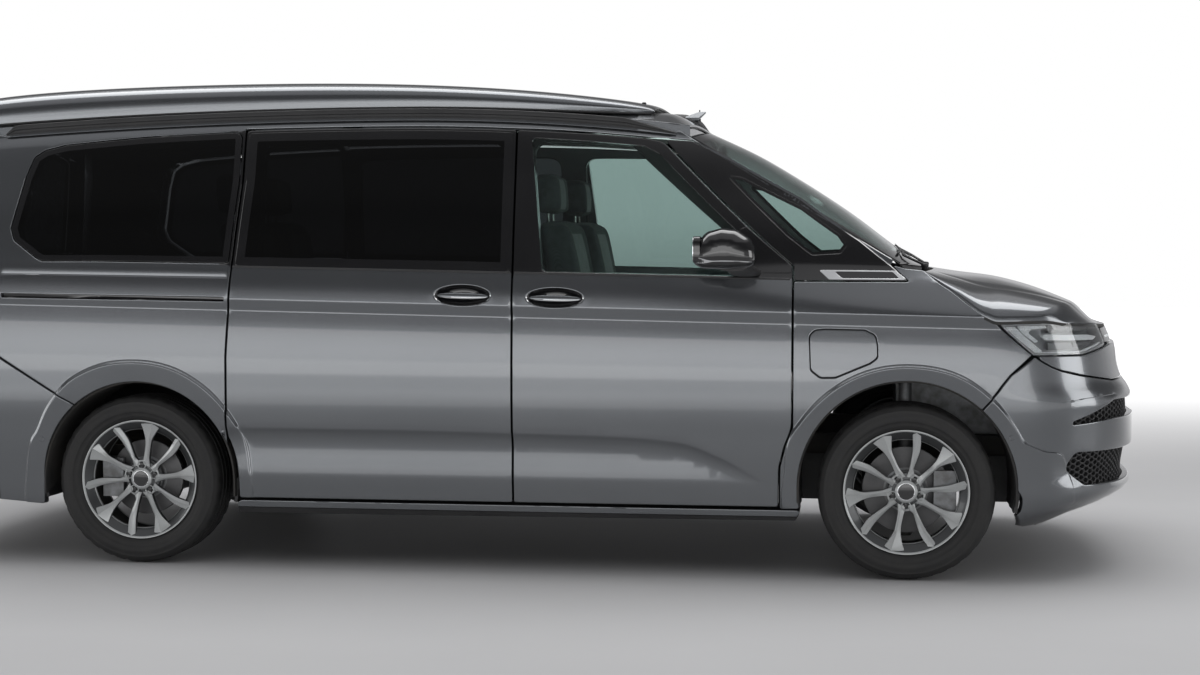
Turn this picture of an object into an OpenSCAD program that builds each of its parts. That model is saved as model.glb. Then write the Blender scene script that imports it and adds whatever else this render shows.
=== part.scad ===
// Camper van with a lifting roof, in millimetres.
// +X points forward, +Y to the left and +Z up; the origin is on the floor under the middle of the body.

/* [Body] */
// Length over both bumpers
body_l = 5173; // [5140:1:5210]
// Width over the door skins
body_w = 1941; // [1925:1:1960]
// Distance between the axles
wheelbase = 3124; // [3100:1:3150]
// From the tip of the nose back to the front axle
front_overhang = 946; // [935:1:960]
// How far the side bows inwards towards both ends
side_bow = 12; // [6:1:16]
// Height at which the side windows begin, at the middle of the van
belt_h = 1195; // [1190:1:1205]
// Height of the side wall's top edge, at the crown of the roof line
cant_h = 1816; // [1806:1:1826]
// Fall of the crease and the belt towards the nose, per metre
line_fall = 19.5; // [15:0.5:22]
// Width of the shut lines around doors and lids
shut = 7; // [6:0.5:8]

/* [Walls] */
// Thickness of a door or side wall below the windows
wall_low = 110; // [100:1:118]
// Thickness of a door or side wall beside the windows
wall_high = 60; // [54:1:66]
// Gap for the door seals, between a shut door and the post behind it
seal_gap = 15; // [14:1:18]
// Thickness of the posts behind the doors
post_t = 55; // [45:1:65]
// Thickness of the window glass
glass_t = 6; // [5:0.5:8]
// How deep the glass lies under the outer skin
glass_in = 7; // [5:0.5:9]
// Thickness of the wings and bumpers
panel_t = 40; // [34:1:46]
// Clearance between pieces that are seated on each other
seat_gap = 0.3; // [0.2:0.05:0.4]

/* [Roof] */
// Height of the lifting roof's crown
crown_h = 1995; // [1980:1:2005]
// Half width of the lifting roof
pop_half = 735; // [725:1:742]
// Thickness of the lifting roof's shell
pop_t = 28; // [22:1:34]
// Gap between the fixed roof and the lifting roof
pop_gap = 9; // [8:0.5:12]
// Height of the roof rails
rail_h = 48; // [42:1:50]
// Width of the roof rails
rail_w = 36; // [32:1:38]

/* [Wheels] */
// Outer diameter of the tyres
tyre_d = 692; // [684:1:700]
// Width of the tyres
tyre_w = 240; // [232:1:244]
// Distance between the wheel centres on one axle
track = 1622; // [1612:1:1632]
// Diameter of the rim's outer lip
rim_d = 490; // [486:1:494]
// Width of the rim
rim_w = 206; // [200:1:210]
// Circle of the wheel bolts
bolt_circle = 112; // [108:1:114]
// Diameter of the holes for the wheel bolts
bolt_hole = 15; // [14:0.5:16]
// Number of wheel bolts, and of pairs of spokes
bolt_n = 5; // [5:1:5]
// Diameter of the front brake discs
disc_front = 340; // [330:1:344]
// Diameter of the rear brake discs
disc_rear = 310; // [300:1:320]
// Radius of the front wheel arches
arch_front = 425; // [422:1:430]
// Radius of the rear wheel arches
arch_rear = 408; // [400:1:414]

/* [Steering] */
// Distance of the lower steering pivot from the wheel's middle plane
pivot_in = 59; // [56:1:62]
// Height of the lower steering pivot
pivot_h = 190; // [185:1:195]
// Height of the upper end of the spring strut
strut_h = 800; // [790:1:806]
// Distance of the strut's top from the wheel's middle plane
strut_in = 221; // [216:1:226]
// Diameter of the strut's tube
strut_d = 52; // [44:1:54]
// Diameter of the steering wheel
wheel_d = 372; // [360:1:385]

/* [Hidden] */
$fn = 48;

// Places along the van
nose_x = body_l / 2;
tail_x = -body_l / 2;
axle_f = nose_x - front_overhang;
axle_r = axle_f - wheelbase;
half_w = body_w / 2;
wheel_z = tyre_d / 2;
wheel_y = track / 2;
x_a = axle_f - 444; // shut line in front of the front door
x_b = axle_f - 1555; // shut line between the doors
x_c = axle_r + 391; // shut line behind the sliding door
peak_x = -400; // crown of the roof line
door_z = 279; // lower edge of the doors
floor_z = 420; // underside of the floor
floor_t = 40;
post_in = wall_low + seal_gap + post_t; // inner face of the side wall below the windows
screen_front = axle_f + 96; // front edge of the windscreen, at the middle
lid_x = tail_x + 172; // tailgate hinge
lid_z = 1862; // top of the tailgate, at the middle
door_hinge = [x_a - 40, half_w - 18]; // x and y of the front doors' hinge line
hinge_z = [640, 930]; // lower ends of the two door hinges
hinge_h = 50;
hinge_r = 8;
lid_hinge = [lid_x - 10, lid_z - 4]; // x and z of the tailgate's hinge line
lid_hinge_y = [-320, 320];

// Insets of the side from its widest point: nominal height, inset
side_inset = [[205, 58], [240, 42], [300, 33], [385, 24], [470, 27], [566, 7], [700, 0], [860, 1], [1025, 12],
    [1070, 4], [belt_h, 24], [belt_h + 30, 31], [1400, 62], [1600, 104], [1775, 142], [cant_h, 152]];
// Setback of the nose from its tip, and of the tail: height, setback
nose_profile = [[205, 330], [253, 200], [278, 120], [325, 30], [343, 8], [400, 18], [473, 9], [522, 0], [611, 0],
    [705, 5], [741, 21], [773, 45], [911, 78], [996, 111], [1090, 160]];
tail_profile = [[205, 150], [300, 45], [400, 8], [470, 0], [566, 0], [640, 6], [850, 42], [1000, 54], [1240, 82],
    [1600, 128], [1850, 158], [1900, 166]];
// Wall thickness by nominal height
wall_rows = [[205, wall_low], [belt_h - 45, wall_low], [belt_h + 20, wall_high], [cant_h, wall_high]];
// Plan corners of the nose and the tail: length of the rounding, and its sharpness
nose_corner = [780, 2.9];
tail_corner = [520, 5];

function mix(a, b, t) = a + (b - a) * t;
function clamp(v) = max(0, min(1, v));
function power(v, e) = v <= 0 ? 0 : pow(v, e);
function side_drop(x) = line_fall * (x - x_b) / 1000;
function cant_curve(x) = cant_h - (x > peak_x ? 5.2e-5 : 2e-5) * pow(x - peak_x, 2);
// Stations along the straight side, and the roof line between them
side_x = [axle_r - 420, axle_r, x_c, -500, x_b, axle_f - 1000, axle_f - 640, x_a, axle_f - 220, axle_f];
cant_line = [for (x = concat([tail_x, tail_x + 325], side_x, [nose_x])) [x, cant_curve(x)]];
function cant_z(x) = lookup(x, cant_line);

// Real height of a nominal height at x: the lines fall towards the nose, and the top follows the roof
function height_of(v, x) = v <= 700 ? v
    : v <= belt_h ? v - side_drop(x) * clamp((v - 700) / 300)
    : mix(belt_h - side_drop(x), cant_z(x), (v - belt_h) / (cant_h - belt_h));

// The cab narrows towards the windscreen, from the belt up
function cab_taper(v, x) = x < axle_f - 1140 ? 0
    : 70 * pow((x - axle_f + 1140) / 1150, 2) * clamp((v - 1080) / 190);

function side_half(x) = half_w - side_bow * pow((x + 200) / 2000, 2);

// Stations round the plan outline: [0, x, side] on a straight side, and [1, angle] or [-1, angle] round the nose
// or the tail, whose plan is a superellipse. A station gives a point at each nominal height and depth,
// where the depth is near[0] plus near[1] walls.
function skin_at(st, v, near) =
    let (depth = near[0] + near[1] * lookup(v, wall_rows), e = st[0])
    e == 0 ? [st[1], st[2] * (side_half(st[1]) - lookup(v, side_inset) - cab_taper(v, st[1]) - depth),
        height_of(v, st[1])]
    : let (l = (e > 0 ? nose_corner : tail_corner)[0], n = (e > 0 ? nose_corner : tail_corner)[1])
        let (s = power(sin(st[1]), 2 / n), c = cos(st[1]), x = e * (nose_x - l + l * s), z = height_of(v, x))
        let (w = side_half(e * (nose_x - l)) - lookup(v, side_inset) - cab_taper(v, x) - depth)
        [e * (nose_x - l + (l - lookup(z, e > 0 ? nose_profile : tail_profile) - depth) * s),
            e * sign(c) * w * power(abs(c), 2 / n), z];
// Place of the nose at y, and half width of the nose at x, at a real height
function nose_ring(y, z) = let (l = nose_corner[0], n = nose_corner[1])
    nose_x - l + (l - lookup(z, nose_profile)) * power(1 - pow(abs(y) / (side_half(nose_x - l) - 6), n), 1 / n);
function half_at(x, z) = let (l = nose_corner[0], n = nose_corner[1])
    let (v = min(belt_h, z + side_drop(x)), w = side_half(min(x, nose_x - l)) - lookup(v, side_inset))
    w * power(1 - pow(max(0, x - nose_x + l) / (l - lookup(z, nose_profile)), n), 1 / n);

tail_side = [for (a = [95, 110, 130, 145, 157, 167, 175]) [-1, a]];
tail_all = [for (a = [5, 13, 23, 35, 50, 70, 90, 110, 130, 145, 157, 167, 175]) [-1, a]];
tail_mid = [for (a = [35, 50, 70, 90, 110, 130, 145]) [-1, a]];
nose_angles = [0, 2, 6, 12, 20, 30, 42, 56, 72];
nose_side = [for (a = concat(nose_angles, [90])) [1, a]];
nose_all = concat(nose_side, [for (i = [len(nose_angles) - 1:-1:0]) [1, 180 - nose_angles[i]]]);
side_run = [for (x = side_x) [0, x, 1]];
// Only the stations and rows round a panel are passed on
function side_span(first, last) = [for (i = [first:last]) side_run[i]];
function door_run(front) = front ? side_span(3, 8) : side_span(1, 5);
function within(rows, low, high) = [for (v = rows) if (v >= low && v <= high) v];
low_rows = [205, 240, 300, 385, 470, 566, 700, 860, 1025, 1070, belt_h];
high_rows = [belt_h, belt_h + 30, 1400, 1600, 1775, cant_h];
all_rows = concat(low_rows, [for (i = [1:len(high_rows) - 1]) high_rows[i]]);
nose_rows = [205, 253, 278, 325, 343, 400, 473, 522, 611, 705, 741, 773, 860, 920, 1010, 1070, 1130];

// A closed slab between two grids of points, whose outer side lies to the left of the rows' order
module slab(outer, inner) {
    n = len(outer);
    m = len(outer[0]);
    function o(i, j) = i * m + j;
    function k(i, j) = n * m + i * m + j;
    polyhedron([for (r = concat(outer, inner)) each r], concat(
        [for (i = [0:n - 2], j = [0:m - 2]) each [[o(i, j), o(i + 1, j), o(i + 1, j + 1)],
            [o(i, j), o(i + 1, j + 1), o(i, j + 1)],
            [k(i, j), k(i + 1, j + 1), k(i + 1, j)],
            [k(i, j), k(i, j + 1), k(i + 1, j + 1)]]],
        [for (i = [0:n - 2]) each [[o(i, 0), k(i, 0), k(i + 1, 0)], [o(i, 0), k(i + 1, 0), o(i + 1, 0)],
            [o(i, m - 1), o(i + 1, m - 1), k(i + 1, m - 1)],
            [o(i, m - 1), k(i + 1, m - 1), k(i, m - 1)]]],
        [for (j = [0:m - 2]) each [[o(0, j), o(0, j + 1), k(0, j + 1)], [o(0, j), k(0, j + 1), k(0, j)],
            [o(n - 1, j), k(n - 1, j), k(n - 1, j + 1)],
            [o(n - 1, j), k(n - 1, j + 1), o(n - 1, j + 1)]]]), convexity = 10);
}

module skin(stations, rows, near = [0, 0], far = [0, 1]) {
    slab([for (s = stations) [for (v = rows) skin_at(s, v, near)]],
        [for (s = stations) [for (v = rows) skin_at(s, v, far)]]);
}

// Outlines in side view are extruded across the van, and outlines in front view along it
module across(y0, y1) translate([0, y1, 0]) rotate([90, 0, 0]) linear_extrude(y1 - y0) children();
module along(x0, x1) translate([x0, 0, 0]) rotate([90, 0, 90]) linear_extrude(x1 - x0) children();
module both_sides() {
    children();
    mirror([0, 1, 0]) children();
}
module to_right() mirror([0, 1, 0]) children();
module rounded(r) offset(r) offset(delta = -r) children();
module block(lo, hi) translate(lo) cube([hi[0] - lo[0], hi[1] - lo[1], hi[2] - lo[2]]);
module rod(p, d, l) translate(p) rotate([-90, 0, 0]) cylinder(d = d, h = l);

// Outlines in side view: x, z

module front_door_2d() rounded(18, $fn = 24) polygon([[x_b, door_z], [x_b, height_of(1788, x_b)],
    for (x = [x_b + 280, axle_f - 1020]) [x, height_of(1790, x)],
    [axle_f - 962, 1724], [axle_f - 500, 1272], [x_a, 1226], [x_a, 597], [x_a - 30, 520], [x_a - 50, 440],
    [x_a - 52, door_z]]);

module sliding_door_2d() rounded(18, $fn = 24) difference() {
    polygon([[x_c, door_z], [x_c, 860], [x_c + 22, 1240], [x_c + 50, 1573],
        for (x = [x_c + 52, peak_x, x_b]) [x, height_of(1788, x)], [x_b, door_z]]);
    rear_arch_2d(16);
}

module door_2d(front) {
    if (front) front_door_2d();
    else sliding_door_2d();
}

// What lies above the belt line, with a margin
module above_belt(margin) polygon([[tail_x, belt_h - side_drop(tail_x) + margin],
    [nose_x, belt_h - side_drop(nose_x) + margin], [nose_x, 2100], [tail_x, 2100]]);

module door_window_2d(front) rounded(24, $fn = 24) intersection() {
    offset(delta = front ? -52 : -46) door_2d(front);
    above_belt(16);
}

module quarter_window_2d() rounded(36, $fn = 32) polygon([[x_c - 22, belt_h + 45], [axle_r - 150, belt_h + 52],
    [axle_r - 420, 1252], [axle_r - 535, 1330], [axle_r - 545, 1380], [axle_r - 500, 1590],
    [axle_r - 465, 1680], [axle_r - 330, 1722], for (x = [axle_r, x_c]) [x, height_of(1772, x)],
    [x_c + 12, 1573], [x_c - 16, 1240]]);

module cab_window_2d() rounded(14, $fn = 24) polygon([[axle_f - 710, 1588], [axle_f - 650, 1578],
    [axle_f - 420, 1464], [axle_f - 264, 1351], [axle_f - 236, 1312], [axle_f - 262, 1278],
    [axle_f - 372, 1272], [axle_f - 466, 1345]]);

// Front pillar: the side wall ends on this line, and the windscreen lies on it
pillar = [[axle_f - 856, 1739], [axle_f - 68, 1261]];
pillar_slope = (pillar[1][1] - pillar[0][1]) / (pillar[1][0] - pillar[0][0]);
function pillar_z(x) = pillar[0][1] + pillar_slope * (x - pillar[0][0]);

module arch_2d(x, r, z) {
    translate([x, z]) circle(r, $fn = 64);
    translate([x - r, 0]) square([2 * r, z]);
}
module front_arch_2d(grow = 0) arch_2d(axle_f, arch_front + grow, wheel_z + 15);
module rear_arch_2d(grow = 0) arch_2d(axle_r + 10, arch_rear + grow, wheel_z);

wing_top = 1168; // where the wing ends under the cab's quarter window
module wing_2d() polygon([[x_a, wing_top + shut / 2 - seat_gap], [axle_f - 12, wing_top + shut / 2 - seat_gap], [axle_f + 50, 1216], [axle_f + 66, 1212],
    [axle_f + 124, 1164], [axle_f + 200, 1108], [axle_f + 298, 1033], [axle_f + 340, 1010], [axle_f + 478, 888],
    [axle_f + 392, 807], [axle_f + 288, 686], [axle_f, 300], [x_a - 52, 215], [x_a - 52, 440], [x_a - 50, 440],
    [x_a - 30, 520], [x_a, 597]]);

module headlamp_2d() rounded(6, $fn = 16) polygon([[axle_f + 350, 1008], [axle_f + 548, 1010],
    [axle_f + 737, 1006], [axle_f + 752, 997], [axle_f + 784, 930], [axle_f + 784, 914], [axle_f + 682, 886],
    [axle_f + 480, 888]]);

module front_bumper_2d() polygon([[axle_f + 478, 888], [axle_f + 682, 886], [axle_f + 784, 914],
    [nose_x + 40, 922], [nose_x + 40, 978], [nose_x + 60, 978], [nose_x + 60, 204], [axle_f + 430, 204],
    [axle_f + 300, 500], [axle_f + 288, 686], [axle_f + 392, 807]]);

// Edge between the rear bumper and the side wall
module rear_bumper_2d() polygon([[axle_r - 200, 200], [axle_r - 251, 654], [axle_r - 577, 849],
    [axle_r - 770, 902], [tail_x - 60, 902], [tail_x - 60, 200]]);

module tail_lamp_2d() polygon([[tail_x - 60, 905], [tail_x + 190, 905], [tail_x + 120, 1035],
    [tail_x - 60, 1035]]);

// Outlines in rear and front view: y, z
module tailgate_2d() rounded(30, $fn = 24) polygon(concat(
    [[-700, 640], [-700, 880], [-772, 960], [-772, 1180]],
    [for (y = [-680, -560, -400, -200, 0, 200, 400, 560, 680]) [y, roof_top(lid_x, y / roof_half) - 2]],
    [[772, 1180], [772, 960], [700, 880], [700, 640]]));
module tailgate_window_2d() rounded(50, $fn = 24) polygon([[-690, 1262], [-622, cant_h - 101], [-500, cant_h - 71],
    [500, cant_h - 71], [622, cant_h - 101], [690, 1262]]);
module lower_intake_2d() rounded(14, $fn = 16) polygon([[-905, 505], [-905, 440], [-840, 372], [840, 372],
    [905, 440], [905, 505]]);
module upper_intake_2d() rounded(6, $fn = 16) polygon([[-870, 612], [-870, 626], [-700, 702], [700, 702],
    [870, 626], [870, 612]]);

// Side walls

module door_aperture(front) {
    intersection() {
        skin(door_run(front), all_rows, [-30, 0], [seal_gap, 1]);
        across(0, half_w + 60) offset(delta = shut / 2) door_2d(front);
    }
    across(0, half_w + 60) difference() {
        offset(delta = -60) door_2d(front);
        translate([tail_x, 0]) square([body_l, floor_z]);
    }
}

module side_frame() {
    hinge_arms();
    difference() {
        skin(concat(tail_side, side_run), all_rows, [0, 0], [seal_gap + post_t, 1]);
        door_aperture(true);
        door_aperture(false);
        across(0, half_w + 60) {
            offset(delta = seat_gap) quarter_window_2d();
            offset(delta = seat_gap) cab_window_2d();
            front_arch_2d();
            rear_arch_2d();
            offset(delta = shut / 2) rear_bumper_2d();
            offset(delta = seat_gap) tail_lamp_2d();
            // Everything above the front pillar
            polygon([[pillar[0][0] - 40, cant_h + 100], [pillar[0][0] - 40, pillar_z(pillar[0][0] - 40)],
                [axle_f + 40, pillar_z(axle_f + 40)], [axle_f + 40, cant_h + 100]]);
        }
        // The wing covers the front of the side wall below the belt
        across(0, half_w + 60) difference() {
            translate([x_a - shut / 2, 160]) square([900, wing_top - 160]);
            translate([x_a - 60, 600]) square([96, 1000]);
        }
        across(half_w - post_in + 20, half_w + 60) translate([x_a - 56, 160]) square([900, wing_top - 160]);
        along(tail_x - 60, tail_x + 420) offset(delta = shut / 2) tailgate_2d();
        // Slot of the sliding door's middle rail
        across(half_w - 34, half_w + 60) translate([axle_r - 568, 1094]) rotate(-0.6) square([965, 18]);
    }
}

module door(front) {
    difference() {
        intersection() {
            skin(door_run(front), all_rows);
            across(0, half_w + 60) offset(delta = -shut / 2) door_2d(front);
        }
        across(0, half_w + 60) offset(delta = seat_gap) door_window_2d(front);
        // Pockets for the hinge arms
        if (front) for (z = hinge_z)
            block([door_hinge[0] - hinge_r - 4, half_w - post_in, z - seat_gap],
                [x_a + 20, door_hinge[1] + hinge_r + 1, z + hinge_h + seat_gap]);
    }
    // Feet of the sliding door, on the ledge of the sill
    if (!front) for (x = [x_c + 240, x_b - 300])
        block([x, half_w - post_in - 4, floor_z + seat_gap], [x + 70, half_w - wall_low - 24, floor_z + 32]);
}
// Arms on the front post that carry the front door
module hinge_arms() for (z = hinge_z) {
    translate([door_hinge[0], door_hinge[1], z]) cylinder(r = hinge_r, h = hinge_h);
    block([door_hinge[0] - hinge_r + 2, half_w - post_in + 12, z],
        [door_hinge[0] + hinge_r - 2, door_hinge[1], z + hinge_h]);
}

module side_glass(run) intersection() {
    skin(run, high_rows, [glass_in, 0], [glass_in + glass_t, 0]);
    across(0, half_w + 60) children();
}

module side_frame_left() color([0.26, 0.28, 0.27]) side_frame();
module side_frame_right() color([0.26, 0.28, 0.27]) to_right() side_frame();
module sliding_door_left() color([0.26, 0.28, 0.27]) door(false);
module sliding_door_right() color([0.26, 0.28, 0.27]) to_right() door(false);
module front_door_left() color([0.26, 0.28, 0.27]) door(true);
module front_door_right() color([0.26, 0.28, 0.27]) to_right() door(true);
module rear_windows() color([0.05, 0.05, 0.06]) both_sides() {
    side_glass(door_run(false)) door_window_2d(false);
    side_glass(concat([[-1, 167], [-1, 175]], side_span(0, 3))) quarter_window_2d();
}
module cab_quarter_windows() color([0.4, 0.5, 0.48]) both_sides() side_glass(side_span(5, 8)) cab_window_2d();
module front_door_window_left() color([0.4, 0.5, 0.48]) side_glass(door_run(true)) door_window_2d(true);
module front_door_window_right() color([0.4, 0.5, 0.48]) to_right() side_glass(door_run(true)) door_window_2d(true);

module mirror_body() {
    mx = axle_f - 720;
    difference() {
        hull() for (p = [[-72, 118, 1336, 36], [-72, 114, 1252, 32], [36, 112, 1340, 36], [84, 106, 1262, 36],
            [-70, 52, 1340, 34], [-70, 50, 1254, 30], [44, 50, 1342, 34], [98, 48, 1264, 34]])
            translate([mx + p[0], half_w + p[1], p[2]]) sphere(p[3], $fn = 16);
        // The glass lies in a shallow recess of the flat rear face
        block([mx - 120, half_w - 20, 1180], [mx - 96, half_w + 170, 1400]);
        block([mx - 100, half_w + 30, 1236], [mx - 90, half_w + 144, 1356]);
    }
    // Foot that stands on the door
    hull() {
        translate([mx - 20, half_w - 60, 1140]) cube([120, 6, 34]);
        translate([mx - 10, half_w + 34, 1226]) cube([90, 40, 22]);
    }
}
module mirror_left() color([0.05, 0.05, 0.05]) difference() {
    mirror_body();
    skin(side_span(5, 8), within(all_rows, 1025, 1600), [-seat_gap, 0], [200, 0]);
}
module mirror_right() to_right() mirror_left();

// Front end

module wing() difference() {
    intersection() {
        skin(concat(side_span(6, 9), [for (i = [1:5]) nose_side[i]]), low_rows, [0, 0], [panel_t, 0]);
        across(0, half_w + 60) offset(delta = -shut / 2) wing_2d();
    }
    across(0, half_w + 60) front_arch_2d();
}
module front_wings() color([0.26, 0.28, 0.27]) both_sides() wing();

module front_bumper() color([0.26, 0.28, 0.27]) difference() {
    intersection() {
        skin(nose_all, nose_rows, [0, 0], [panel_t, 0]);
        across(-half_w - 60, half_w + 60) offset(delta = -shut / 2) front_bumper_2d();
    }
    across(-half_w - 60, half_w + 60) front_arch_2d();
    along(axle_f + 560, nose_x + 60) {
        lower_intake_2d();
        upper_intake_2d();
    }
    // Room for the lamps
    both_sides() across(lamp_in, half_w + 60) offset(delta = seat_gap) headlamp_2d();
}

grille_nose = [for (i = [5:len(nose_all) - 6]) nose_all[i]];
// Lattice behind the bumper's intakes: slats that follow the nose, on upright ribs
module grille_panel(slats) {
    for (z = slats) skin(grille_nose, [z, z + grille_slat], [panel_t + seat_gap, 0], [panel_t + 14, 0]);
    for (y = [-620, -420, -210, 0, 210, 420, 620])
        let (x = nose_ring(y, 460) - panel_t - 2)
        block([x - 34, y - 4, slats[0] + 3], [x - 9, y + 4, slats[len(slats) - 1] + grille_slat - 3]);
}
grille_slat = 12; // height of one slat
module front_grilles() color([0.04, 0.04, 0.04]) {
    grille_panel([374, 416, 458, 490]);
    grille_panel([613, 650, 689]);
}

lamp_in = 590; // half distance between the headlamps
module headlamps() color([0.8, 0.85, 0.9]) both_sides() intersection() {
    skin(nose_side, within(nose_rows, 860, 1070), [3, 0], [panel_t + 60, 0]);
    across(lamp_in + seat_gap, half_w + 60) headlamp_2d();
}

// Bonnet: sections from the middle to the shut line, from the windscreen to the nose
bonnet_mid = [[axle_f + 96, 1218], [axle_f + 245, 1196], [axle_f + 374, 1180], [axle_f + 502, 1150],
    [axle_f + 672, 1086], [axle_f + 778, 1034], [axle_f + 842, 986]];
bonnet_edge = [[axle_f + 58, 1213], [axle_f + 124, 1166], [axle_f + 200, 1112], [axle_f + 298, 1036],
    [axle_f + 342, 1020], [axle_f + 548, 1024], [axle_f + 737, 1018], [nose_x, 990]];
bonnet_tip = 815; // half width of the bonnet's front edge
function bonnet_rear(h) = axle_f + 128 - 66 * h * h;
function bonnet_at(i, h, d) =
    let (edge_x = mix(bonnet_rear(1), nose_ring(bonnet_tip, 1018), i))
    let (w = half_at(edge_x, lookup(edge_x, bonnet_edge)))
    let (x = mix(bonnet_rear(h), nose_ring(h * bonnet_tip, 985), i))
    let (edge = lookup(x, bonnet_edge), mid = lookup(x, bonnet_mid), s = abs(h) * 0.995)
    [x, h * w, mix(edge, mid, power(1 - pow(s, 2.4), 1 / 2.4)) - d];
bonnet_x = [bonnet_rear(1), nose_ring(bonnet_tip, 1018)]; // ends of its outer edge
bonnet_i = [for (x = [bonnet_x[0], axle_f + 92, axle_f + 124, axle_f + 162, axle_f + 200, axle_f + 250, axle_f + 298,
    axle_f + 342, axle_f + 400, axle_f + 480, axle_f + 540, bonnet_x[1]])
    (x - bonnet_x[0]) / (bonnet_x[1] - bonnet_x[0])];
bonnet_h = [1, 0.97, 0.92, 0.84, 0.7, 0.5, 0.25, 0, -0.25, -0.5, -0.7, -0.84, -0.92, -0.97, -1];
module bonnet() color([0.26, 0.28, 0.27])
    slab([for (i = bonnet_i) [for (h = bonnet_h) bonnet_at(i, h, 0)]],
        [for (i = bonnet_i) [for (h = bonnet_h) let (p = bonnet_at(i, h * 0.97, 30))
            [p[0], p[1], abs(h) < 0.96 ? p[2] : max(p[2], bonnet_at(i, 1, 0)[2])]]]);

// Windscreen and roof
screen_mid = [[axle_f - 900, 1826], [axle_f - 820, 1790], [axle_f - 622, 1697], [axle_f - 446, 1594],
    [axle_f - 230, 1453], [axle_f - 12, 1290], [screen_front, 1218], [axle_f + 160, 1176]];
function glass_half(x, z) = side_half(x) - 56
    - lookup(belt_h + (z - belt_h + side_drop(x)) / (cant_z(x) - belt_h + side_drop(x)) * (cant_h - belt_h),
        side_inset) - cab_taper(belt_h + 200, x);
function screen_at(t, h, d) =
    let (x = mix(axle_f - 822 - 34 * h * h, screen_front - 12 - 112 * h * h, t))
    let (mid = lookup(x, screen_mid), edge = pillar_z(x) + glass_t + 2 * seat_gap)
    [x, h * glass_half(x, edge), mix(mid, edge, h * h) - d];
screen_t = [0, 0.2, 0.4, 0.6, 0.8, 1];
screen_h = [1, 0.85, 0.6, 0.3, 0, -0.3, -0.6, -0.85, -1];
module windscreen() color([0.4, 0.5, 0.48])
    slab([for (t = screen_t) [for (h = screen_h) screen_at(t, h, 0)]],
        [for (t = screen_t) [for (h = screen_h) screen_at(t, h, glass_t)]]);

// Fixed roof: its middle line, and its edge beside the rails
roof_mid = [[lid_x, 1862], [-2000, 1874], [-1000, 1888], [-400, 1888], [300, 1880], [axle_f - 1040, 1874],
    [axle_f - 975, 1868], [axle_f - 900, 1836], [axle_f - 822, 1790]];
roof_half = half_w - 152 - rail_w - seat_gap * 2;
function roof_edge(x) = cant_z(x) + rail_h - 2;
function roof_top(x, h) = mix(lookup(x, roof_mid), min(roof_edge(x), lookup(x, roof_mid)), pow(abs(h), 3));
function roof_width(x) = roof_half - half_w + side_half(x) - cab_taper(cant_h, x);
function roof_at(t, h, d) =
    let (x = mix(lid_x + shut + 1, axle_f - 828 - 34 * h * h, t))
    [x, h * roof_width(x), roof_top(x, h) - d];
roof_ts = [0, 0.1, 0.25, 0.45, 0.62, 0.78, 0.9, 0.93, 0.96, 1];
roof_hs = [1, 0.8, 0.45, 0, -0.45, -0.8, -1];
roof_open = [[-2050, 320], [-560, 560]];
module roof_frame() color([0.26, 0.28, 0.27]) {
    difference() {
        slab([for (t = roof_ts) [for (h = roof_hs) roof_at(t, h, 0)]],
            [for (t = roof_ts) [for (h = roof_hs) roof_at(t, h, 42)]]);
        translate([0, 0, 1600]) linear_extrude(500) rounded(60) polygon([[-2050, -560], [320, -560], [320, 560],
            [-2050, 560]]);
    }
    // Pads under the rim of the lifting roof, and the tailgate's hinge arms
    for (x = [pop_xs[4], pop_xs[6], pop_xs[7]], s = [-1, 1]) let (p = pop_at(x, 1, pop_t / 2))
        translate([p[0], s * p[1], p[2] - 40]) cylinder(r = 5, h = 41);
    for (y = lid_hinge_y) {
        translate([lid_hinge[0], y - 30, lid_hinge[1]]) rotate([-90, 0, 0]) cylinder(r = 7, h = 60);
        across(y - 30, y + 30) polygon([[lid_hinge[0], lid_hinge[1] + 6], [lid_x + 24, lid_z - 10],
            [lid_x + 24, lid_z - 34], [lid_hinge[0], lid_hinge[1] - 6]]);
    }
    // Aerial fin in front of the lifting roof
    hull() {
        translate([axle_f - 960, -22, roof_top(axle_f - 960, 0) - 6]) cube([70, 44, 12]);
        translate([axle_f - 890, -3, roof_top(axle_f - 960, 0) + 26]) cube([30, 6, 6]);
    }
}

rail_x = [-2085, for (x = concat([for (v = side_x) if (v < axle_f - 1100) v],
    [axle_f - 1340, axle_f - 1140, axle_f - 1000])) x, axle_f - 915];
module roof_rail() {
    function rail_at(x, o, d) =
        [x, side_half(x) - 152 - cab_taper(cant_h, x) - d,
            cant_z(x) + seat_gap + o * rail_h * clamp(0.35 + (x - rail_x[0]) / 60) * clamp(0.2 + (axle_f - 915 - x) / 260)];
    difference() {
        slab([for (x = rail_x) [for (o = [0, 0.34, 0.42, 0.58, 0.66, 1]) rail_at(x, o, 0)]],
            [for (x = rail_x) [for (o = [0, 0.34, 0.42, 0.58, 0.66, 1]) rail_at(x, o, rail_w)]]);
    }
}
module roof_rails() color([0.04, 0.04, 0.04]) both_sides() roof_rail();

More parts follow.
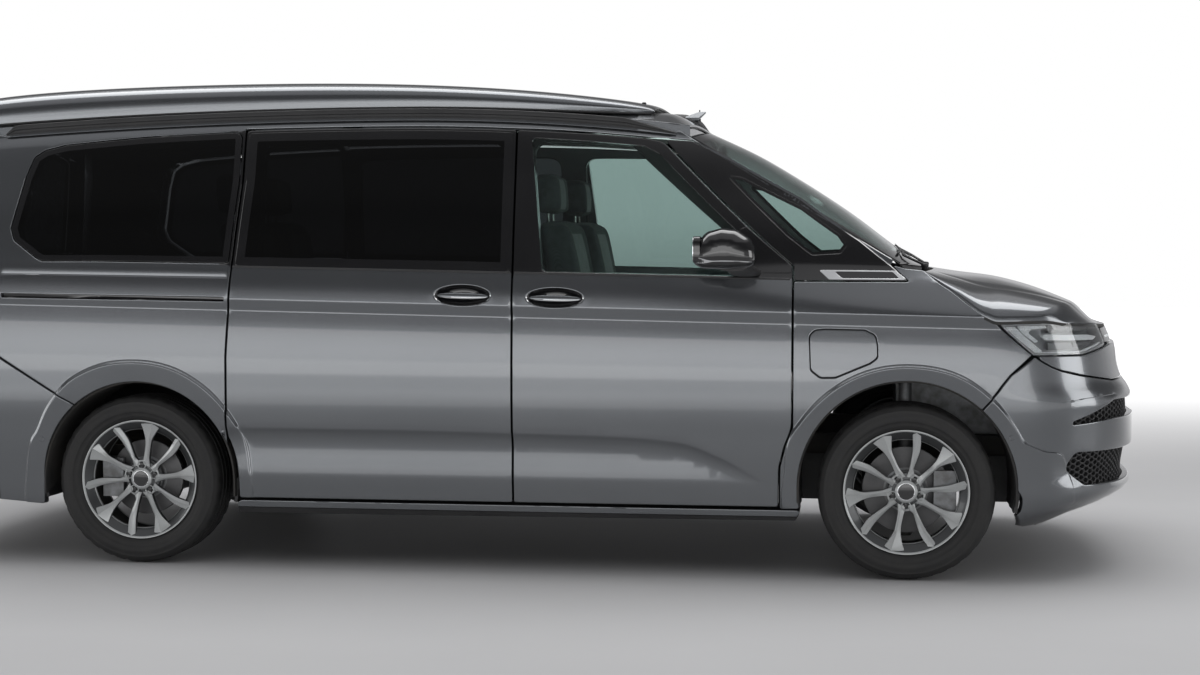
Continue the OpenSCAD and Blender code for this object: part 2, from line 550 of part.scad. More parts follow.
// Lifting roof: a shell with rounded ends over the fixed roof
pop_x = [-2398, axle_f - 1020];
pop_mid = (pop_x[0] + pop_x[1]) / 2;
pop_len = (pop_x[1] - pop_x[0]) / 2;
function pop_crown(x) = crown_h - (x > -950 ? 3.1e-5 : 2.1e-5) * pow(x + 950, 2);
function pop_at(x, h, d) =
    let (u = (x - pop_mid) / pop_len, m = u > 0 ? 3 : 5, hh = h * (1 - d / pop_half))
    let (rise = power(1 - pow(abs(u) * (1 - d / pop_len), m), 1 / m) * power(1 - pow(abs(h), 5), 0.2))
    let (narrow = 1 - 0.16 * pow(max(0, (x + 200) / (pop_x[1] + 200)), 3))
    let (base = roof_top(x, min(1, abs(hh) * pop_half * narrow / roof_width(x))) + pop_gap)
    [mix(x, pop_mid, d / pop_len), hh * pop_half * narrow,
        base + max(0, (pop_crown(x) - base) * rise + (d > 0 ? -d * (0.2 + 0.8 * rise) : 4))];
pop_xs = [pop_x[0], pop_x[0] + 14, pop_x[0] + 60, pop_x[0] + 180, -1700, -1000, -300, 150, pop_x[1] - 230,
    pop_x[1] - 110, pop_x[1] - 40, pop_x[1] - 8];
pop_hs = [1, 0.985, 0.93, 0.8, 0.5, 0, -0.5, -0.8, -0.93, -0.985, -1];
module pop_roof() color([0.3, 0.32, 0.31])
    slab([for (x = pop_xs) [for (h = pop_hs) pop_at(x, h, 0)]],
        [for (x = pop_xs) [for (h = pop_hs) pop_at(x, h, pop_t)]]);

// Fabric wall between the roofs, folded flat while the roof is down
module roof_canvas() color([0.5, 0.5, 0.48]) intersection() {
    slab([for (t = roof_ts) [for (h = roof_hs) roof_at(t, h, -14)]],
        [for (t = roof_ts) [for (h = roof_hs) roof_at(t, h, -seat_gap)]]);
    translate([0, 0, 1600]) linear_extrude(500) difference() {
        rounded(60) polygon([[-2110, -615], [380, -615], [380, 615], [-2110, 615]]);
        rounded(50) polygon([[-2080, -585], [350, -585], [350, 585], [-2080, 585]]);
    }
}

// Rear end
module rear_bumper() color([0.26, 0.28, 0.27]) difference() {
    intersection() {
        skin(concat([for (x = [axle_r, axle_r - 420]) [0, x, -1]], tail_all,
            [for (x = [axle_r - 420, axle_r]) [0, x, 1]]), within(low_rows, 0, 1025), [0, 0], [panel_t, 0]);
        across(-half_w - 60, half_w + 60) offset(delta = -shut / 2) rear_bumper_2d();
    }
    across(-half_w - 60, half_w + 60) rear_arch_2d();
    along(tail_x - 60, tail_x + 420) offset(delta = shut / 2) tailgate_2d();
}

module tailgate() color([0.26, 0.28, 0.27]) difference() {
    intersection() {
        skin(tail_mid, concat(within(all_rows, 566, 1900), [1900, 2020]), [0, 0], [90, 0]);
        along(tail_x - 60, lid_x) offset(delta = -shut / 2) tailgate_2d();
    }
    along(tail_x - 60, tail_x + 420) offset(delta = seat_gap) tailgate_window_2d();
    for (y = lid_hinge_y) block([lid_hinge[0] - 40, y - 30 - seat_gap, lid_z - 50],
        [lid_x + 20, y + 30 + seat_gap, lid_z + 10]);
}
module tailgate_window() color([0.05, 0.05, 0.06]) intersection() {
    skin(tail_mid, concat(high_rows, [1900]), [glass_in, 0], [glass_in + glass_t, 0]);
    along(tail_x - 60, tail_x + 420) tailgate_window_2d();
}
module tail_lamps() color([0.6, 0.05, 0.05]) both_sides() difference() {
    intersection() {
        skin(tail_side, within(low_rows, 700, 1070), [0, 0], [70, 0]);
        across(0, half_w + 60) tail_lamp_2d();
    }
    along(tail_x - 60, tail_x + 420) offset(delta = shut / 2) tailgate_2d();
}

// Structure under and in front of the cabin

module floor_pan() color([0.15, 0.15, 0.16]) {
    difference() {
        translate([0, 0, floor_z]) linear_extrude(floor_t) difference() {
            polygon(concat([for (p = floor_line) [p[0], p[1]]],
                [for (i = [len(floor_line) - 1:-1:0]) [floor_line[i][0], -floor_line[i][1]]]));
            for (s = [-1, 1]) translate([axle_r + 10 - arch_rear - 2, s > 0 ? 640 : -900])
                square([2 * arch_rear + 4, 260]);
        }
    }
    for (s = [-1, 1]) translate([axle_r + 440, s * 640 - 35, 290]) cube([x_a - axle_r - 470, 70, floor_z - 290]);
    for (s = [-1, 1]) translate([axle_r - 800, s * 470 - 35, 360]) cube([1240, 70, floor_z - 360]);
}
// Edge of the floor, just inside the side walls
floor_line = [for (st = concat([for (i = [1:len(tail_side) - 1]) tail_side[i]],
    [for (x = [axle_r - 420, axle_r, x_c, -500, x_b, axle_f - 1000, axle_f - 640, x_a - 62]) [0, x, 1]]))
    skin_at(st, 470, [post_in + seat_gap, 0])];

module front_frame() color([0.12, 0.12, 0.13]) {
    // Bulkhead between the cab and the engine, with the panel below the windscreen
    across(-half_w + 235.5, half_w - 235.5) polygon([[x_a - 14, 480], [x_a - 110, 480], [x_a - 110, floor_z + floor_t + seat_gap],
        [x_a + 12, floor_z + floor_t + seat_gap],
        [x_a + 12, 800], [axle_f - 60, 800], [axle_f + 4, 1130], [axle_f + 118, 1138], [axle_f + 118, cowl_z],
        [axle_f - 20, cowl_z], [axle_f - 84, 830], [x_a - 14, 830]]);
    // Stops under the bonnet
    for (s = [-1, 1]) let (p = bonnet_at(bonnet_i[10], 0.2425, 30))
        translate([p[0], s * p[1], 880]) cylinder(r = 5, h = p[2] - 880 - 3.5);
    for (s = [-1, 1]) translate([x_a + 12, s * 450 - 35, 420]) cube([nose_x - 130 - x_a - 12, 70, 110]);
    // Bumper beam and radiator panel
    block([nose_x - 190, -485, 410], [nose_x - 130, 485, 540]);
    block([nose_x - 245, -415, 380], [nose_x - 190, 415, 900]);
    // Carrier of the headlamps
    difference() {
        block([nose_x - 245, -622, 850], [nose_x - 210, 622, 930]);
        block([nose_x - 250, -560, 900], [nose_x - 180, 560, 940]);
        across(-640, 640) offset(delta = seat_gap) headlamp_2d();
    }
}

module arch_liner(x, r, z, y0, y1) across(y0, y1) difference() {
    arch_2d(x, r - seat_gap - 0.1, z);
    arch_2d(x, r - 7, z);
    translate([x - r - 5, z - r - 5]) square([2 * r + 10, r - 55]);
}
module arch_liners() color([0.05, 0.05, 0.05]) both_sides() {
    difference() {
        arch_liner(axle_f, arch_front, wheel_z + 15, 505, half_w - 30);
        // Room for the top of the strut
        block([axle_f - strut_d / 2 - 14, 500, 700], [axle_f + strut_d / 2 + 14, wheel_y - strut_in + 62, 820]);
    }
    arch_liner(axle_r + 10, arch_rear, wheel_z, 655, half_w - 30);
}

module engine_block() color([0.35, 0.35, 0.36]) block([axle_f - 20, -330, 329 + seat_gap], [axle_f + 560, 330, 960]);
module fuel_tank() color([0.1, 0.1, 0.1]) translate([-1020, -560, 250]) linear_extrude(floor_z - 250 - seat_gap)
    rounded(60) square([900, 560]);
module exhaust() color([0.5, 0.5, 0.5]) {
    translate([-1800, 300, 375]) rotate([0, 90, 0]) cylinder(d = 60, h = 2850);
    translate([-2300, 300, 335]) rotate([0, 90, 0]) cylinder(d = 150, h = 520);
    for (x = [-2260, -1860, -600, 500]) block([x, 290, 380], [x + 20, 310, floor_z - seat_gap]);
}

module front_subframe() color([0.15, 0.15, 0.16]) {
    block([axle_f - 170, -385, 260], [axle_f + 130, 385, 329]);
    both_sides() {
        // Lower arm, under the ball joint
        hull() {
            translate([axle_f - 120, 340, pivot_h - ball_r - 20]) cube([200, 20, 20 - seat_gap]);
            translate([axle_f, wheel_y - pivot_in, pivot_h - ball_r - 20])
                cylinder(d = 46, h = 20 - seat_gap, $fn = 24);
        }
        block([axle_f - 120, 335, pivot_h - ball_r - 20], [axle_f + 80, 385, 262]);
        for (x = [axle_f - 160, axle_f + 70]) block([x, 380, 280], [x + 60, 480, floor_z - seat_gap]);
    }
}

// Brake caliper that straddles the disc, at an angle round the axle
module caliper(disc_d, angle) rotate([0, angle, 0]) difference() {
    translate([disc_d / 2 - 62, -46, -80]) cube([88, 84, 160]);
    translate([0, -19, 0]) rotate([-90, 0, 0]) cylinder(d = disc_d + 8, h = 36);
}
hub_y = 44; // from the wheel's middle plane out to the face that carries the wheel

module carrier() rod([0, -104, 0], 110, 104 - disc_back - seat_gap);
disc_back = 15; // inner face of the brake disc, from the wheel's middle plane
strut_tilt = atan2(strut_in - pivot_in, strut_h - pivot_h);
strut_l = norm([strut_in - pivot_in, strut_h - pivot_h]);
ball_r = 14;
module knuckle_left() color([0.4, 0.4, 0.42]) translate([axle_f, wheel_y, wheel_z]) {
    carrier();
    caliper(disc_front, 0);
    translate([50, -66, -28]) cube([110, 24, 56]);
    // Leg down to the ball joint, on the steering axis
    translate([-30, -88, pivot_h - wheel_z + 34]) cube([60, 44, 90]);
    translate([0, -pivot_in, pivot_h - wheel_z]) {
        sphere(ball_r);
        rotate([strut_tilt, 0, 0]) {
            cylinder(d = 16, h = 60);
            translate([0, 0, 118]) cylinder(d = strut_d, h = strut_l - 118);
        }
    }
}
module knuckle_front_left() knuckle_left();
module knuckle_front_right() to_right() knuckle_left();

module rear_axle() color([0.2, 0.2, 0.21]) {
    block([axle_r - 120, -420, 250], [axle_r + 160, 420, 340]);
    both_sides() {
        translate([axle_r, wheel_y, wheel_z]) {
            carrier();
            caliper(disc_rear, 180);
            translate([-150, -66, -28]) cube([120, 24, 56]);
        }
        block([axle_r - 40, 400, 262], [axle_r + 60, wheel_y - 36, 330]);
        block([axle_r - 100, 415, 290], [axle_r + 140, 500, 360 - seat_gap]);
    }
}

// Wheels, drawn with the axle along Y and the outer face towards +Y
module tyre() color([0.03, 0.03, 0.03]) rotate([-90, 0, 0]) rotate_extrude($fn = 96) polygon([
    [bead_r + seat_gap, -rim_w / 2 + 18], [bead_r + 30, -rim_w / 2 - 2], [wheel_z - 62, -tyre_w / 2],
    [wheel_z - 22, -tyre_w / 2 + 8], [wheel_z - 5, -tyre_w / 2 + 24], [wheel_z, -tyre_w / 2 + 52],
    [wheel_z, tyre_w / 2 - 52], [wheel_z - 5, tyre_w / 2 - 24], [wheel_z - 22, tyre_w / 2 - 8],
    [wheel_z - 62, tyre_w / 2], [bead_r + 30, rim_w / 2 + 2], [bead_r + seat_gap, rim_w / 2 - 18]]);
bead_r = 231;
rim_in = 221;
module spoke(r0, r1, w0, w1, lean) rotate(lean) polygon([[r0, -w0 / 2], [r1, -w1 / 2], [r1, w1 / 2], [r0, w0 / 2]]);
module wheel_rim() rotate([-90, 0, 0]) {
    rotate_extrude($fn = 96) polygon([[rim_in, -rim_w / 2], [rim_d / 2, -rim_w / 2], [rim_d / 2, -rim_w / 2 + 7],
        [bead_r, -rim_w / 2 + 14], [bead_r, rim_w / 2 - 14], [rim_d / 2, rim_w / 2 - 7], [rim_d / 2, rim_w / 2],
        [rim_d / 2 - 12, rim_w / 2], [rim_in, rim_w / 2 - 14]]);
    difference() {
        union() {
            translate([0, 0, hub_y]) cylinder(r = 76, h = 30);
            translate([0, 0, hub_y + 30]) cylinder(r1 = 44, r2 = 32, h = 8);
            // Five pairs of spokes: a wide one and a narrow one from one root
            for (k = [0:bolt_n - 1]) rotate(90 + (k + 0.5) * 360 / bolt_n) {
                translate([0, 0, hub_y + 16]) linear_extrude(26) spoke(56, rim_in + 3, 24, 46, -15);
                translate([0, 0, hub_y + 16]) linear_extrude(26) spoke(56, rim_in + 3, 20, 26, 14);
            }
        }
        for (k = [0:bolt_n - 1]) rotate(90 + k * 360 / bolt_n)
            translate([bolt_circle / 2, 0, -1]) cylinder(d = bolt_hole, h = 200);
    }
}
module brake_disc(d) rotate([-90, 0, 0]) {
    translate([0, 0, -disc_back]) cylinder(d = d, h = 28, $fn = 64);
    cylinder(r = 78, h = hub_y - seat_gap, $fn = 64);
}
module wheel(d) color([0.75, 0.76, 0.78]) {
    wheel_rim();
    brake_disc(d);
}
module at_wheel(front, left) {
    x = front ? axle_f : axle_r;
    if (left) translate([x, wheel_y, wheel_z]) children();
    else translate([x, -wheel_y, wheel_z]) mirror([0, 1, 0]) children();
}

// Inside the cabin

// Each wiper stands on a spindle in the cowl, and its arm lies over the glass
module wiper(x, y, h, sweep) {
    z = cowl_z + seat_gap;
    foot = screen_at(0.96, h, -22);
    translate([x, y, z]) cylinder(r = 9, h = foot[2] - 10 - z);
    hull() {
        translate([x, y, foot[2] - 18]) cylinder(r = 12, h = 12, $fn = 12);
        translate(foot) sphere(8, $fn = 8);
        translate(screen_at(0.9, h + sweep, -24)) sphere(6, $fn = 8);
    }
    hull() for (e = [0, 2]) translate(screen_at(0.93 - 0.03 * e, h + sweep * e, -23)) sphere(5, $fn = 8);
}
module wipers() color([0.03, 0.03, 0.03]) {
    wiper(axle_f + 98, 30, 0.04, 0.3);
    wiper(axle_f + 76, -560, -0.74, 0.3);
}
cowl_z = 1156;

module dashboard() color([0.1, 0.1, 0.1]) difference() {
    across(-half_w + 235.5, half_w - 235.5) rounded(24, $fn = 24) polygon([[axle_f - 520, 830], [axle_f - 90, 832],
        [axle_f - 30, 1160], [axle_f - 200, 1176], [axle_f - 480, 1136], [axle_f - 560, 1050]]);
    at_steering_wheel() translate([0, 0, -180]) cylinder(r = column_r + seat_gap, h = 160);
}
column_r = 22;
module at_steering_wheel() translate([axle_f - 640, -390, 1075]) rotate([0, -68, 0]) children();

module steering_wheel() color([0.06, 0.06, 0.06]) at_steering_wheel() {
    rotate_extrude($fn = 64) translate([wheel_d / 2 - 16, 0]) circle(15, $fn = 24);
    translate([0, 0, -20]) cylinder(r = 62, h = 34);
    for (a = [0, 90, 270]) rotate(a + 90) translate([40, -14, -8]) cube([wheel_d / 2 - 58, 28, 12]);
    translate([0, 0, -160]) cylinder(r = column_r, h = 150);
}

// A seat: cushion, back and head rest in side view, with its base
module seat(x, y, w) translate([x, y, 0]) {
    across(-w / 2, w / 2) {
        rounded(40, $fn = 24) polygon([[-40, 740], [-40, 900], [470, 930], [480, 800], [440, 750]]);
        rounded(45, $fn = 24) polygon([[-50, 780], [80, 800], [-60, 1420], [-180, 1410]]);
    }
    across(-w / 2 + 60, w / 2 - 60) {
        translate([0, floor_z + floor_t]) square([380, 300]);
        polygon([[-160, 1380], [-90, 1390], [-105, 1460], [-165, 1450]]);
    }
    across(-140, 140) rounded(30, $fn = 24) polygon([[-200, 1440], [-80, 1440], [-95, 1610], [-190, 1600]]);
}
module seats() color([0.45, 0.46, 0.46]) {
    for (s = [-1, 1]) seat(300, s * (half_w - 580.5), 500);
    for (y = [-480, 20]) seat(-1050, y, 440);
}
module kitchen_unit() color([0.6, 0.6, 0.58]) block([-1030, half_w - 570.5, floor_z + floor_t], [-150, half_w - 230.5, 1180]);

floor_pan();
side_frame_right();
side_frame_left();
front_frame();
front_wings();
arch_liners();
front_bumper();
front_grilles();
headlamps();
windscreen();
roof_frame();
roof_rails();
rear_windows();
cab_quarter_windows();
sliding_door_right();
sliding_door_left();
rear_bumper();
tail_lamps();
dashboard();
seats();
kitchen_unit();
engine_block();
fuel_tank();
exhaust();
front_subframe();
rear_axle();
wipers();
roof_canvas();
front_door_right();
front_door_left();
front_door_window_right();
front_door_window_left();
mirror_right();
mirror_left();
tailgate();
tailgate_window();
bonnet();
pop_roof();
knuckle_front_right();
knuckle_front_left();
at_wheel(true, false) tyre();  // tyre_front_right
at_wheel(true, true) tyre();  // tyre_front_left
at_wheel(false, false) tyre();  // tyre_rear_right
at_wheel(false, true) tyre();  // tyre_rear_left
at_wheel(true, false) wheel(disc_front);  // wheel_front_right
at_wheel(true, true) wheel(disc_front);  // wheel_front_left
at_wheel(false, false) wheel(disc_rear);  // wheel_rear_right
at_wheel(false, true) wheel(disc_rear);  // wheel_rear_left
steering_wheel();
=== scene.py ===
"""Camper van with a lifting roof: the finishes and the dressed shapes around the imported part, in its frame."""
import logging
import math
from dataclasses import dataclass, field
from enum import Enum
from typing import Callable, Iterable, Sequence

import bmesh
import bpy
import numpy as np
from mathutils import Matrix, Vector
from mathutils.geometry import delaunay_2d_cdt


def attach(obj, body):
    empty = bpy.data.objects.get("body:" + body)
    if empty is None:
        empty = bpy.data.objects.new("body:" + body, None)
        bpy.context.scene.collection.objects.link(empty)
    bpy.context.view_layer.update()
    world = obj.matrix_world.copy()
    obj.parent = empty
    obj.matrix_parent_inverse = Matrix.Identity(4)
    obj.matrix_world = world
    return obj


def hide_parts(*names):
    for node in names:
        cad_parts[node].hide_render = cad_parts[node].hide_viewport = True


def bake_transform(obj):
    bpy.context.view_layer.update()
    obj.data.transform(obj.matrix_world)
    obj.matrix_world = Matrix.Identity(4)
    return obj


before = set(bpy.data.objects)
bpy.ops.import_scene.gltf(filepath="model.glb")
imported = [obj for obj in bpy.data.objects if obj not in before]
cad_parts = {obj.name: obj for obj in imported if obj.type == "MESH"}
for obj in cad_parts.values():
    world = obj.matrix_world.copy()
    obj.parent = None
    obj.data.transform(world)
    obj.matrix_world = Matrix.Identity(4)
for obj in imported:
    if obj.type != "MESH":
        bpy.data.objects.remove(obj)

logging.basicConfig(level=logging.INFO, format="%(message)s")
LOG = logging.getLogger("van")
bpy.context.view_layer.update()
MM = 0.001
Array = np.ndarray


# Sizes of the body, in millimetres, as in the part's source
HALF_W = 970.5
NOSE_X = 2586.5
AXLE_F = 1640.5
AXLE_R = -1483.5
WHEEL_Y = 811.0
WHEEL_Z = 346.0
BELT_H = 1195.0
CANT_H = 1816.0
X_A = 1196.5
X_B = 85.5
X_C = -1092.5
DOOR_Z = 279.0
SHUT = 7.0
LID_X = -2414.5
GLASS_T = 6.0
SCREEN_FRONT = 1736.5


def smooth_table(rows: Sequence[tuple[float, float]]) -> Callable[[Array], Array]:
    """Makes a monotone cubic through the rows of a table.

    Args:
        rows: Pairs of place and value, in rising order.

    Returns:
        A function that reads the curve at an array of places.
    """
    xs, ys = np.array(rows, float).T
    h = np.diff(xs)
    d = np.diff(ys) / h
    m = np.zeros_like(ys)
    m[0], m[-1] = d[0], d[-1]
    same = d[1:] * d[:-1] > 0
    w1, w2 = 2 * h[1:] + h[:-1], h[1:] + 2 * h[:-1]
    safe = np.where(same, 1, 0)
    with np.errstate(divide="ignore", invalid="ignore"):
        mean = (w1 + w2) / (w1 / d[:-1] + w2 / d[1:])
    m[1:-1] = np.where(safe == 1, mean, 0)

    def read(x: Array) -> Array:
        """Reads the curve at x."""
        x = np.clip(np.asarray(x, float), xs[0], xs[-1])
        i = np.clip(np.searchsorted(xs, x) - 1, 0, len(h) - 1)
        t = (x - xs[i]) / h[i]
        return ((1 + 2 * t) * (1 - t) ** 2 * ys[i] + t * (1 - t) ** 2 * h[i] * m[i]
                + t * t * (3 - 2 * t) * ys[i + 1] + t * t * (t - 1) * h[i] * m[i + 1])
    return read


def blend01(t: Array) -> Array:
    """Eases t from 0 to 1."""
    t = np.clip(t, 0, 1)
    return t * t * (3 - 2 * t)


class Corner:
    """Plan of one end of the body: a superellipse, measured along its girth."""

    def __init__(self, length: float, power: float) -> None:
        """Keeps the corner's length and power, and tables its girth."""
        self.length, self.power = length, power
        a = np.linspace(0, math.pi / 2, 3001)
        self.s = np.sin(a) ** (2 / power)
        self.c = np.cos(a) ** (2 / power)
        self.c[-1] = 0.0
        step = np.hypot(np.diff(self.s) * length, np.diff(self.c) * 940.0)
        self.girth = np.concatenate([[0.0], np.cumsum(step)])
        self.total = float(self.girth[-1])

    def at(self, g: Array) -> tuple[Array, Array]:
        """Returns the lengthwise and crosswise shares at a girth from the corner's start."""
        return np.interp(g, self.girth, self.s), np.interp(g, self.girth, self.c)

    def from_length(self, share: Array) -> Array:
        """Returns the girth at a lengthwise share."""
        return np.interp(share, self.s, self.girth)

    def from_width(self, share: Array) -> Array:
        """Returns the girth at a crosswise share."""
        return np.interp(-np.asarray(share), -self.c, self.girth)


class Skin:
    """The body's outer skin: girth from nose to tail, nominal height, and depth under the skin."""

    bow = 12.0
    fall = 19.5
    peak = -400.0

    def __init__(self) -> None:
        """Tables the profiles of the side, the nose and the tail."""
        self.nose, self.tail = Corner(780.0, 2.9), Corner(520.0, 5.0)
        self.nose_start, self.tail_start = NOSE_X - 780.0, NOSE_X - 520.0
        self.nose_mid = self.nose_start + self.nose.total
        self.tail_mid = self.tail_start + self.tail.total
        self.low = smooth_table([(205, 58), (240, 42), (300, 33), (370, 25), (420, 19), (480, 13), (566, 7),
                                 (640, 2), (700, 0), (780, 0), (860, 1), (950, 5), (1025, 12)])
        self.high = smooth_table([(1070, 4), (1110, 7), (1195, 24), (1225, 31), (1400, 62), (1600, 104),
                                  (1775, 142), (1816, 152)])
        self.scoop = smooth_table([(300, 33), (385, 24.5), (430, 26), (470, 27.5), (520, 28), (571, 28)])
        self.scoop_top = smooth_table([(-1100, 571), (-868, 571), (-371, 569), (82, 563), (519, 553),
                                       (757, 533), (915, 476), (1033, 411), (1104, 369)])
        self.nose_back = smooth_table([(205, 330), (253, 200), (278, 120), (325, 30), (343, 8), (400, 18),
                                       (473, 9), (522, 0), (611, 0), (705, 5), (741, 21), (773, 45),
                                       (911, 78), (996, 111), (1090, 160)])
        self.tail_back = smooth_table([(205, 150), (300, 45), (400, 8), (470, 0), (566, 0), (640, 6),
                                       (850, 42), (1000, 54), (1240, 82), (1600, 128), (1850, 158),
                                       (1900, 166)])

    def half(self, x: Array) -> Array:
        """Half width of the body at x, at its widest height."""
        return HALF_W - self.bow * ((x + 200) / 2000) ** 2

    def drop(self, x: Array) -> Array:
        """How far the lines of the side have fallen at x."""
        return self.fall * (x - X_B) / 1000

    def cant(self, x: Array) -> Array:
        """Height of the side wall's top edge."""
        return CANT_H - np.where(x > self.peak, 5.2e-5, 2e-5) * (x - self.peak) ** 2

    def height(self, v: Array, x: Array) -> Array:
        """Real height of a nominal height at x."""
        d = self.drop(x)
        low = v - d * np.clip((v - 700) / 300, 0, 1)
        high = BELT_H - d + (self.cant(x) - BELT_H + d) * (v - BELT_H) / (CANT_H - BELT_H)
        return np.where(v <= BELT_H, low, high)

    def nominal(self, z: Array, x: Array) -> Array:
        """Nominal height of a real height at x."""
        d = self.drop(x)
        v = np.where(z <= 700, z, np.where(z <= 1000 - d, (z - 7 * d / 3) / (1 - d / 300), z + d))
        high = BELT_H + (z - BELT_H + d) / (self.cant(x) - BELT_H + d) * (CANT_H - BELT_H)
        return np.where(z <= BELT_H - d, v, high)

    def taper(self, v: Array, x: Array) -> Array:
        """How far the cab narrows towards the windscreen."""
        return np.where(x < AXLE_F - 1140, 0, 70 * ((x - AXLE_F + 1140) / 1150) ** 2
                        * np.clip((v - 1080) / 190, 0, 1))

    def inset(self, v: Array, x: Array) -> Array:
        """Distance of the side from its widest point, with the hollow along the lower doors."""
        ledge = 12 - 8 * np.clip((v - 1025) / 45, 0, 1)
        base = np.where(v < 1025, self.low(v), np.where(v < 1070, ledge, self.high(v)))
        depth = np.clip((self.scoop_top(x) - v) / 70, 0, 1)
        ease = 1 - (1 - depth) ** 2.2
        hollow = np.maximum(0, self.scoop(v) - self.low(v)) * ease
        reach = np.where((x > -1110) & (x < 1150), 1.0, 0.0)
        return base + np.where((v < 600) & (v > 300), hollow * reach, 0)

    def point(self, g: Array, v: Array, depth: Array | float = 0.0) -> Array:
        """Places points of the left half of the skin, and past the middle of the nose or tail, the right.

        Args:
            g: Girth, which is x along the straight side.
            v: Nominal height.
            depth: Depth under the skin.

        Returns:
            The points as rows of x, y, z.
        """
        g, v = np.asarray(g, float), np.asarray(v, float)
        depth = np.broadcast_to(np.asarray(depth, float), g.shape)
        side = np.where((g > self.nose_mid) | (g < -self.tail_mid), -1.0, 1.0)
        g = np.where(g > self.nose_mid, 2 * self.nose_mid - g, g)
        g = np.where(g < -self.tail_mid, -2 * self.tail_mid - g, g)
        out = np.empty(g.shape + (3,))
        x = np.clip(g, -self.tail_start, self.nose_start)
        out[..., 0] = x
        out[..., 1] = self.half(x) - self.inset(v, x) - self.taper(v, x) - depth
        out[..., 2] = self.height(v, x)
        for corner, start, sign, back in ((self.nose, self.nose_start, 1, self.nose_back),
                                          (self.tail, self.tail_start, -1, self.tail_back)):
            m = g * sign > start
            s, c = corner.at(g[m] * sign - start)
            xs = sign * (start + corner.length * s)
            z = self.height(v[m], xs)
            w = self.half(sign * start) - self.inset(v[m], xs) - self.taper(v[m], xs) - depth[m]
            out[m, 0] = sign * (start + (corner.length - back(z) - depth[m]) * s)
            out[m, 1] = w * c
            out[m, 2] = z
        out[..., 1] *= side
        return out

    def from_side(self, points: Iterable[Sequence[float]]) -> Array:
        """Turns points of a side view (x, z) into girth and nominal height."""
        p = np.array([q[:2] for q in points], float)
        x, z = p[:, 0], p[:, 1]
        out = np.column_stack([x, self.nominal(z, x)])
        for corner, start, sign, back in ((self.nose, self.nose_start, 1, self.nose_back),
                                          (self.tail, self.tail_start, -1, self.tail_back)):
            m = x * sign > start
            share = np.clip((x[m] * sign - start) / (corner.length - back(z[m])), 0, 1)
            out[m, 0] = sign * (start + corner.from_length(share))
            out[m, 1] = self.nominal(z[m], sign * (start + corner.length * share))
        return out

    def from_end(self, points: Iterable[Sequence[float]], nose: bool) -> Array:
        """Turns points of a front or rear view (y, z) into girth and nominal height."""
        corner, start = (self.nose, self.nose_start) if nose else (self.tail, self.tail_start)
        sign, middle = (1, self.nose_mid) if nose else (-1, self.tail_mid)
        p = np.array([q[:2] for q in points], float)
        y, z = p[:, 0], p[:, 1]
        share = np.ones_like(y)
        for _ in range(6):
            xs = sign * (start + corner.length * share)
            v = self.nominal(z, xs)
            w = self.half(np.float64(sign * start)) - self.inset(v, xs) - self.taper(v, xs)
            g = corner.from_width(np.clip(np.abs(y) / w, 0, 1))
            share = corner.at(g)[0]
        g = start + g
        g = np.where(y < 0, 2 * middle - g, g)
        return np.column_stack([sign * g, v])


SKIN = Skin()


# Outlines: corners are rounded, and long runs get evenly spaced points
def soften(points: Sequence[Sequence[float]], radius: float = 0.0, steps: int = 5) -> Array:
    """Rounds the corners of a closed outline.

    Args:
        points: Corners as x, z and, where a corner has its own, the radius.
        radius: Radius of the corners that give none.
        steps: Pieces in each rounding.

    Returns:
        The rounded outline.
    """
    p = np.array([q[:2] for q in points], float)
    out = []
    for i, q in enumerate(points):
        a, b, c = p[i - 1], p[i], p[(i + 1) % len(p)]
        r = q[2] if len(q) > 2 else radius
        la, lc = np.linalg.norm(a - b), np.linalg.norm(c - b)
        u, w = (a - b) / max(la, 1e-9), (c - b) / max(lc, 1e-9)
        turn = math.pi - math.acos(float(np.clip(np.dot(u, w), -1, 1)))
        cut = min(r * math.tan(turn / 2), 0.48 * la, 0.48 * lc)
        if cut < 0.3:
            out.append(b)
            continue
        for t in np.linspace(0, 1, steps + 1):
            out.append((1 - t) ** 2 * (b + u * cut) + 2 * t * (1 - t) * b + t * t * (b + w * cut))
    return np.array(out)


def spaced(points: Array, step: float, closed: bool = True) -> Array:
    """Adds points so that no run of an outline is longer than step."""
    p = np.asarray(points, float)
    q = np.roll(p, -1, 0) if closed else p[1:]
    out = []
    for a, b in zip(p, q):
        n = max(1, int(math.ceil(np.linalg.norm(b - a) / step)))
        out.extend(a + (b - a) * k / n for k in range(n))
    if not closed:
        out.append(p[-1])
    out = np.array(out)
    keep = np.linalg.norm(out - np.roll(out, 1, 0), axis=1) > 0.05
    return out[keep]


def signed_area(p: Array) -> float:
    """Area of a closed outline, positive where it runs to the left."""
    q = np.roll(p, -1, 0)
    return float(0.5 * np.sum(p[:, 0] * q[:, 1] - q[:, 0] * p[:, 1]))


def inward(p: Array) -> Array:
    """Unit vectors to the left of a closed outline, at its points."""
    d = np.roll(p, -1, 0) - np.roll(p, 1, 0)
    n = np.column_stack([-d[:, 1], d[:, 0]])
    return n / np.maximum(np.linalg.norm(n, axis=1, keepdims=True), 1e-9)


def grown(points: Sequence[Sequence[float]], by: float) -> list[list[float]]:
    """Moves the sides of an outline outwards, each parallel to itself; radii are kept."""
    p = np.array([q[:2] for q in points], float)
    if signed_area(p) > 0:
        by = -by
    out = []
    for i, q in enumerate(points):
        a, b, c = p[i - 1], p[i], p[(i + 1) % len(p)]
        u, w = (b - a) / np.linalg.norm(b - a), (c - b) / np.linalg.norm(c - b)
        nu, nw = np.array([-u[1], u[0]]), np.array([-w[1], w[0]])
        m = nu + nw
        m = m / max(float(np.dot(m, m)), 0.3) * 2
        out.append([*(b + m * by), *q[2:3]])
    return out


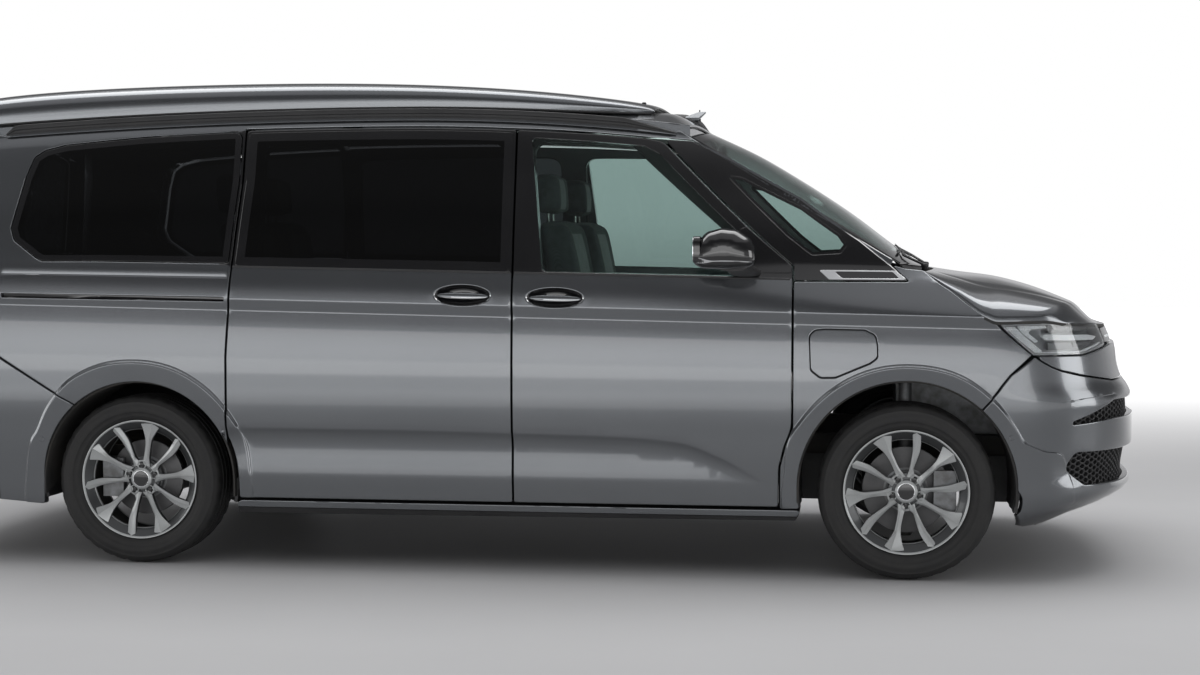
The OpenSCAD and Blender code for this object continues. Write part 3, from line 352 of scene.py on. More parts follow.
def within(points: Array, loops: Sequence[Array]) -> Array:
    """Tells which points lie inside an odd number of closed outlines."""
    hit = np.zeros(len(points), bool)
    x, y = points[:, 0], points[:, 1]
    for loop in loops:
        for (x0, y0), (x1, y1) in zip(loop, np.roll(loop, -1, 0)):
            if y0 == y1:
                continue
            cross = ((y0 > y) != (y1 > y)) & (x < (x1 - x0) * (y - y0) / (y1 - y0) + x0)
            hit ^= cross
    return hit


def nearest(points: Array, marks: Array) -> Array:
    """Distance of each point to the nearest mark."""
    out = np.empty(len(points))
    for i in range(0, len(points), 2000):
        d = points[i:i + 2000, None, :] - marks[None, :, :]
        out[i:i + 2000] = np.sqrt((d ** 2).sum(2).min(1))
    return out


def new_piece(name: str, points: Array, faces: Sequence[Sequence[int]], slots: Sequence[int] | None = None,
              smooth: float = 32.0, mirrored: bool = False, closed: bool = True) -> bpy.types.Object:
    """Makes a mesh object from points in millimetres.

    Args:
        name: Name of the piece.
        points: Rows of x, y, z.
        faces: Corner numbers of each face.
        slots: Material slot of each face.
        smooth: Edges sharper than this many degrees stay sharp.
        mirrored: Whether the piece is put on the other side of the van.
        closed: Whether the faces enclose a volume, so that they can be turned outwards.

    Returns:
        The new object.
    """
    pts = np.asarray(points, float) * MM
    if mirrored:
        pts = pts * (1, -1, 1)
    mesh = bpy.data.meshes.new(name)
    mesh.from_pydata(pts.tolist(), [], [list(map(int, f)) for f in faces])
    if slots is not None:
        mesh.polygons.foreach_set("material_index", np.asarray(slots, np.int32))
    bm = bmesh.new()
    bm.from_mesh(mesh)
    bmesh.ops.remove_doubles(bm, verts=bm.verts, dist=2e-5)
    bmesh.ops.dissolve_degenerate(bm, edges=bm.edges, dist=1e-6)
    if closed:
        bmesh.ops.recalc_face_normals(bm, faces=bm.faces)
    bm.to_mesh(mesh)
    bm.free()
    mesh.polygons.foreach_set("use_smooth", [True] * len(mesh.polygons))
    mesh.set_sharp_from_angle(angle=math.radians(smooth))
    obj = bpy.data.objects.new(name, mesh)
    bpy.context.scene.collection.objects.link(obj)
    return obj


def dress(obj: bpy.types.Object, body: str, *finishes: bpy.types.Material, slot: str = "",
          instead_of: Sequence[str] = ()) -> bpy.types.Object:
    """Gives a piece its materials and its body, and reports it."""
    for finish in finishes:
        obj.data.materials.append(finish)
    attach(obj, body)
    if instead_of:
        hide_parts(*instead_of)
    LOG.info("piece %s on %s, %d faces", obj.name, body, len(obj.data.polygons))
    return obj


@dataclass
class Panel:
    """A pressed panel of the skin: an outline with openings, a rounded edge, and a wall behind."""

    name: str
    outline: Array
    holes: Sequence[Array] = ()
    back: Callable[[Array, Array], Array] | float = 3.0
    relief: Callable[[Array, Array], Array] | None = None
    creases: Sequence[Array] = ()
    rows: Sequence[float] = ()
    step: float = 28.0
    edge: float = 3.0
    front: float = 0.0
    slot_of: Callable[[Array, Array, int], Array] | None = None

    def loops(self) -> list[Array]:
        """The outline and the openings, with the panel to their left."""
        out = []
        for i, loop in enumerate((self.outline, *self.holes)):
            p = spaced(loop, 16.0)
            if (signed_area(p) > 0) != (i == 0):
                p = p[::-1]
            out.append(p)
        return out

    def field_points(self, loops: list[Array]) -> tuple[Array, list[Array]]:
        """Places the points inside the panel, in rows that follow the body's lines.

        Args:
            loops: The outline and openings.

        Returns:
            The loose points, and the runs of points along creases.
        """
        low, high = loops[0].min(0), loops[0].max(0)
        gs = np.arange(low[0] + self.step / 2, high[0], self.step)
        n = max(2, int((high[1] - low[1]) / self.step))
        vs = np.linspace(low[1], high[1], n + 1)[1:-1]
        marks = np.vstack(loops)
        special = [r for r in (1021, 1025, 1029, 1066, 1070, 1074, *self.rows) if low[1] < r < high[1]]
        vs = np.array([v for v in vs if all(abs(v - r) > 9 for r in special)])
        grid = np.array([(g, v) for v in vs for g in gs])
        along = np.arange(low[0], high[0], 17.0)
        runs = [np.column_stack([along, np.full(len(along), r)]) for r in special]
        runs += [spaced(np.asarray(c, float), 13.0, closed=False) for c in self.creases]
        kept_runs = []
        for run in runs:
            ok = within(run, loops) & (nearest(run, marks) > self.edge + 2.4)
            start = None
            for i, good in enumerate([*ok, False]):
                if good and start is None:
                    start = i
                if not good and start is not None:
                    if i - start > 1:
                        kept_runs.append(run[start:i])
                    start = None
        grid = grid.reshape(-1, 2)
        grid = grid[within(grid, loops)]
        grid = grid[nearest(grid, marks) > self.edge + 9]
        if kept_runs:
            grid = grid[nearest(grid, np.vstack(kept_runs)) > 8]
        return grid, kept_runs

    def build(self, mirrored: bool = False) -> bpy.types.Object:
        """Builds the panel.

        Args:
            mirrored: Whether it is the panel of the right side.

        Returns:
            The new object.
        """
        loops = self.loops()
        e = self.edge
        shift = [inward(p) for p in loops]
        rims = [p + n * e for p, n in zip(loops, shift)]
        inner = [p + n * (e + 1.6) for p, n in zip(loops, shift)]
        grid, runs = self.field_points(loops)
        flat = [*rims, *inner, *runs]
        starts = np.concatenate([[0], np.cumsum([len(p) for p in flat])])
        edges = []
        for k, p in enumerate(flat):
            m, closed = len(p), k < 2 * len(loops)
            edges += [(starts[k] + i, starts[k] + (i + 1) % m) for i in range(m if closed else m - 1)]
        pts = np.vstack([*flat, grid]) if len(grid) else np.vstack(flat)
        got = delaunay_2d_cdt([Vector(p) for p in pts.tolist()], [tuple(map(int, q)) for q in edges], [], 0,
                              1e-4)
        plane = np.array([tuple(v) for v in got[0]])
        tris = np.array(got[2])
        mids = plane[tris].mean(1)
        tris = tris[within(mids, rims)]
        where = {}
        for new, old in enumerate(got[3]):
            for o in old:
                where[o] = new
        depth = self.front + (self.relief(plane[:, 0], plane[:, 1]) if self.relief else 0.0)
        depth = np.broadcast_to(depth, len(plane))
        far = self.back(plane[:, 0], plane[:, 1]) if callable(self.back) else self.front + self.back
        far = np.broadcast_to(far, len(plane))
        verts = [SKIN.point(plane[:, 0], plane[:, 1], depth), SKIN.point(plane[:, 0], plane[:, 1], far)]
        count = 2 * len(plane)
        faces = [tuple(t) for t in tris] + [tuple(t[::-1] + len(plane)) for t in tris]
        kinds = [0] * len(tris) + [2] * len(tris)
        plan = [*mids[within(mids, rims)]] * 2
        for k, (p, n) in enumerate(zip(loops, shift)):
            m = len(p)
            top = np.array([where[starts[k] + i] for i in range(m)])
            d0 = depth[top]
            rings = [top]
            for share in (0.38, 0.75, 1.0):
                a = share * math.pi / 2
                q = p + n * e * (1 - math.sin(a))
                verts.append(SKIN.point(q[:, 0], q[:, 1], d0 + e * (1 - math.cos(a))))
                rings.append(np.arange(count, count + m))
                count += m
            deep = far[top] - e * 0.6
            if float(np.min(deep - d0)) > e + 2:
                verts.append(SKIN.point(p[:, 0], p[:, 1], deep))
                rings.append(np.arange(count, count + m))
                count += m
            rings.append(top + len(plane))
            for j, (a, b) in enumerate(zip(rings, rings[1:])):
                a2, b2 = np.roll(a, -1), np.roll(b, -1)
                faces += list(zip(a2, a, b, b2))
                kinds += [1 if j < 3 else 3] * m
                plan += list(p)
        plan = np.array(plan)
        kinds = np.array(kinds)
        slots = np.zeros(len(faces), int)
        if self.slot_of:
            for kind in (0, 1, 2, 3):
                m = kinds == kind
                if m.any():
                    slots[m] = self.slot_of(plan[m, 0], plan[m, 1], kind)
        return new_piece(self.name, np.vstack(verts), faces, slots, mirrored=mirrored)


class Grain(Enum):
    """Fine structure of a finish."""

    NOISE = "noise"
    FLAKE = "flake"
    WEAVE = "weave"
    LEATHER = "leather"
    BRUSHED = "brushed"
    DOTS = "dots"


@dataclass(frozen=True)
class Finish:
    """A surface finish: its colours, its gloss and its fine structure."""

    name: str
    colour: tuple[float, float, float]
    second: tuple[float, float, float]
    roughness: float = 0.5
    spread: float = 0.06
    metallic: float = 0.0
    coat: float = 0.0
    sheen: float = 0.0
    clear: float = 0.0
    glow: float = 0.0
    mottle: float = 6.0
    grain: Grain = Grain.NOISE
    scale: float = 900.0
    relief: float = 0.15
    height: float = 0.0004
    specular: float = 0.5

    def material(self) -> bpy.types.Material:
        """Builds the material.

        Returns:
            The new material, on object coordinates.
        """
        mat = bpy.data.materials.new(self.name)
        mat.use_nodes = True
        tree = mat.node_tree
        shader = tree.nodes["Principled BSDF"]
        new, link = tree.nodes.new, tree.links.new
        where = new("ShaderNodeTexCoord")
        shader.inputs["Metallic"].default_value = self.metallic
        shader.inputs["Coat Weight"].default_value = self.coat
        shader.inputs["Coat Roughness"].default_value = 0.04
        shader.inputs["Sheen Weight"].default_value = self.sheen
        shader.inputs["Sheen Roughness"].default_value = 0.4
        shader.inputs["Transmission Weight"].default_value = self.clear
        shader.inputs["Specular IOR Level"].default_value = self.specular
        if self.glow:
            shader.inputs["Emission Color"].default_value = (*self.colour, 1)
            shader.inputs["Emission Strength"].default_value = self.glow
        cloud = new("ShaderNodeTexNoise")
        cloud.inputs["Scale"].default_value = self.mottle
        cloud.inputs["Detail"].default_value = 4
        link(where.outputs["Object"], cloud.inputs["Vector"])
        mix = new("ShaderNodeMix")
        mix.data_type = "RGBA"
        mix.inputs["A"].default_value = (*self.colour, 1)
        mix.inputs["B"].default_value = (*self.second, 1)
        spread = new("ShaderNodeMapRange")
        spread.inputs["From Min"].default_value = 0.35
        spread.inputs["From Max"].default_value = 0.65
        link(cloud.outputs["Fac"], spread.inputs["Value"])
        link(spread.outputs["Result"], mix.inputs["Factor"])
        rough = new("ShaderNodeMapRange")
        rough.inputs["To Min"].default_value = max(0.0, self.roughness - self.spread)
        rough.inputs["To Max"].default_value = self.roughness + self.spread
        link(cloud.outputs["Fac"], rough.inputs["Value"])
        link(rough.outputs["Result"], shader.inputs["Roughness"])
        fine, colour = self.fine(tree, where, mix.outputs["Result"])
        link(colour, shader.inputs["Base Color"])
        bump = new("ShaderNodeBump")
        bump.inputs["Strength"].default_value = self.relief
        bump.inputs["Distance"].default_value = self.height
        link(fine, bump.inputs["Height"])
        link(bump.outputs["Normal"], shader.inputs["Normal"])
        return mat

    def fine(self, tree: bpy.types.NodeTree, where: bpy.types.Node, colour: bpy.types.NodeSocket
             ) -> tuple[bpy.types.NodeSocket, bpy.types.NodeSocket]:
        """Adds the fine structure.

        Args:
            tree: The material's nodes.
            where: The coordinates.
            colour: The colour so far.

        Returns:
            The height of the structure, and the colour with it.
        """
        new, link = tree.nodes.new, tree.links.new

        def waves(axis: str, scale: float, warp: float = 0.4) -> bpy.types.Node:
            """Adds bands across one axis."""
            node = new("ShaderNodeTexWave")
            node.bands_direction = axis
            node.inputs["Scale"].default_value = scale
            node.inputs["Distortion"].default_value = warp
            link(where.outputs["Object"], node.inputs["Vector"])
            return node

        if self.grain in (Grain.NOISE, Grain.BRUSHED):
            node = new("ShaderNodeTexNoise")
            node.inputs["Scale"].default_value = self.scale
            node.inputs["Detail"].default_value = 3
            if self.grain is Grain.BRUSHED:
                turn = new("ShaderNodeMapping")
                turn.inputs["Scale"].default_value = (1, 0.05, 1)
                link(where.outputs["Object"], turn.inputs["Vector"])
                link(turn.outputs["Vector"], node.inputs["Vector"])
            else:
                link(where.outputs["Object"], node.inputs["Vector"])
            return node.outputs["Fac"], colour
        if self.grain is Grain.WEAVE:
            warp, weft = waves("X", self.scale), waves("Z", self.scale)
            cross = waves("Y", self.scale)
            total = new("ShaderNodeMath")
            total.operation = "ADD"
            link(warp.outputs["Fac"], total.inputs[0])
            link(weft.outputs["Fac"], total.inputs[1])
            more = new("ShaderNodeMath")
            more.operation = "ADD"
            link(total.outputs["Value"], more.inputs[0])
            link(cross.outputs["Fac"], more.inputs[1])
            return more.outputs["Value"], self.shaded(tree, colour, more.outputs["Value"], 0.9, 2.2, 0.72,
                                                      1.15)
        cell = new("ShaderNodeTexVoronoi")
        cell.inputs["Scale"].default_value = self.scale
        link(where.outputs["Object"], cell.inputs["Vector"])
        if self.grain is Grain.FLAKE:
            return cell.outputs["Distance"], self.shaded(tree, colour, cell.outputs["Distance"], 0.1, 0.7,
                                                         1.1, 0.9)
        return cell.outputs["Distance"], self.shaded(tree, colour, cell.outputs["Distance"], 0.0, 0.6, 0.8,
                                                     1.1)

    def shaded(self, tree: bpy.types.NodeTree, colour: bpy.types.NodeSocket, by: bpy.types.NodeSocket,
               low: float, high: float, dark: float, light: float) -> bpy.types.NodeSocket:
        """Multiplies a colour by a share that follows the structure."""
        share = tree.nodes.new("ShaderNodeMapRange")
        for key, value in (("From Min", low), ("From Max", high), ("To Min", dark), ("To Max", light)):
            share.inputs[key].default_value = value
        tree.links.new(by, share.inputs["Value"])
        times = tree.nodes.new("ShaderNodeVectorMath")
        times.operation = "SCALE"
        tree.links.new(colour, times.inputs[0])
        tree.links.new(share.outputs["Result"], times.inputs["Scale"])
        return times.outputs["Vector"]


class Palette:
    """The finishes of the van, one material each."""

    finishes = (
        Finish("paint", (0.128, 0.136, 0.146), (0.140, 0.148, 0.158), 0.22, 0.02, 0.8, 1.0, mottle=1.2,
               grain=Grain.FLAKE, scale=1500, relief=0.04, height=0.0002),
        Finish("gloss_black", (0.006, 0.006, 0.007), (0.009, 0.009, 0.01), 0.12, 0.03, coat=0.7, mottle=3,
               scale=60, relief=0.03, height=0.0004),
        Finish("black_plastic", (0.018, 0.018, 0.019), (0.026, 0.026, 0.027), 0.52, 0.08, scale=1400,
               relief=0.35, height=0.0005),
        Finish("underbody", (0.022, 0.022, 0.022), (0.045, 0.042, 0.038), 0.8, 0.1, scale=240, relief=0.5,
               height=0.001),
        Finish("dark_glass", (0.038, 0.041, 0.044), (0.042, 0.045, 0.048), 0.015, 0.01, clear=1.0, mottle=2,
               scale=4, relief=0.01, height=0.001),
        Finish("clear_glass", (0.66, 0.80, 0.765), (0.67, 0.81, 0.775), 0.01, 0.005, clear=1.0, mottle=2,
               scale=4, relief=0.01, height=0.001),
        Finish("lamp_clear", (0.97, 0.98, 0.98), (0.94, 0.96, 0.97), 0.015, 0.01, clear=1.0, mottle=9,
               scale=40, relief=0.02, height=0.0005),
        Finish("lamp_red", (0.32, 0.006, 0.008), (0.22, 0.004, 0.006), 0.1, 0.03, coat=0.6, mottle=30,
               grain=Grain.DOTS, scale=220, relief=0.3, height=0.0008),
        Finish("light_guide", (0.80, 0.82, 0.83), (0.70, 0.73, 0.75), 0.25, 0.05, glow=0.04, mottle=30,
               grain=Grain.DOTS, scale=160, relief=0.3, height=0.0008),
        Finish("lamp_chrome", (0.40, 0.41, 0.42), (0.3, 0.31, 0.32), 0.2, 0.05, 1.0, mottle=20, scale=300,
               relief=0.05),
        Finish("lamp_grey", (0.36, 0.37, 0.38), (0.30, 0.31, 0.32), 0.35, 0.08, 0.4, mottle=18, scale=500,
               relief=0.15),
        Finish("lamp_inner", (0.20, 0.205, 0.21), (0.15, 0.155, 0.16), 0.4, 0.06, 0.2, mottle=12, scale=300,
               relief=0.05),
        Finish("wheel_silver", (0.46, 0.475, 0.475), (0.44, 0.455, 0.455), 0.38, 0.02, 0.6, 0.4, mottle=2,
               grain=Grain.FLAKE, scale=1500, relief=0.02, height=0.0002),
        Finish("wheel_grey", (0.075, 0.078, 0.08), (0.065, 0.068, 0.07), 0.36, 0.03, 0.8, 0.3, mottle=2,
               grain=Grain.FLAKE, scale=1500, relief=0.05, height=0.0002),
        Finish("tyre", (0.014, 0.014, 0.0145), (0.022, 0.0215, 0.021), 0.66, 0.1, mottle=24, scale=700,
               relief=0.3, height=0.0006),
        Finish("cast", (0.3, 0.31, 0.32), (0.2, 0.2, 0.2), 0.55, 0.1, 0.75, mottle=26, scale=420, relief=0.5,
               height=0.0009),
        Finish("steel", (0.42, 0.41, 0.4), (0.3, 0.28, 0.26), 0.36, 0.08, 0.95, mottle=30,
               grain=Grain.BRUSHED,
               scale=900, relief=0.2, height=0.0003),
        Finish("brake_grey", (0.13, 0.13, 0.132), (0.10, 0.10, 0.102), 0.5, 0.06, 0.7, mottle=10, scale=300,
               relief=0.1, height=0.0003),
        Finish("mesh_grey", (0.045, 0.045, 0.047), (0.055, 0.055, 0.057), 0.42, 0.05, scale=900, relief=0.2,
               height=0.0003),
        Finish("bright_trim", (0.7, 0.71, 0.72), (0.62, 0.63, 0.64), 0.18, 0.04, 1.0, mottle=10,
               grain=Grain.BRUSHED, scale=1200, relief=0.05, height=0.0002),
        Finish("seat_cloth", (0.10, 0.105, 0.11), (0.13, 0.135, 0.14), 0.85, 0.06, sheen=0.35, mottle=30,
               grain=Grain.WEAVE, scale=420, relief=0.5, height=0.0006),
        Finish("seat_panel", (0.36, 0.36, 0.35), (0.3, 0.3, 0.29), 0.62, 0.06, sheen=0.25, mottle=20,
               grain=Grain.LEATHER, scale=520, relief=0.3, height=0.0005),
        Finish("trim_grey", (0.14, 0.145, 0.15), (0.17, 0.175, 0.18), 0.62, 0.08, scale=1200, relief=0.3,
               height=0.0004),
        Finish("head_lining", (0.42, 0.42, 0.40), (0.36, 0.36, 0.345), 0.9, 0.04, sheen=0.3, mottle=40,
               scale=1600, relief=0.5, height=0.0005),
        Finish("furniture", (0.46, 0.45, 0.42), (0.36, 0.35, 0.325), 0.48, 0.08, mottle=3,
               grain=Grain.BRUSHED,
               scale=160, relief=0.15, height=0.0003),
        Finish("worktop", (0.17, 0.17, 0.172), (0.25, 0.25, 0.25), 0.4, 0.06, mottle=90, grain=Grain.DOTS,
               scale=300, relief=0.1, height=0.0002),
        Finish("floor_mat", (0.12, 0.105, 0.088), (0.19, 0.165, 0.135), 0.6, 0.08, mottle=4,
               grain=Grain.BRUSHED, scale=90, relief=0.2, height=0.0004),
        Finish("canvas", (0.33, 0.34, 0.33), (0.27, 0.28, 0.275), 0.85, 0.05, sheen=0.3, mottle=12,
               grain=Grain.WEAVE, scale=700, relief=0.4, height=0.0006),
        Finish("leather_black", (0.016, 0.016, 0.017), (0.024, 0.024, 0.024), 0.46, 0.08, mottle=40,
               grain=Grain.LEATHER, scale=620, relief=0.4, height=0.0005),
        Finish("mirror_glass", (0.8, 0.82, 0.84), (0.78, 0.8, 0.82), 0.02, 0.01, 1.0, mottle=4, scale=20,
               relief=0.01),
        Finish("blank_plate", (0.74, 0.74, 0.70), (0.68, 0.68, 0.64), 0.32, 0.06, mottle=30,
               grain=Grain.DOTS, scale=700, relief=0.08, height=0.0002),
        Finish("screen", (0.01, 0.012, 0.015), (0.02, 0.022, 0.026), 0.1, 0.03, coat=0.5, mottle=5, scale=80,
               relief=0.02), )

    def __init__(self) -> None:
        """Builds every material."""
        self.made = {f.name: f.material() for f in self.finishes}

    def __getitem__(self, name: str) -> bpy.types.Material:
        """Returns a finish's material."""
        return self.made[name]


PAL = Palette()


def wall(g: Array, v: Array) -> Array:
    """Thickness of a door or side wall by height."""
    return np.interp(v, [205, 1150, 1215, 1816], [110, 110, 60, 60])


def frame_wall(g: Array, v: Array) -> Array:
    """Depth of the inner face of the side frame."""
    return wall(g, v) + 70


def across_nose(half: Array) -> Array:
    """Completes the outline of a piece that spans the nose, from its left half."""
    other = half[::-1].copy()
    other[:, 0] = 2 * SKIN.nose_mid - other[:, 0]
    return np.vstack([half, other])


def across_tail(half: Array) -> Array:
    """Completes the outline of a piece that spans the tail, from its left half."""
    other = half[::-1].copy()
    other[:, 0] = -2 * SKIN.tail_mid - other[:, 0]
    return np.vstack([half, other])


def ring_arc(x: float, z: float, r: float, start: float, end: float, n: int = 40) -> list[list[float]]:
    """Points on a circle in side view, from one angle to another, in degrees."""
    return [[x + r * math.cos(a), z + r * math.sin(a)] for a in np.radians(np.linspace(start, end, n))]


class Arches:
    """The wheel arches and the raised flares round them."""

    front_lip, rear_lip = 425.0, 408.0
    front_at, rear_at = (AXLE_F, 361.0), (AXLE_R + 10, 346.0)
    front_outer = [(1150, 276), (1160, 420), (1180, 560), (1227, 630), (1343, 749), (1496, 828), (1649, 849),
                   (1840, 812), (1954, 736), (2038, 640), (2084, 564), (2164, 519), (2243, 500), (2300, 300)]
    rear_outer = [(-985, 279), (-992, 400), (-1014, 521), (-1084, 642), (-1201, 755), (-1327, 819),
                  (-1475, 842), (-1625, 825), (-1754, 766), (-1842, 674), (-1908, 550), (-1935, 508),
                  (-1960, 400), (-1975, 240)]
    proud = 12.0
    beside = (-9, -3.5, -0.6, 3, 6, 9, 12.3, 16, 24)

    def __init__(self) -> None:
        """Tables the outer edge of each flare by its angle round the wheel."""
        self.tables, self.spans = [], []
        for (cx, cz), lip, outer in ((self.front_at, self.front_lip, self.front_outer),
                                     (self.rear_at, self.rear_lip, self.rear_outer)):
            p = np.array(outer, float) - (cx, cz)
            angle, radius = np.arctan2(p[:, 1], p[:, 0]), np.hypot(p[:, 0], p[:, 1])
            angle = np.where(angle < -2.2, angle + 2 * math.pi, angle)
            order = np.argsort(angle)
            self.tables.append((cx, cz, lip, smooth_table(list(zip(angle[order], radius[order])))))
            self.spans.append((float(angle.min()) + 0.01, float(angle.max()) - 0.01))

    def relief(self, g: Array, v: Array) -> Array:
        """Depth of the skin round the arches, which is negative where a flare stands proud."""
        g, v = np.asarray(g, float), np.asarray(v, float)
        p = SKIN.point(g, v)
        out = np.zeros(g.shape)
        for cx, cz, lip, outer in self.tables:
            dx, dz = p[..., 0] - cx, p[..., 2] - cz
            angle = np.arctan2(dz, dx)
            angle = np.where(angle < -2.2, angle + 2 * math.pi, angle)
            rho = np.hypot(dx, dz)
            gap = outer(angle) - rho
            near = np.abs(dx) < 720
            rise = blend01(gap / 12) * (1 - 0.75 * np.clip(gap / np.maximum(outer(angle) - lip, 30), 0, 1))
            fade = blend01((2330 - p[..., 0]) / 160)
            out = np.where(near & (gap > 0) & (p[..., 2] < 900), -self.proud * rise * fade, out)
        return out

    def lines(self) -> list[Array]:
        """Runs along both flares' outer edges, for the mesh to follow."""
        out = []
        for (cx, cz, _, outer), (first, last) in zip(self.tables, self.spans):
            angle = np.linspace(first, last, 170)
            for by in self.beside:
                r = outer(angle) - by
                out.append(SKIN.from_side(np.column_stack([cx + r * np.cos(angle), cz + r * np.sin(angle)])))
        return out


ARCH = Arches()
FLARE_LINES = len(Arches.beside)


def scoop_lines() -> list[Array]:
    """Runs along the crease over the hollow of the lower doors."""
    xs = np.arange(-1000, 1100, 12.0)
    top = SKIN.scoop_top(xs)
    return [np.column_stack([xs, top + by]) for by in (3, -1, -8, -18, -34, -60)] + [
        np.column_stack([xs, np.full(len(xs), z)]) for z in (390.0, 382.0, 374.0, 366.0, 356.0)]


@dataclass
class SideBody:
    """Side walls: quarter panels with the cant rail, cab corners, sills and the posts behind the doors."""

    slot_low: float = 1094.0
    slot_high: float = 1112.0

    def door_top(self, x: Array, v: float = 1788.0) -> Array:
        """Height of the door's top edge."""
        return SKIN.height(np.full(np.shape(x), v), np.asarray(x, float))

    def front_door_outline(self) -> list[list[float]]:
        """Shut line of the front door, as x, z and radius."""
        xs = [X_B + 280, AXLE_F - 1020]
        return [[X_B, DOOR_Z, 8], [X_B, float(self.door_top(X_B)), 8],
                *[[x, float(self.door_top(x, 1790)), 200] for x in xs], [AXLE_F - 962, 1724, 60],
                [AXLE_F - 500, 1272, 60], [X_A, 1226, 14], [X_A, 597, 150], [X_A - 30, 520, 150],
                [X_A - 50, 440, 150], [X_A - 52, DOOR_Z, 10]]

    def sliding_door_outline(self) -> list[list[float]]:
        """Shut line of the sliding door, as x, z and radius."""
        cx, cz = ARCH.rear_at
        low = math.degrees(math.asin(0.0))
        high = math.degrees(math.acos((X_C - cx) / 424))
        return [[X_B, float(self.door_top(X_B)), 8], [X_B, DOOR_Z, 8], [cx + 424, DOOR_Z, 10],
                *ring_arc(cx, cz, 424, low, high, 9), [X_C, 860, 60], [X_C + 22, 1240, 60],
                [X_C + 50, 1573, 60],
                [X_C + 52, float(self.door_top(X_C + 52)), 18],
                *[[x, float(self.door_top(x)), 200] for x in (-740.0, -400.0, -150.0)]]

    def side_panel(self, mirrored: bool) -> bpy.types.Object:
        """Quarter panel with the rail over the doors and the painted pillar beside the windscreen."""
        cx, cz = ARCH.rear_at
        half = SHUT / 2
        arc = ring_arc(cx, cz, 408, 130.2, 22.5, 40)
        shut = [[X_C - half, 860], [X_C + 18.5, 1240], [X_C + 46.5, 1573]]
        tops = [[x, float(self.door_top(x)) + half] for x in np.linspace(X_C + 49, X_B, 12)]
        tops += [[x, float(self.door_top(x, 1790)) + half] for x in np.linspace(X_B + 90, AXLE_F - 1030, 6)]
        strip = [[790, 1729], [947, 1649], [1221, 1495], [1455, 1328], [1572, 1232]]
        pillar = [[1585, 1252], [1400, 1366], [1200, 1487], [1000, 1608], [784, 1739], [738, 1767]]
        roof = [[x, float(SKIN.cant(x)) - 0.5] for x in np.linspace(700, -2060, 24)]
        side = SKIN.from_side(arc + shut + tops + strip + pillar + roof)
        rear = SKIN.from_end([[770, 1796], [726, 1806], [687, 1812], [720, 1640], [776, 1182], [776, 1036]],
                             False)
        side_low = SKIN.from_side([[-2450, 1038], [-2393, 908], [-2253, 907], [-2064, 853]])
        outline = soften(np.vstack([side, rear, side_low]), 6, 3)
        quarter = soften(SKIN.from_side([[x, z] for x, z in self.quarter_outline()]), 40, 6)
        slot = SKIN.from_side([[-2051, self.slot_low + 1], [X_C - 7, self.slot_low - 11],
                               [X_C - 7, self.slot_high - 12], [-2051, self.slot_high]])
        groove = SKIN.from_side([[-2054, 1194], [X_C + 10, 1182]])
        lines = [spaced(groove + (0, by), 9, False) for by in (-5, -1.5, 1.5, 5)] + ARCH.lines()

        def relief(g: Array, v: Array) -> Array:
            """Flare and the fine groove under the rear window."""
            z = SKIN.height(v, g)
            at = 1194 - (g + 2054) * 12 / 972
            cut = np.clip(1 - np.abs(z - at) / 3.2, 0, 1)
            bend = 9.0 * blend01((v - 1790) / 26)
            return ARCH.relief(g, v) + np.where((g < X_C + 10) & (g > -2400), 3.0 * cut, 0) + bend

        def slots(g: Array, v: Array, kind: int) -> Array:
            """Black beside the rear window, paint elsewhere, lining inside."""
            near = (g > X_C - 30) & (g < X_C + 60) & (v > BELT_H + 8) & (v < 1785)
            return np.where(near, 1, 2 if kind == 2 else 0)

        panel = Panel(f"side_panel_{'right' if mirrored else 'left'}", outline, [quarter, slot], frame_wall,
                      relief, lines, (1150.0, 1210.0), slot_of=slots)
        obj = panel.build(mirrored)
        return dress(obj, "body", PAL["paint"], PAL["gloss_black"], PAL["head_lining"], slot="paint",
                     instead_of=(f"side_frame_{'right' if mirrored else 'left'}",))

    def quarter_outline(self) -> list[tuple[float, float]]:
        """Edge of the rear side window, as in the source but up to the shut line."""
        return [(X_C - 10, BELT_H + 40), (AXLE_R - 150, BELT_H + 48), (AXLE_R - 400, 1243),
                (AXLE_R - 430, 1258),
                (AXLE_R - 528, 1328), (AXLE_R - 546, 1380), (AXLE_R - 500, 1590), (AXLE_R - 468, 1676),
                (AXLE_R - 420, 1706), (AXLE_R - 330, 1727), (AXLE_R, 1756), (X_C + 38, 1776),
                (X_C + 37, 1573),
                (X_C + 9, 1240)]

    def cab_corner(self, mirrored: bool) -> bpy.types.Object:
        """Black panel between the front door and the windscreen, round the cab's quarter window."""
        outline = soften(SKIN.from_side([
            (X_A + 3.5, 1173.5), (1645, 1170), (1574, 1229), (1455, 1324), (1221, 1491), (947, 1645),
            (790, 1725),
            (683, 1729), (AXLE_F - 496, 1275), (X_A + 3.5, 1229)]), 10, 4)
        hole = soften(SKIN.from_side(self.cab_window()), 16, 6)
        panel = Panel(f"cab_corner_{'right' if mirrored else 'left'}", outline, [hole], frame_wall, step=18,
                      edge=2.0, slot_of=lambda g, v, kind: np.full(len(g), 1 if kind == 2 else 0))
        return dress(panel.build(mirrored), "body", PAL["gloss_black"], PAL["trim_grey"], slot="gloss_black")

    def cab_window(self) -> list[tuple[float, float]]:
        """Edge of the cab's quarter window."""
        return [(AXLE_F - 710, 1588), (AXLE_F - 650, 1578), (AXLE_F - 420, 1464), (AXLE_F - 264, 1351),
                (AXLE_F - 236, 1312), (AXLE_F - 262, 1278), (AXLE_F - 372, 1272), (AXLE_F - 466, 1345)]

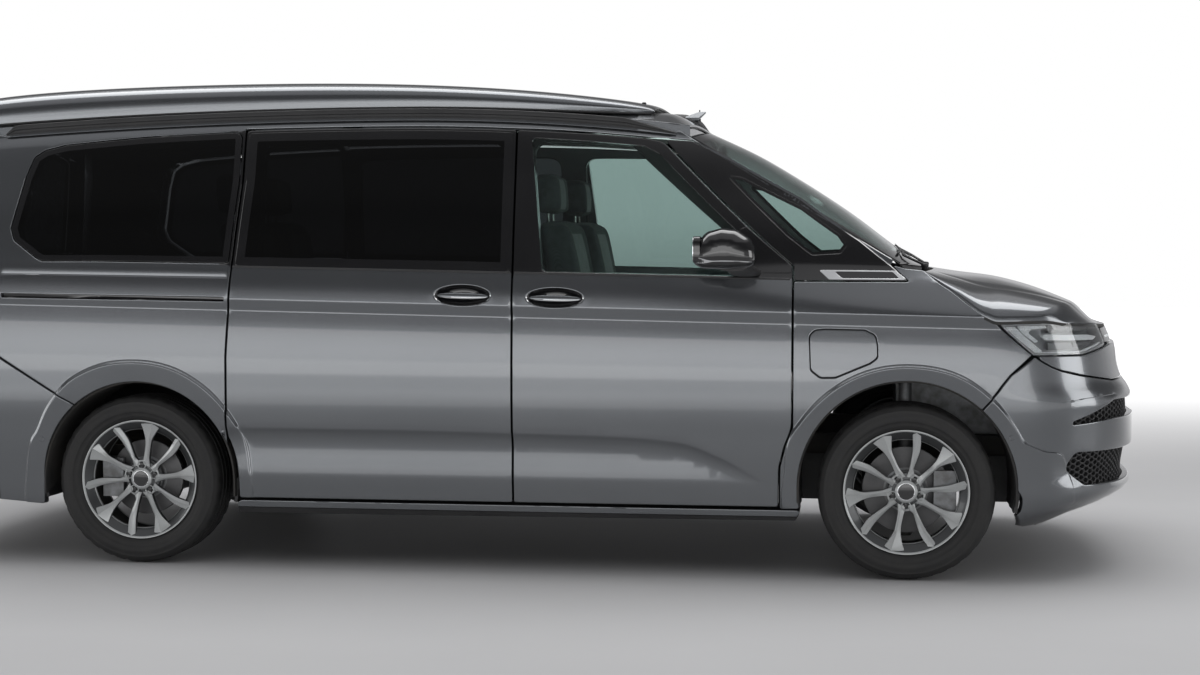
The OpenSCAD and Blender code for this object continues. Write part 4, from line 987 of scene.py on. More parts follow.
    def plaque(self, mirrored: bool) -> bpy.types.Object:
        """Bright frame round a blank black strip, under the cab's quarter window."""
        outline = soften(SKIN.from_side([(1336, 1177), (1626, 1176), (1632, 1181), (1594, 1211), (1304, 1214),
                                         (1300, 1210)]), 5, 3)
        inner = soften(SKIN.from_side([(1388, 1182), (1608, 1181), (1582, 1206), (1356, 1208)]), 5, 3)
        frame_piece = Panel(f"plaque_{'right' if mirrored else 'left'}", outline, [inner], 2.0, step=12,
                            edge=0.8, front=-2.2)
        return dress(frame_piece.build(mirrored), "body", PAL["bright_trim"], slot="wheel_silver")

    def sill(self, mirrored: bool) -> bpy.types.Object:
        """Sill under the doors, painted above and black below."""
        outline = soften(SKIN.from_side([(-1060, 216), (1210, 226), (1228, 262), (1215, 270), (-1040, 272),
                                         (-1056, 262)]), 8, 3)
        panel = Panel(f"sill_{'right' if mirrored else 'left'}", outline, (), frame_wall, step=26,
                      rows=(240, 246, 252),
                      relief=lambda g, v: -6 + 16 * blend01((246 - v) / 8),
                      slot_of=lambda g, v, kind: np.where((v > 244) & (kind < 2), 0, 1))
        return dress(panel.build(mirrored), "body", PAL["paint"], PAL["black_plastic"], slot="paint")

    def posts(self, mirrored: bool) -> bpy.types.Object:
        """Posts and rails behind the doors, round both door openings."""
        outline = soften(SKIN.from_side([(-1040, 262), (1150, 262), (1150, 600), (1192, 700), (1192, 1190),
                                         (660, 1700), (600, 1742), (85, 1772), (-400, 1778), (-1060, 1768),
                                         (-1060, 500), (-1040, 420)]), 30, 4)
        front = soften(SKIN.from_side([(X_B + 60, 440), (X_A - 112, 440), (X_A - 60, 640), (X_A - 60, 1190),
                                       (600, 1655), (540, 1715), (X_B + 60, 1722)]), 60, 6)
        rear = soften(SKIN.from_side([(X_C + 112, 440), (X_B - 60, 440), (X_B - 60, 1722),
                                      (X_C + 112, 1716)]), 60, 6)

        def near(g: Array, v: Array) -> Array:
            """Depth of the posts' outer face."""
            return wall(g, v) + 15

        panel = Panel(f"posts_{'right' if mirrored else 'left'}", outline, [front, rear], frame_wall, near,
                      step=40,
                      edge=4.0, slot_of=lambda g, v, kind: np.where(kind == 2, 1, 0))
        return dress(panel.build(mirrored), "body", PAL["black_plastic"], PAL["trim_grey"], slot="paint")

    def rail_slot(self, mirrored: bool) -> bpy.types.Object:
        """Rail of the sliding door in its slot, with the bright lip under it."""
        outline = SKIN.from_side([(-2050, self.slot_low - 2), (X_C - 8, self.slot_low - 14),
                                  (X_C - 8, self.slot_high - 11), (-2050, self.slot_high + 1)])
        panel = Panel(f"door_rail_{'right' if mirrored else 'left'}", outline, (), 30.0, step=30, edge=1.0,
                      relief=lambda g,
                      v: 14 - 11 * blend01((1097 - (g + 2054) * 12 / 972 + 3 - SKIN.height(v, g)) / 3),
                      rows=(1056, 1060),
                      slot_of=lambda g, v, kind: np.zeros(len(g), int))
        return dress(panel.build(mirrored), "body", PAL["gloss_black"], slot="black_plastic")

    def build(self) -> None:
        """Builds both sides."""
        for mirrored in (False, True):
            self.side_panel(mirrored)
            self.cab_corner(mirrored)
            self.plaque(mirrored)
            self.sill(mirrored)
            self.posts(mirrored)
            self.rail_slot(mirrored)


@dataclass
class Handle:
    """A door handle: an elliptical hollow with a bright rim, and the bar across it."""

    x: float
    z: float
    half_x: float
    half_z: float
    depth: float = 27.0

    def hole(self) -> Array:
        """Edge of the hollow in girth and nominal height."""
        a = np.linspace(0, 2 * math.pi, 49)[:-1]
        tilt = -0.006 * np.cos(a) * self.half_x
        return SKIN.from_side(np.column_stack([self.x + self.half_x * np.cos(a),
                                               self.z + self.half_z * np.sin(a) + tilt]))

    def dish(self, name: str, body: str, mirrored: bool) -> bpy.types.Object:
        """The hollow behind the bar; its gloss black is painted shade, standing in for the shadow inside the
        recess.
        """
        edge = self.hole()
        middle = edge.mean(0)
        rings = [(1.0, 1.2), (0.97, 4.0), (0.9, 12.0), (0.78, 20.0), (0.6, 25.0), (0.35, self.depth),
                 (0.02, self.depth)]
        shells = []
        for extra in (0.0, 2.5):
            for share, depth in (rings if not extra else rings[::-1]):
                p = middle + (edge - middle) * share
                shells.append(SKIN.point(p[:, 0], p[:, 1], depth + extra))
        n, m = len(edge), len(shells)
        faces = [(k * n + i, k * n + (i + 1) % n, (k + 1) % m * n + (i + 1) % n, (k + 1) % m * n + i)
                 for k in range(m) for i in range(n)]
        # Painted shade: the hollow takes gloss black (slot 0) for the shadow inside the recess; the first ring is
        # the bright rim
        slots = [1 if (i // n) in (0,) else 0 for i in range(m * n)]
        obj = new_piece(name, np.vstack(shells), faces, slots, mirrored=mirrored)
        return dress(obj, body, PAL["gloss_black"], PAL["bright_trim"], slot="gloss_black")

    def bar(self, name: str, body: str, mirrored: bool) -> bpy.types.Object:
        """The bar across the hollow: a flattened tube, narrower at its ends."""
        edge = self.hole()
        middle = edge.mean(0)
        a = np.linspace(0, 2 * math.pi, 25)[:-1]
        shells = []
        for u in np.linspace(-1, 1, 25):
            share = (1 - abs(u) ** 5) ** 0.5
            high = (12.5 - 3.5 * u * u) * max(share, 0.05)
            deep = 6.5 * max(share, 0.05)
            g = np.full(24, middle[0] + u * (self.half_x - 9))
            v = middle[1] - 2 + high * np.sign(np.sin(a)) * np.abs(np.sin(a)) ** 0.7
            depth = 5.5 + 7 * abs(u) ** 3 - deep * np.sign(np.cos(a)) * np.abs(np.cos(a)) ** 0.7
            shells.append(SKIN.point(g, v, depth))
        n = 24
        faces = [(k * n + i, k * n + (i + 1) % n, (k + 1) * n + (i + 1) % n, (k + 1) * n + i)
                 for k in range(24) for i in range(n)]
        faces += [tuple(range(n)), tuple(range(24 * n, 25 * n))[::-1]]
        height = np.vstack(shells)[:, 2]
        slots = [1 if np.mean([height[j] for j in f]) < middle[1] - SKIN.drop(self.x) - 7 else 0 for f in faces]
        obj = new_piece(name, np.vstack(shells), faces, slots, smooth=50, mirrored=mirrored)
        return dress(obj, body, PAL["paint"], PAL["bright_trim"], slot="paint")


@dataclass
class Doors:
    """The front doors and the sliding doors with their windows and handles."""

    side: SideBody
    front_handle: Handle = field(default_factory=lambda: Handle(258.0, 1102.5, 116.0, 39.5))
    rear_handle: Handle = field(default_factory=lambda: Handle(-114.5, 1111.0, 115.5, 42.0))

    def front_window(self) -> Array:
        """Edge of the front door's window."""
        belt = [[x, float(SKIN.height(np.float64(BELT_H + 13), x))] for x in (205.0, 600.0, 985.0)]
        top = [[x, float(self.side.door_top(x, 1790)) - 34] for x in (600.0, 350.0, 147.0)]
        return soften(SKIN.from_side([*belt, [1008, 1334], [662, 1674], *top]), 22, 6)

    def rear_window(self, inset: float) -> Array:
        """Edge of the sliding door's window."""
        tops = [[x, float(self.side.door_top(x)) - inset] for x in (X_B - inset, -400.0, X_C + 52 + inset)]
        low = [[x, float(SKIN.height(np.float64(BELT_H + 2 + inset * 0.6), x))] for x in (X_C + 20 + inset,
                                                                                          X_B - inset)]
        return soften(SKIN.from_side([*low, *tops, [X_C + 50 + inset, 1573]]), 14, 5)

    def pane(self, name: str, outline: Array, finish: str, body: str, mirrored: bool, node: Sequence[str],
             depth: float = 2.6, border: float = 0.0) -> bpy.types.Object:
        """A pane of glass, with a black border where the real one is printed."""
        marks = spaced(outline, 8)

        def slots(g: Array, v: Array, kind: int) -> Array:
            """The border has its own finish."""
            if not border or not len(g):
                return np.zeros(len(g), int)
            return np.where(nearest(np.column_stack([g, v]), marks) < border, 1, 0)

        inner = signed_area(outline)
        lines = []
        if border:
            n = inward(marks if inner > 0 else marks[::-1])
            line = (marks if inner > 0 else marks[::-1]) + n * border
            lines = [np.vstack([line, line[:1]])]
        panel = Panel(name, outline, (), 5.0, step=30, edge=1.0, front=depth, creases=lines, slot_of=slots)
        obj = panel.build(mirrored)
        slot = "dark_glass" if finish == "dark_glass" else "clear_glass"
        return dress(obj, body, PAL[finish], PAL["gloss_black"], slot=slot, instead_of=node)

    def front_door(self, mirrored: bool) -> None:
        """The front door with its window and handle."""
        end = "right" if mirrored else "left"
        radii = self.side.front_door_outline()
        flat = SKIN.from_side([q[:2] for q in grown(radii, -SHUT / 2)])
        outline = soften([[*p, r[2]] for p, r in zip(flat, radii)], steps=6)
        panel = Panel(f"front_door_skin_{end}", outline, [self.front_window(), self.front_handle.hole()],
                      wall,
                      ARCH.relief, scoop_lines(), (1150.0, 1196.0, 1203.0), slot_of=self.door_slots)
        body = f"front_door_{end}"
        dress(panel.build(mirrored), body, PAL["paint"], PAL["gloss_black"], PAL["trim_grey"], slot="paint",
              instead_of=(f"front_door_{end}",))
        self.pane(f"front_door_glass_{end}", self.front_window(), "clear_glass", body, mirrored,
                  (f"front_door_window_{end}",))
        self.front_handle.dish(f"front_handle_dish_{end}", body, mirrored)
        self.front_handle.bar(f"front_handle_bar_{end}", body, mirrored)

    def sliding_door(self, mirrored: bool) -> None:
        """The sliding door with its window and handle."""
        end = "right" if mirrored else "left"
        radii = self.side.sliding_door_outline()
        flat = SKIN.from_side([q[:2] for q in grown(radii, -SHUT / 2)])
        outline = soften([[*p, (r[2] if len(r) > 2 else 30)] for p, r in zip(flat, radii)], steps=5)
        panel = Panel(f"sliding_door_skin_{end}", outline, [self.rear_window(16), self.rear_handle.hole()],
                      wall,
                      ARCH.relief, scoop_lines() + ARCH.lines(), (1150.0, 1196.0, 1203.0),
                      slot_of=self.door_slots)
        dress(panel.build(mirrored), "body", PAL["paint"], PAL["gloss_black"], PAL["trim_grey"], slot="paint",
              instead_of=(f"sliding_door_{end}",))
        self.rear_handle.dish(f"rear_handle_dish_{end}", "body", mirrored)
        self.rear_handle.bar(f"rear_handle_bar_{end}", "body", mirrored)

    def door_slots(self, g: Array, v: Array, kind: int) -> Array:
        """Paint below the belt line, black above it, lining on the inner face."""
        if kind == 2:
            return np.full(len(g), 2)
        return np.where(v > BELT_H + 4, 1, 0)

    def build(self) -> None:
        """Builds the doors and the side windows."""
        for mirrored in (False, True):
            end = "right" if mirrored else "left"
            self.front_door(mirrored)
            self.sliding_door(mirrored)
            self.pane(f"sliding_door_glass_{end}", self.rear_window(10), "dark_glass", "body", mirrored,
                      ("rear_windows",) if not mirrored else (), 1.2, 40.0)
            quarter = soften(SKIN.from_side(grown([[*q] for q in self.side.quarter_outline()], -4)), 36, 6)
            self.pane(f"rear_quarter_glass_{end}", quarter, "dark_glass", "body", mirrored, (), 1.2, 26.0)
            cab = soften(SKIN.from_side(self.side.cab_window()), 16, 6)
            self.pane(f"cab_quarter_glass_{end}", cab, "clear_glass", "body", mirrored,
                      ("cab_quarter_windows",) if not mirrored else (), 2.0, 12.0)


def shell(name: str, surface: Callable[[Array, Array, Array], Array], us: Array, hs: Array, thick: float,
          edge: float = 3.0, spans: tuple[float, float] = (1000.0, 800.0), smooth: float = 32.0,
          slot_of: Callable[[Array, bool], Array] | None = None) -> bpy.types.Object:
    """Builds a curved sheet with a rounded edge and a wall.

    Args:
        name: Name of the piece.
        surface: Place of u, h and depth.
        us: Steps along the sheet, from 0 to 1.
        hs: Steps across it, from -1 to 1.
        thick: Wall thickness.
        edge: Radius of the edge.
        spans: Length along u and half width along h, for the edge's steps.
        smooth: Angle over which edges stay sharp.
        slot_of: Material slot from the faces' middles and whether they are outside.

    Returns:
        The new object.
    """
    du, dh = edge / spans[0], edge / spans[1]
    lo, hi = us[0], us[-1]
    us = np.concatenate([[lo, lo + du * 0.3, lo + du, lo + du * 1.8], us[1:-1],
                         [hi - du * 1.8, hi - du, hi - du * 0.3, hi]])
    hs = np.concatenate([[-1, -1 + dh * 0.3, -1 + dh, -1 + dh * 1.8], hs[1:-1],
                         [1 - dh * 1.8, 1 - dh, 1 - dh * 0.3, 1]])

    def drop(t: Array, a: float, b: float, d: float) -> Array:
        """Depth of the rounding near both ends."""
        s = np.clip(np.minimum(t - a, b - t) / d, 0, 1)
        return edge * (1 - np.sqrt(1 - (1 - s) ** 2))

    u, h = np.meshgrid(us, hs, indexing="ij")
    d = np.maximum(drop(u, lo, hi, du), drop(h, -1, 1, dh))
    top, low = surface(u, h, d), surface(u, h, np.full(u.shape, thick))
    n, m = u.shape
    at = np.arange(n * m).reshape(n, m)
    quads = np.stack([at[:-1, :-1], at[1:, :-1], at[1:, 1:], at[:-1, 1:]], -1).reshape(-1, 4)
    rim = np.concatenate([at[0, :], at[1:, -1], at[-1, -2::-1], at[-2:0:-1, 0]])
    rim2 = np.roll(rim, -1)
    k = n * m
    sides = np.stack([rim, rim2, rim2 + k, rim + k], -1)
    faces = np.vstack([quads, quads[:, ::-1] + k, sides])
    pts = np.vstack([top.reshape(-1, 3), low.reshape(-1, 3)])
    slots = None
    if slot_of:
        outside = np.arange(len(faces)) < len(quads)
        slots = slot_of(pts[faces].mean(1), outside)
    return new_piece(name, pts, faces.tolist(), slots, smooth=smooth)


@dataclass
class FrontEnd:
    """Wings, bumper, nose, lamps and grilles."""

    mesh_pitch: float = 37.0

    def wing(self, mirrored: bool) -> None:
        """A front wing; the right one has the flap over the charging socket."""
        end = "right" if mirrored else "left"
        cx, cz = ARCH.front_at
        arc = ring_arc(cx, cz, ARCH.front_lip, 191.5, 48.0, 50)
        outline = soften(SKIN.from_side([
            [X_A - 48, 276], *arc[:1], *arc[1:], [2031, 810.5], [2114, 888], [1975, 1009], [1937, 1033],
            [1839, 1107],
            [1762, 1162], [1703, 1211], [1692, 1213], [1630, 1219], [1578, 1233], [1650, 1166.5],
            [X_A + 3.5, 1168],
            [X_A + 3.5, 599], [X_A - 26, 521], [X_A - 46, 441]]), 9, 4)
        holes = []
        flap = [(1260, 962), (1283, 982), (1322, 986), (1476, 983), (1518, 964), (1526, 925), (1527, 874),
                (1496, 851), (1362, 795), (1304, 794), (1265, 825)]
        if mirrored:
            holes = [soften(SKIN.from_side(flap), 30, 6)]
        rim = [*ARCH.lines()[:FLARE_LINES]]
        panel = Panel(f"wing_{end}", outline, holes, 38.0, relief=ARCH.relief, creases=rim,
                      slot_of=lambda g, v, kind: np.where(kind == 2, 1, 0) + 0 * g.astype(int))
        dress(panel.build(mirrored), "body", PAL["paint"], PAL["black_plastic"], slot="paint",
              instead_of=("front_wings",) if not mirrored else ())
        if mirrored:
            lid = soften(SKIN.from_side(grown(flap, -3.2)), 28, 6)
            piece = Panel("charge_flap", lid, (), 20.0, edge=2.0, step=24)
            dress(piece.build(True), "body", PAL["paint"], slot="paint")
            cup = soften(SKIN.from_side(grown(flap, 6)), 30, 6)
            back = Panel("charge_recess", cup, (), 6.0, edge=1.0, step=60, front=39.0)
            dress(back.build(True), "body", PAL["black_plastic"], slot="black_plastic")

    def groove(self) -> list[tuple[float, float]]:
        """Shut line under the headlamps, in side view, from the front backwards."""
        return [(2451, 777), (2383, 792), (2306, 807), (2230, 826), (2192, 841), (2150, 866), (2128, 882)]

    def bumper(self) -> None:
        """The bumper, over the whole width, with its two intakes."""
        cx, cz = ARCH.front_at
        top = SKIN.from_end([(0.01, 773), (300, 773), (520, 774)], True)
        line = SKIN.from_side([(x, z - 3) for x, z in self.groove()])
        side = SKIN.from_side([[2034.9, 807.4], *ring_arc(cx, cz, ARCH.front_lip, 47.3, 0, 16), [2066, 262],
                               [2078, 214], [2092, 207], [2160, 206.5]])
        low = SKIN.from_end([(760, 206.5), (380, 206.5), (0.01, 206.5)], True)
        outline = soften(across_nose(np.vstack([top, line, side, low])), 8, 3)
        lower = soften(SKIN.from_end(self.lower_intake(), True), 26, 6)
        upper = soften(SKIN.from_end(self.upper_intake(), True), 9, 4)
        crease = [SKIN.from_side([(2266, 703 + by), (2308, 714 + by), (2400, 721 + by), (2465, 724 + by)])
                  for by in (-5, -1, 2)]
        crease += [self.mirrored(c) for c in crease]

        def relief(g: Array, v: Array) -> Array:
            """Flare, the crease over the upper intake and the scooped corner of the lower one."""
            p = SKIN.point(g, v)
            g2 = np.where(g > SKIN.nose_mid, 2 * SKIN.nose_mid - g, g)
            line_z = np.interp(p[:, 0], [2266, 2308, 2455], [701, 711, 722])
            cut = 0.6 * np.clip(1 - np.abs(p[:, 2] - line_z) / 4, 0, 1) * blend01((p[:, 0] - 2262) / 30)
            cut = cut * blend01((2475 - p[:, 0]) / 30)
            hollow = blend01(1 - np.hypot((np.abs(p[:, 1]) - 850) / 80, (p[:, 2] - 442) / 85)) * 16
            seat = 9 * blend01((284 - np.abs(p[:, 1])) / 14) * ((p[:, 2] > 490) & (p[:, 2] < 660))
            return ARCH.relief(g2, v) + 5 * cut + hollow + np.where(p[:, 0] > 2400, seat, 0)

        def slots(g: Array, v: Array, kind: int) -> Array:
            """Dark plastic inside and in the intakes, paint elsewhere."""
            return np.full(len(g), 1 if kind == 2 else 0)

        flare = [line for run in ARCH.lines()[:FLARE_LINES] for line in (run, self.mirrored(run))]
        panel = Panel("front_bumper_skin", outline, [lower, upper], 24.0, relief, [*flare, *crease],
                      (505.0, 520.0, 611.0, 741.0), step=20, slot_of=slots)
        dress(panel.build(), "body", PAL["paint"], PAL["black_plastic"], slot="paint",
              instead_of=("front_bumper",))

    def mirrored(self, run: Array) -> Array:
        """The same run on the right half of the nose."""
        return np.column_stack([2 * SKIN.nose_mid - run[:, 0], run[:, 1]])[::-1]

    def lower_intake(self) -> list[tuple[float, float]]:
        """Edge of the lower intake, in front view."""
        return [(856, 506), (866, 440), (812, 374), (-812, 374), (-866, 440), (-856, 506)]

    def upper_intake(self) -> list[tuple[float, float]]:
        """Edge of the upper intake, in front view."""
        return [(872, 614), (872, 627), (700, 702), (-700, 702), (-872, 627), (-872, 614), (-700, 630),
                (700, 630)]

    def nose_panel(self) -> None:
        """The panel between the headlamps and the bumper, and the black strip over it."""
        top = SKIN.from_end([(0.01, 917), (300, 917), (560, 916)], True)
        lamp = SKIN.from_side([(2424, 909), (2322, 881), (2140, 883)])
        line = SKIN.from_side([(x, z + 2) for x, z in self.groove()[::-1]][1:])
        low = SKIN.from_end([(520, 779), (300, 778), (0.01, 778)], True)
        outline = soften(across_nose(np.vstack([top, lamp, line, low])), 8, 3)
        dress(Panel("nose_panel", outline, (), 24.0, rows=(790.0, 905.0), step=20).build(), "body",
              PAL["paint"], slot="paint")
        strip = SKIN.from_end([(-584, 923), (584, 923), (588, 980), (-588, 980)], True)
        bar = SKIN.from_end([(-560, 941), (560, 941), (560, 950), (-560, 950)], True)
        dress(Panel("nose_strip", soften(strip[::-1] if signed_area(strip) < 0 else strip, 6), (), 34.0,
                    front=12.0,
                    edge=2.0, step=40).build(), "body", PAL["gloss_black"], slot="gloss_black")
        dress(Panel("light_bar", soften(bar[::-1] if signed_area(bar) < 0 else bar, 2), (), 8.0, front=10.4,
                    edge=0.8, step=40).build(), "body", PAL["light_guide"], slot="lamp_clear")

    def honeycomb(self, name: str, edge: list[tuple[float, float]], node: Sequence[str]) -> None:
        """A curved honeycomb behind an intake.

        Args:
            name: Name of the piece.
            edge: Outline of the intake in front view.
            node: CAD nodes that the piece stands for.
        """
        hole = spaced(SKIN.from_end(edge, True), 10)
        low, high = hole.min(0) - 20, hole.max(0) + 20
        pitch, rise = self.mesh_pitch, self.mesh_pitch * 0.62
        corners = np.array([(-0.5, 0), (-0.2, 0.5), (0.2, 0.5), (0.5, 0), (0.2, -0.5), (-0.2, -0.5)])
        points, faces = [], []
        for row, v in enumerate(np.arange(low[1], high[1], rise / 2)):
            shift = (row % 2) * pitch * 0.7
            for g in np.arange(low[0] + shift, high[0], pitch * 1.4):
                middle = np.array([[g, v]])
                if not within(middle, [hole])[0] and nearest(middle, hole)[0] > 24:
                    continue
                k = 6 * len(points)
                for share, depth in ((1.0, 30.0), (0.93, 26.0), (0.8, 26.5), (0.74, 44.0)):
                    q = middle + corners * (pitch * 1.0, rise) * share
                    points.append(SKIN.point(q[:, 0], q[:, 1], depth))
                for a in range(3):
                    faces += [(k + 6 * a + i, k + 6 * a + (i + 1) % 6, k + 6 * a + 6 + (i + 1) % 6,
                               k + 6 * a + 6 + i)
                              for i in range(6)]
        obj = new_piece(name, np.vstack(points), faces, closed=False, smooth=30)
        dress(obj, "body", PAL["mesh_grey"], slot="gloss_black", instead_of=node)
        back = soften(SKIN.from_end(edge, True), 20, 4)
        n = inward(back) * (1 if signed_area(back) > 0 else -1)
        plate = Panel(f"{name}_back", back - n * 6, (), 4.0, front=46.0, edge=1.0, step=60)
        dress(plate.build(), "body", PAL["black_plastic"], slot="black_plastic")

    def plate(self) -> None:
        """Blank number plate on its black holder."""
        for name, half, high, out, thick, finish, slot in (
                ("plate_holder", 267, 57, 2.4, 12.0, "black_plastic", "black_plastic"),
                ("plate_blank", 258, 50, 0.2, 4.0, "blank_plate", "paint")):
            flat = SKIN.from_end([(-half, 568 - high), (half, 568 - high), (half, 568 + high),
                                  (-half, 568 + high)], True)
            flat = flat if signed_area(flat) > 0 else flat[::-1]
            obj = Panel(name, soften(flat, 8), (), thick, front=out, edge=1.2, step=80).build()
            dress(obj, "body", PAL[finish], slot=slot)

    def build(self) -> None:
        """Builds the front end."""
        self.wing(False)
        self.wing(True)
        self.bumper()
        self.nose_panel()
        self.honeycomb("lower_grille", self.lower_intake(), ("front_grilles",))
        self.honeycomb("upper_grille", self.upper_intake(), ())
        self.plate()


@dataclass
class Headlamps:
    """The headlamps: clear cover, silver housing, light guides and lenses."""

    outline = ((1990.5, 1008), (2188.5, 1010), (2377.5, 1006), (2392.5, 997), (2424.5, 930), (2422, 914),
               (2322.5, 886), (2122, 888))

    # Name, depth behind the skin, thickness, finish, corner radius and outline in side view
    insides = (
        ("lamp_turn_strip", 20, 12, "light_guide", 3.0, ((2012, 996), (2056, 996), (2168, 900), (2136, 896))),
        ("lamp_hook", 16, 10, "light_guide", 5,
         ((2066, 1000), (2176, 1000), (2184, 990), (2122, 987), (2108, 972), (2150, 940), (2136, 934),
          (2082, 974))),
        ("lamp_bar", 14, 10, "light_guide", 4,
         ((2160, 958), (2172, 964), (2352, 960), (2398, 950), (2380, 938), (2176, 943))),
        ("lamp_lower_line", 12, 8, "light_guide", 2,
         ((2140, 893), (2318, 893), (2410, 922), (2410, 927), (2316, 899), (2142, 898))),
        ("lamp_lens_upper", 30, 14, "lamp_inner", 8, ((2196, 972), (2196, 1002), (2286, 1001), (2292, 972))),
        ("lamp_lens_outer", 34, 14, "lamp_inner", 8, ((2300, 970), (2296, 1000), (2362, 998), (2386, 972))),
        ("lamp_lens_lower", 32, 14, "lamp_inner", 8, ((2196, 904), (2196, 934), (2296, 932), (2306, 906))),
        ("lamp_lens_side", 36, 12, "lamp_inner", 6, ((2318, 908), (2312, 932), (2384, 932), (2390, 924))))

    def part(self, name: str, points: Sequence[Sequence[float]], depth: float, thick: float, finish: str,
             mirrored: bool, radius: float = 3.0, slot: str = "lamp_clear") -> bpy.types.Object:
        """A piece inside the lamp, drawn in side view."""
        flat = SKIN.from_side(points)
        flat = flat if signed_area(flat) > 0 else flat[::-1]
        obj = Panel(f"{name}_{'right' if mirrored else 'left'}", soften(flat, radius, 3), (), thick,
                    front=depth,
                    edge=min(1.0, thick / 3), step=18).build(mirrored)
        return dress(obj, "body", PAL[finish], slot=slot)

    def build(self) -> None:
        """Builds both lamps."""
        for mirrored in (False, True):
            cover = self.part("lamp_cover", self.outline, 1.5, 3.0, "lamp_clear", mirrored, 6)
            if not mirrored:
                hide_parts("headlamps")
            self.part("lamp_shell", grown(self.outline, -2), 52.0, 6.0, "lamp_grey", mirrored, 6)
            wall_piece = Panel(f"lamp_wall_{'right' if mirrored else 'left'}",
                               soften(SKIN.from_side(grown(self.outline, -1))[::1], 6, 3),
                               [soften(SKIN.from_side(grown(self.outline, -7)), 6, 3)], 46.0, front=6.0,
                               edge=1.0, step=20)
            dress(wall_piece.build(mirrored), "body", PAL["lamp_grey"], slot="lamp_clear")
            for name, depth, thick, finish, radius, points in self.insides:
                self.part(name, points, depth, thick, finish, mirrored, radius)


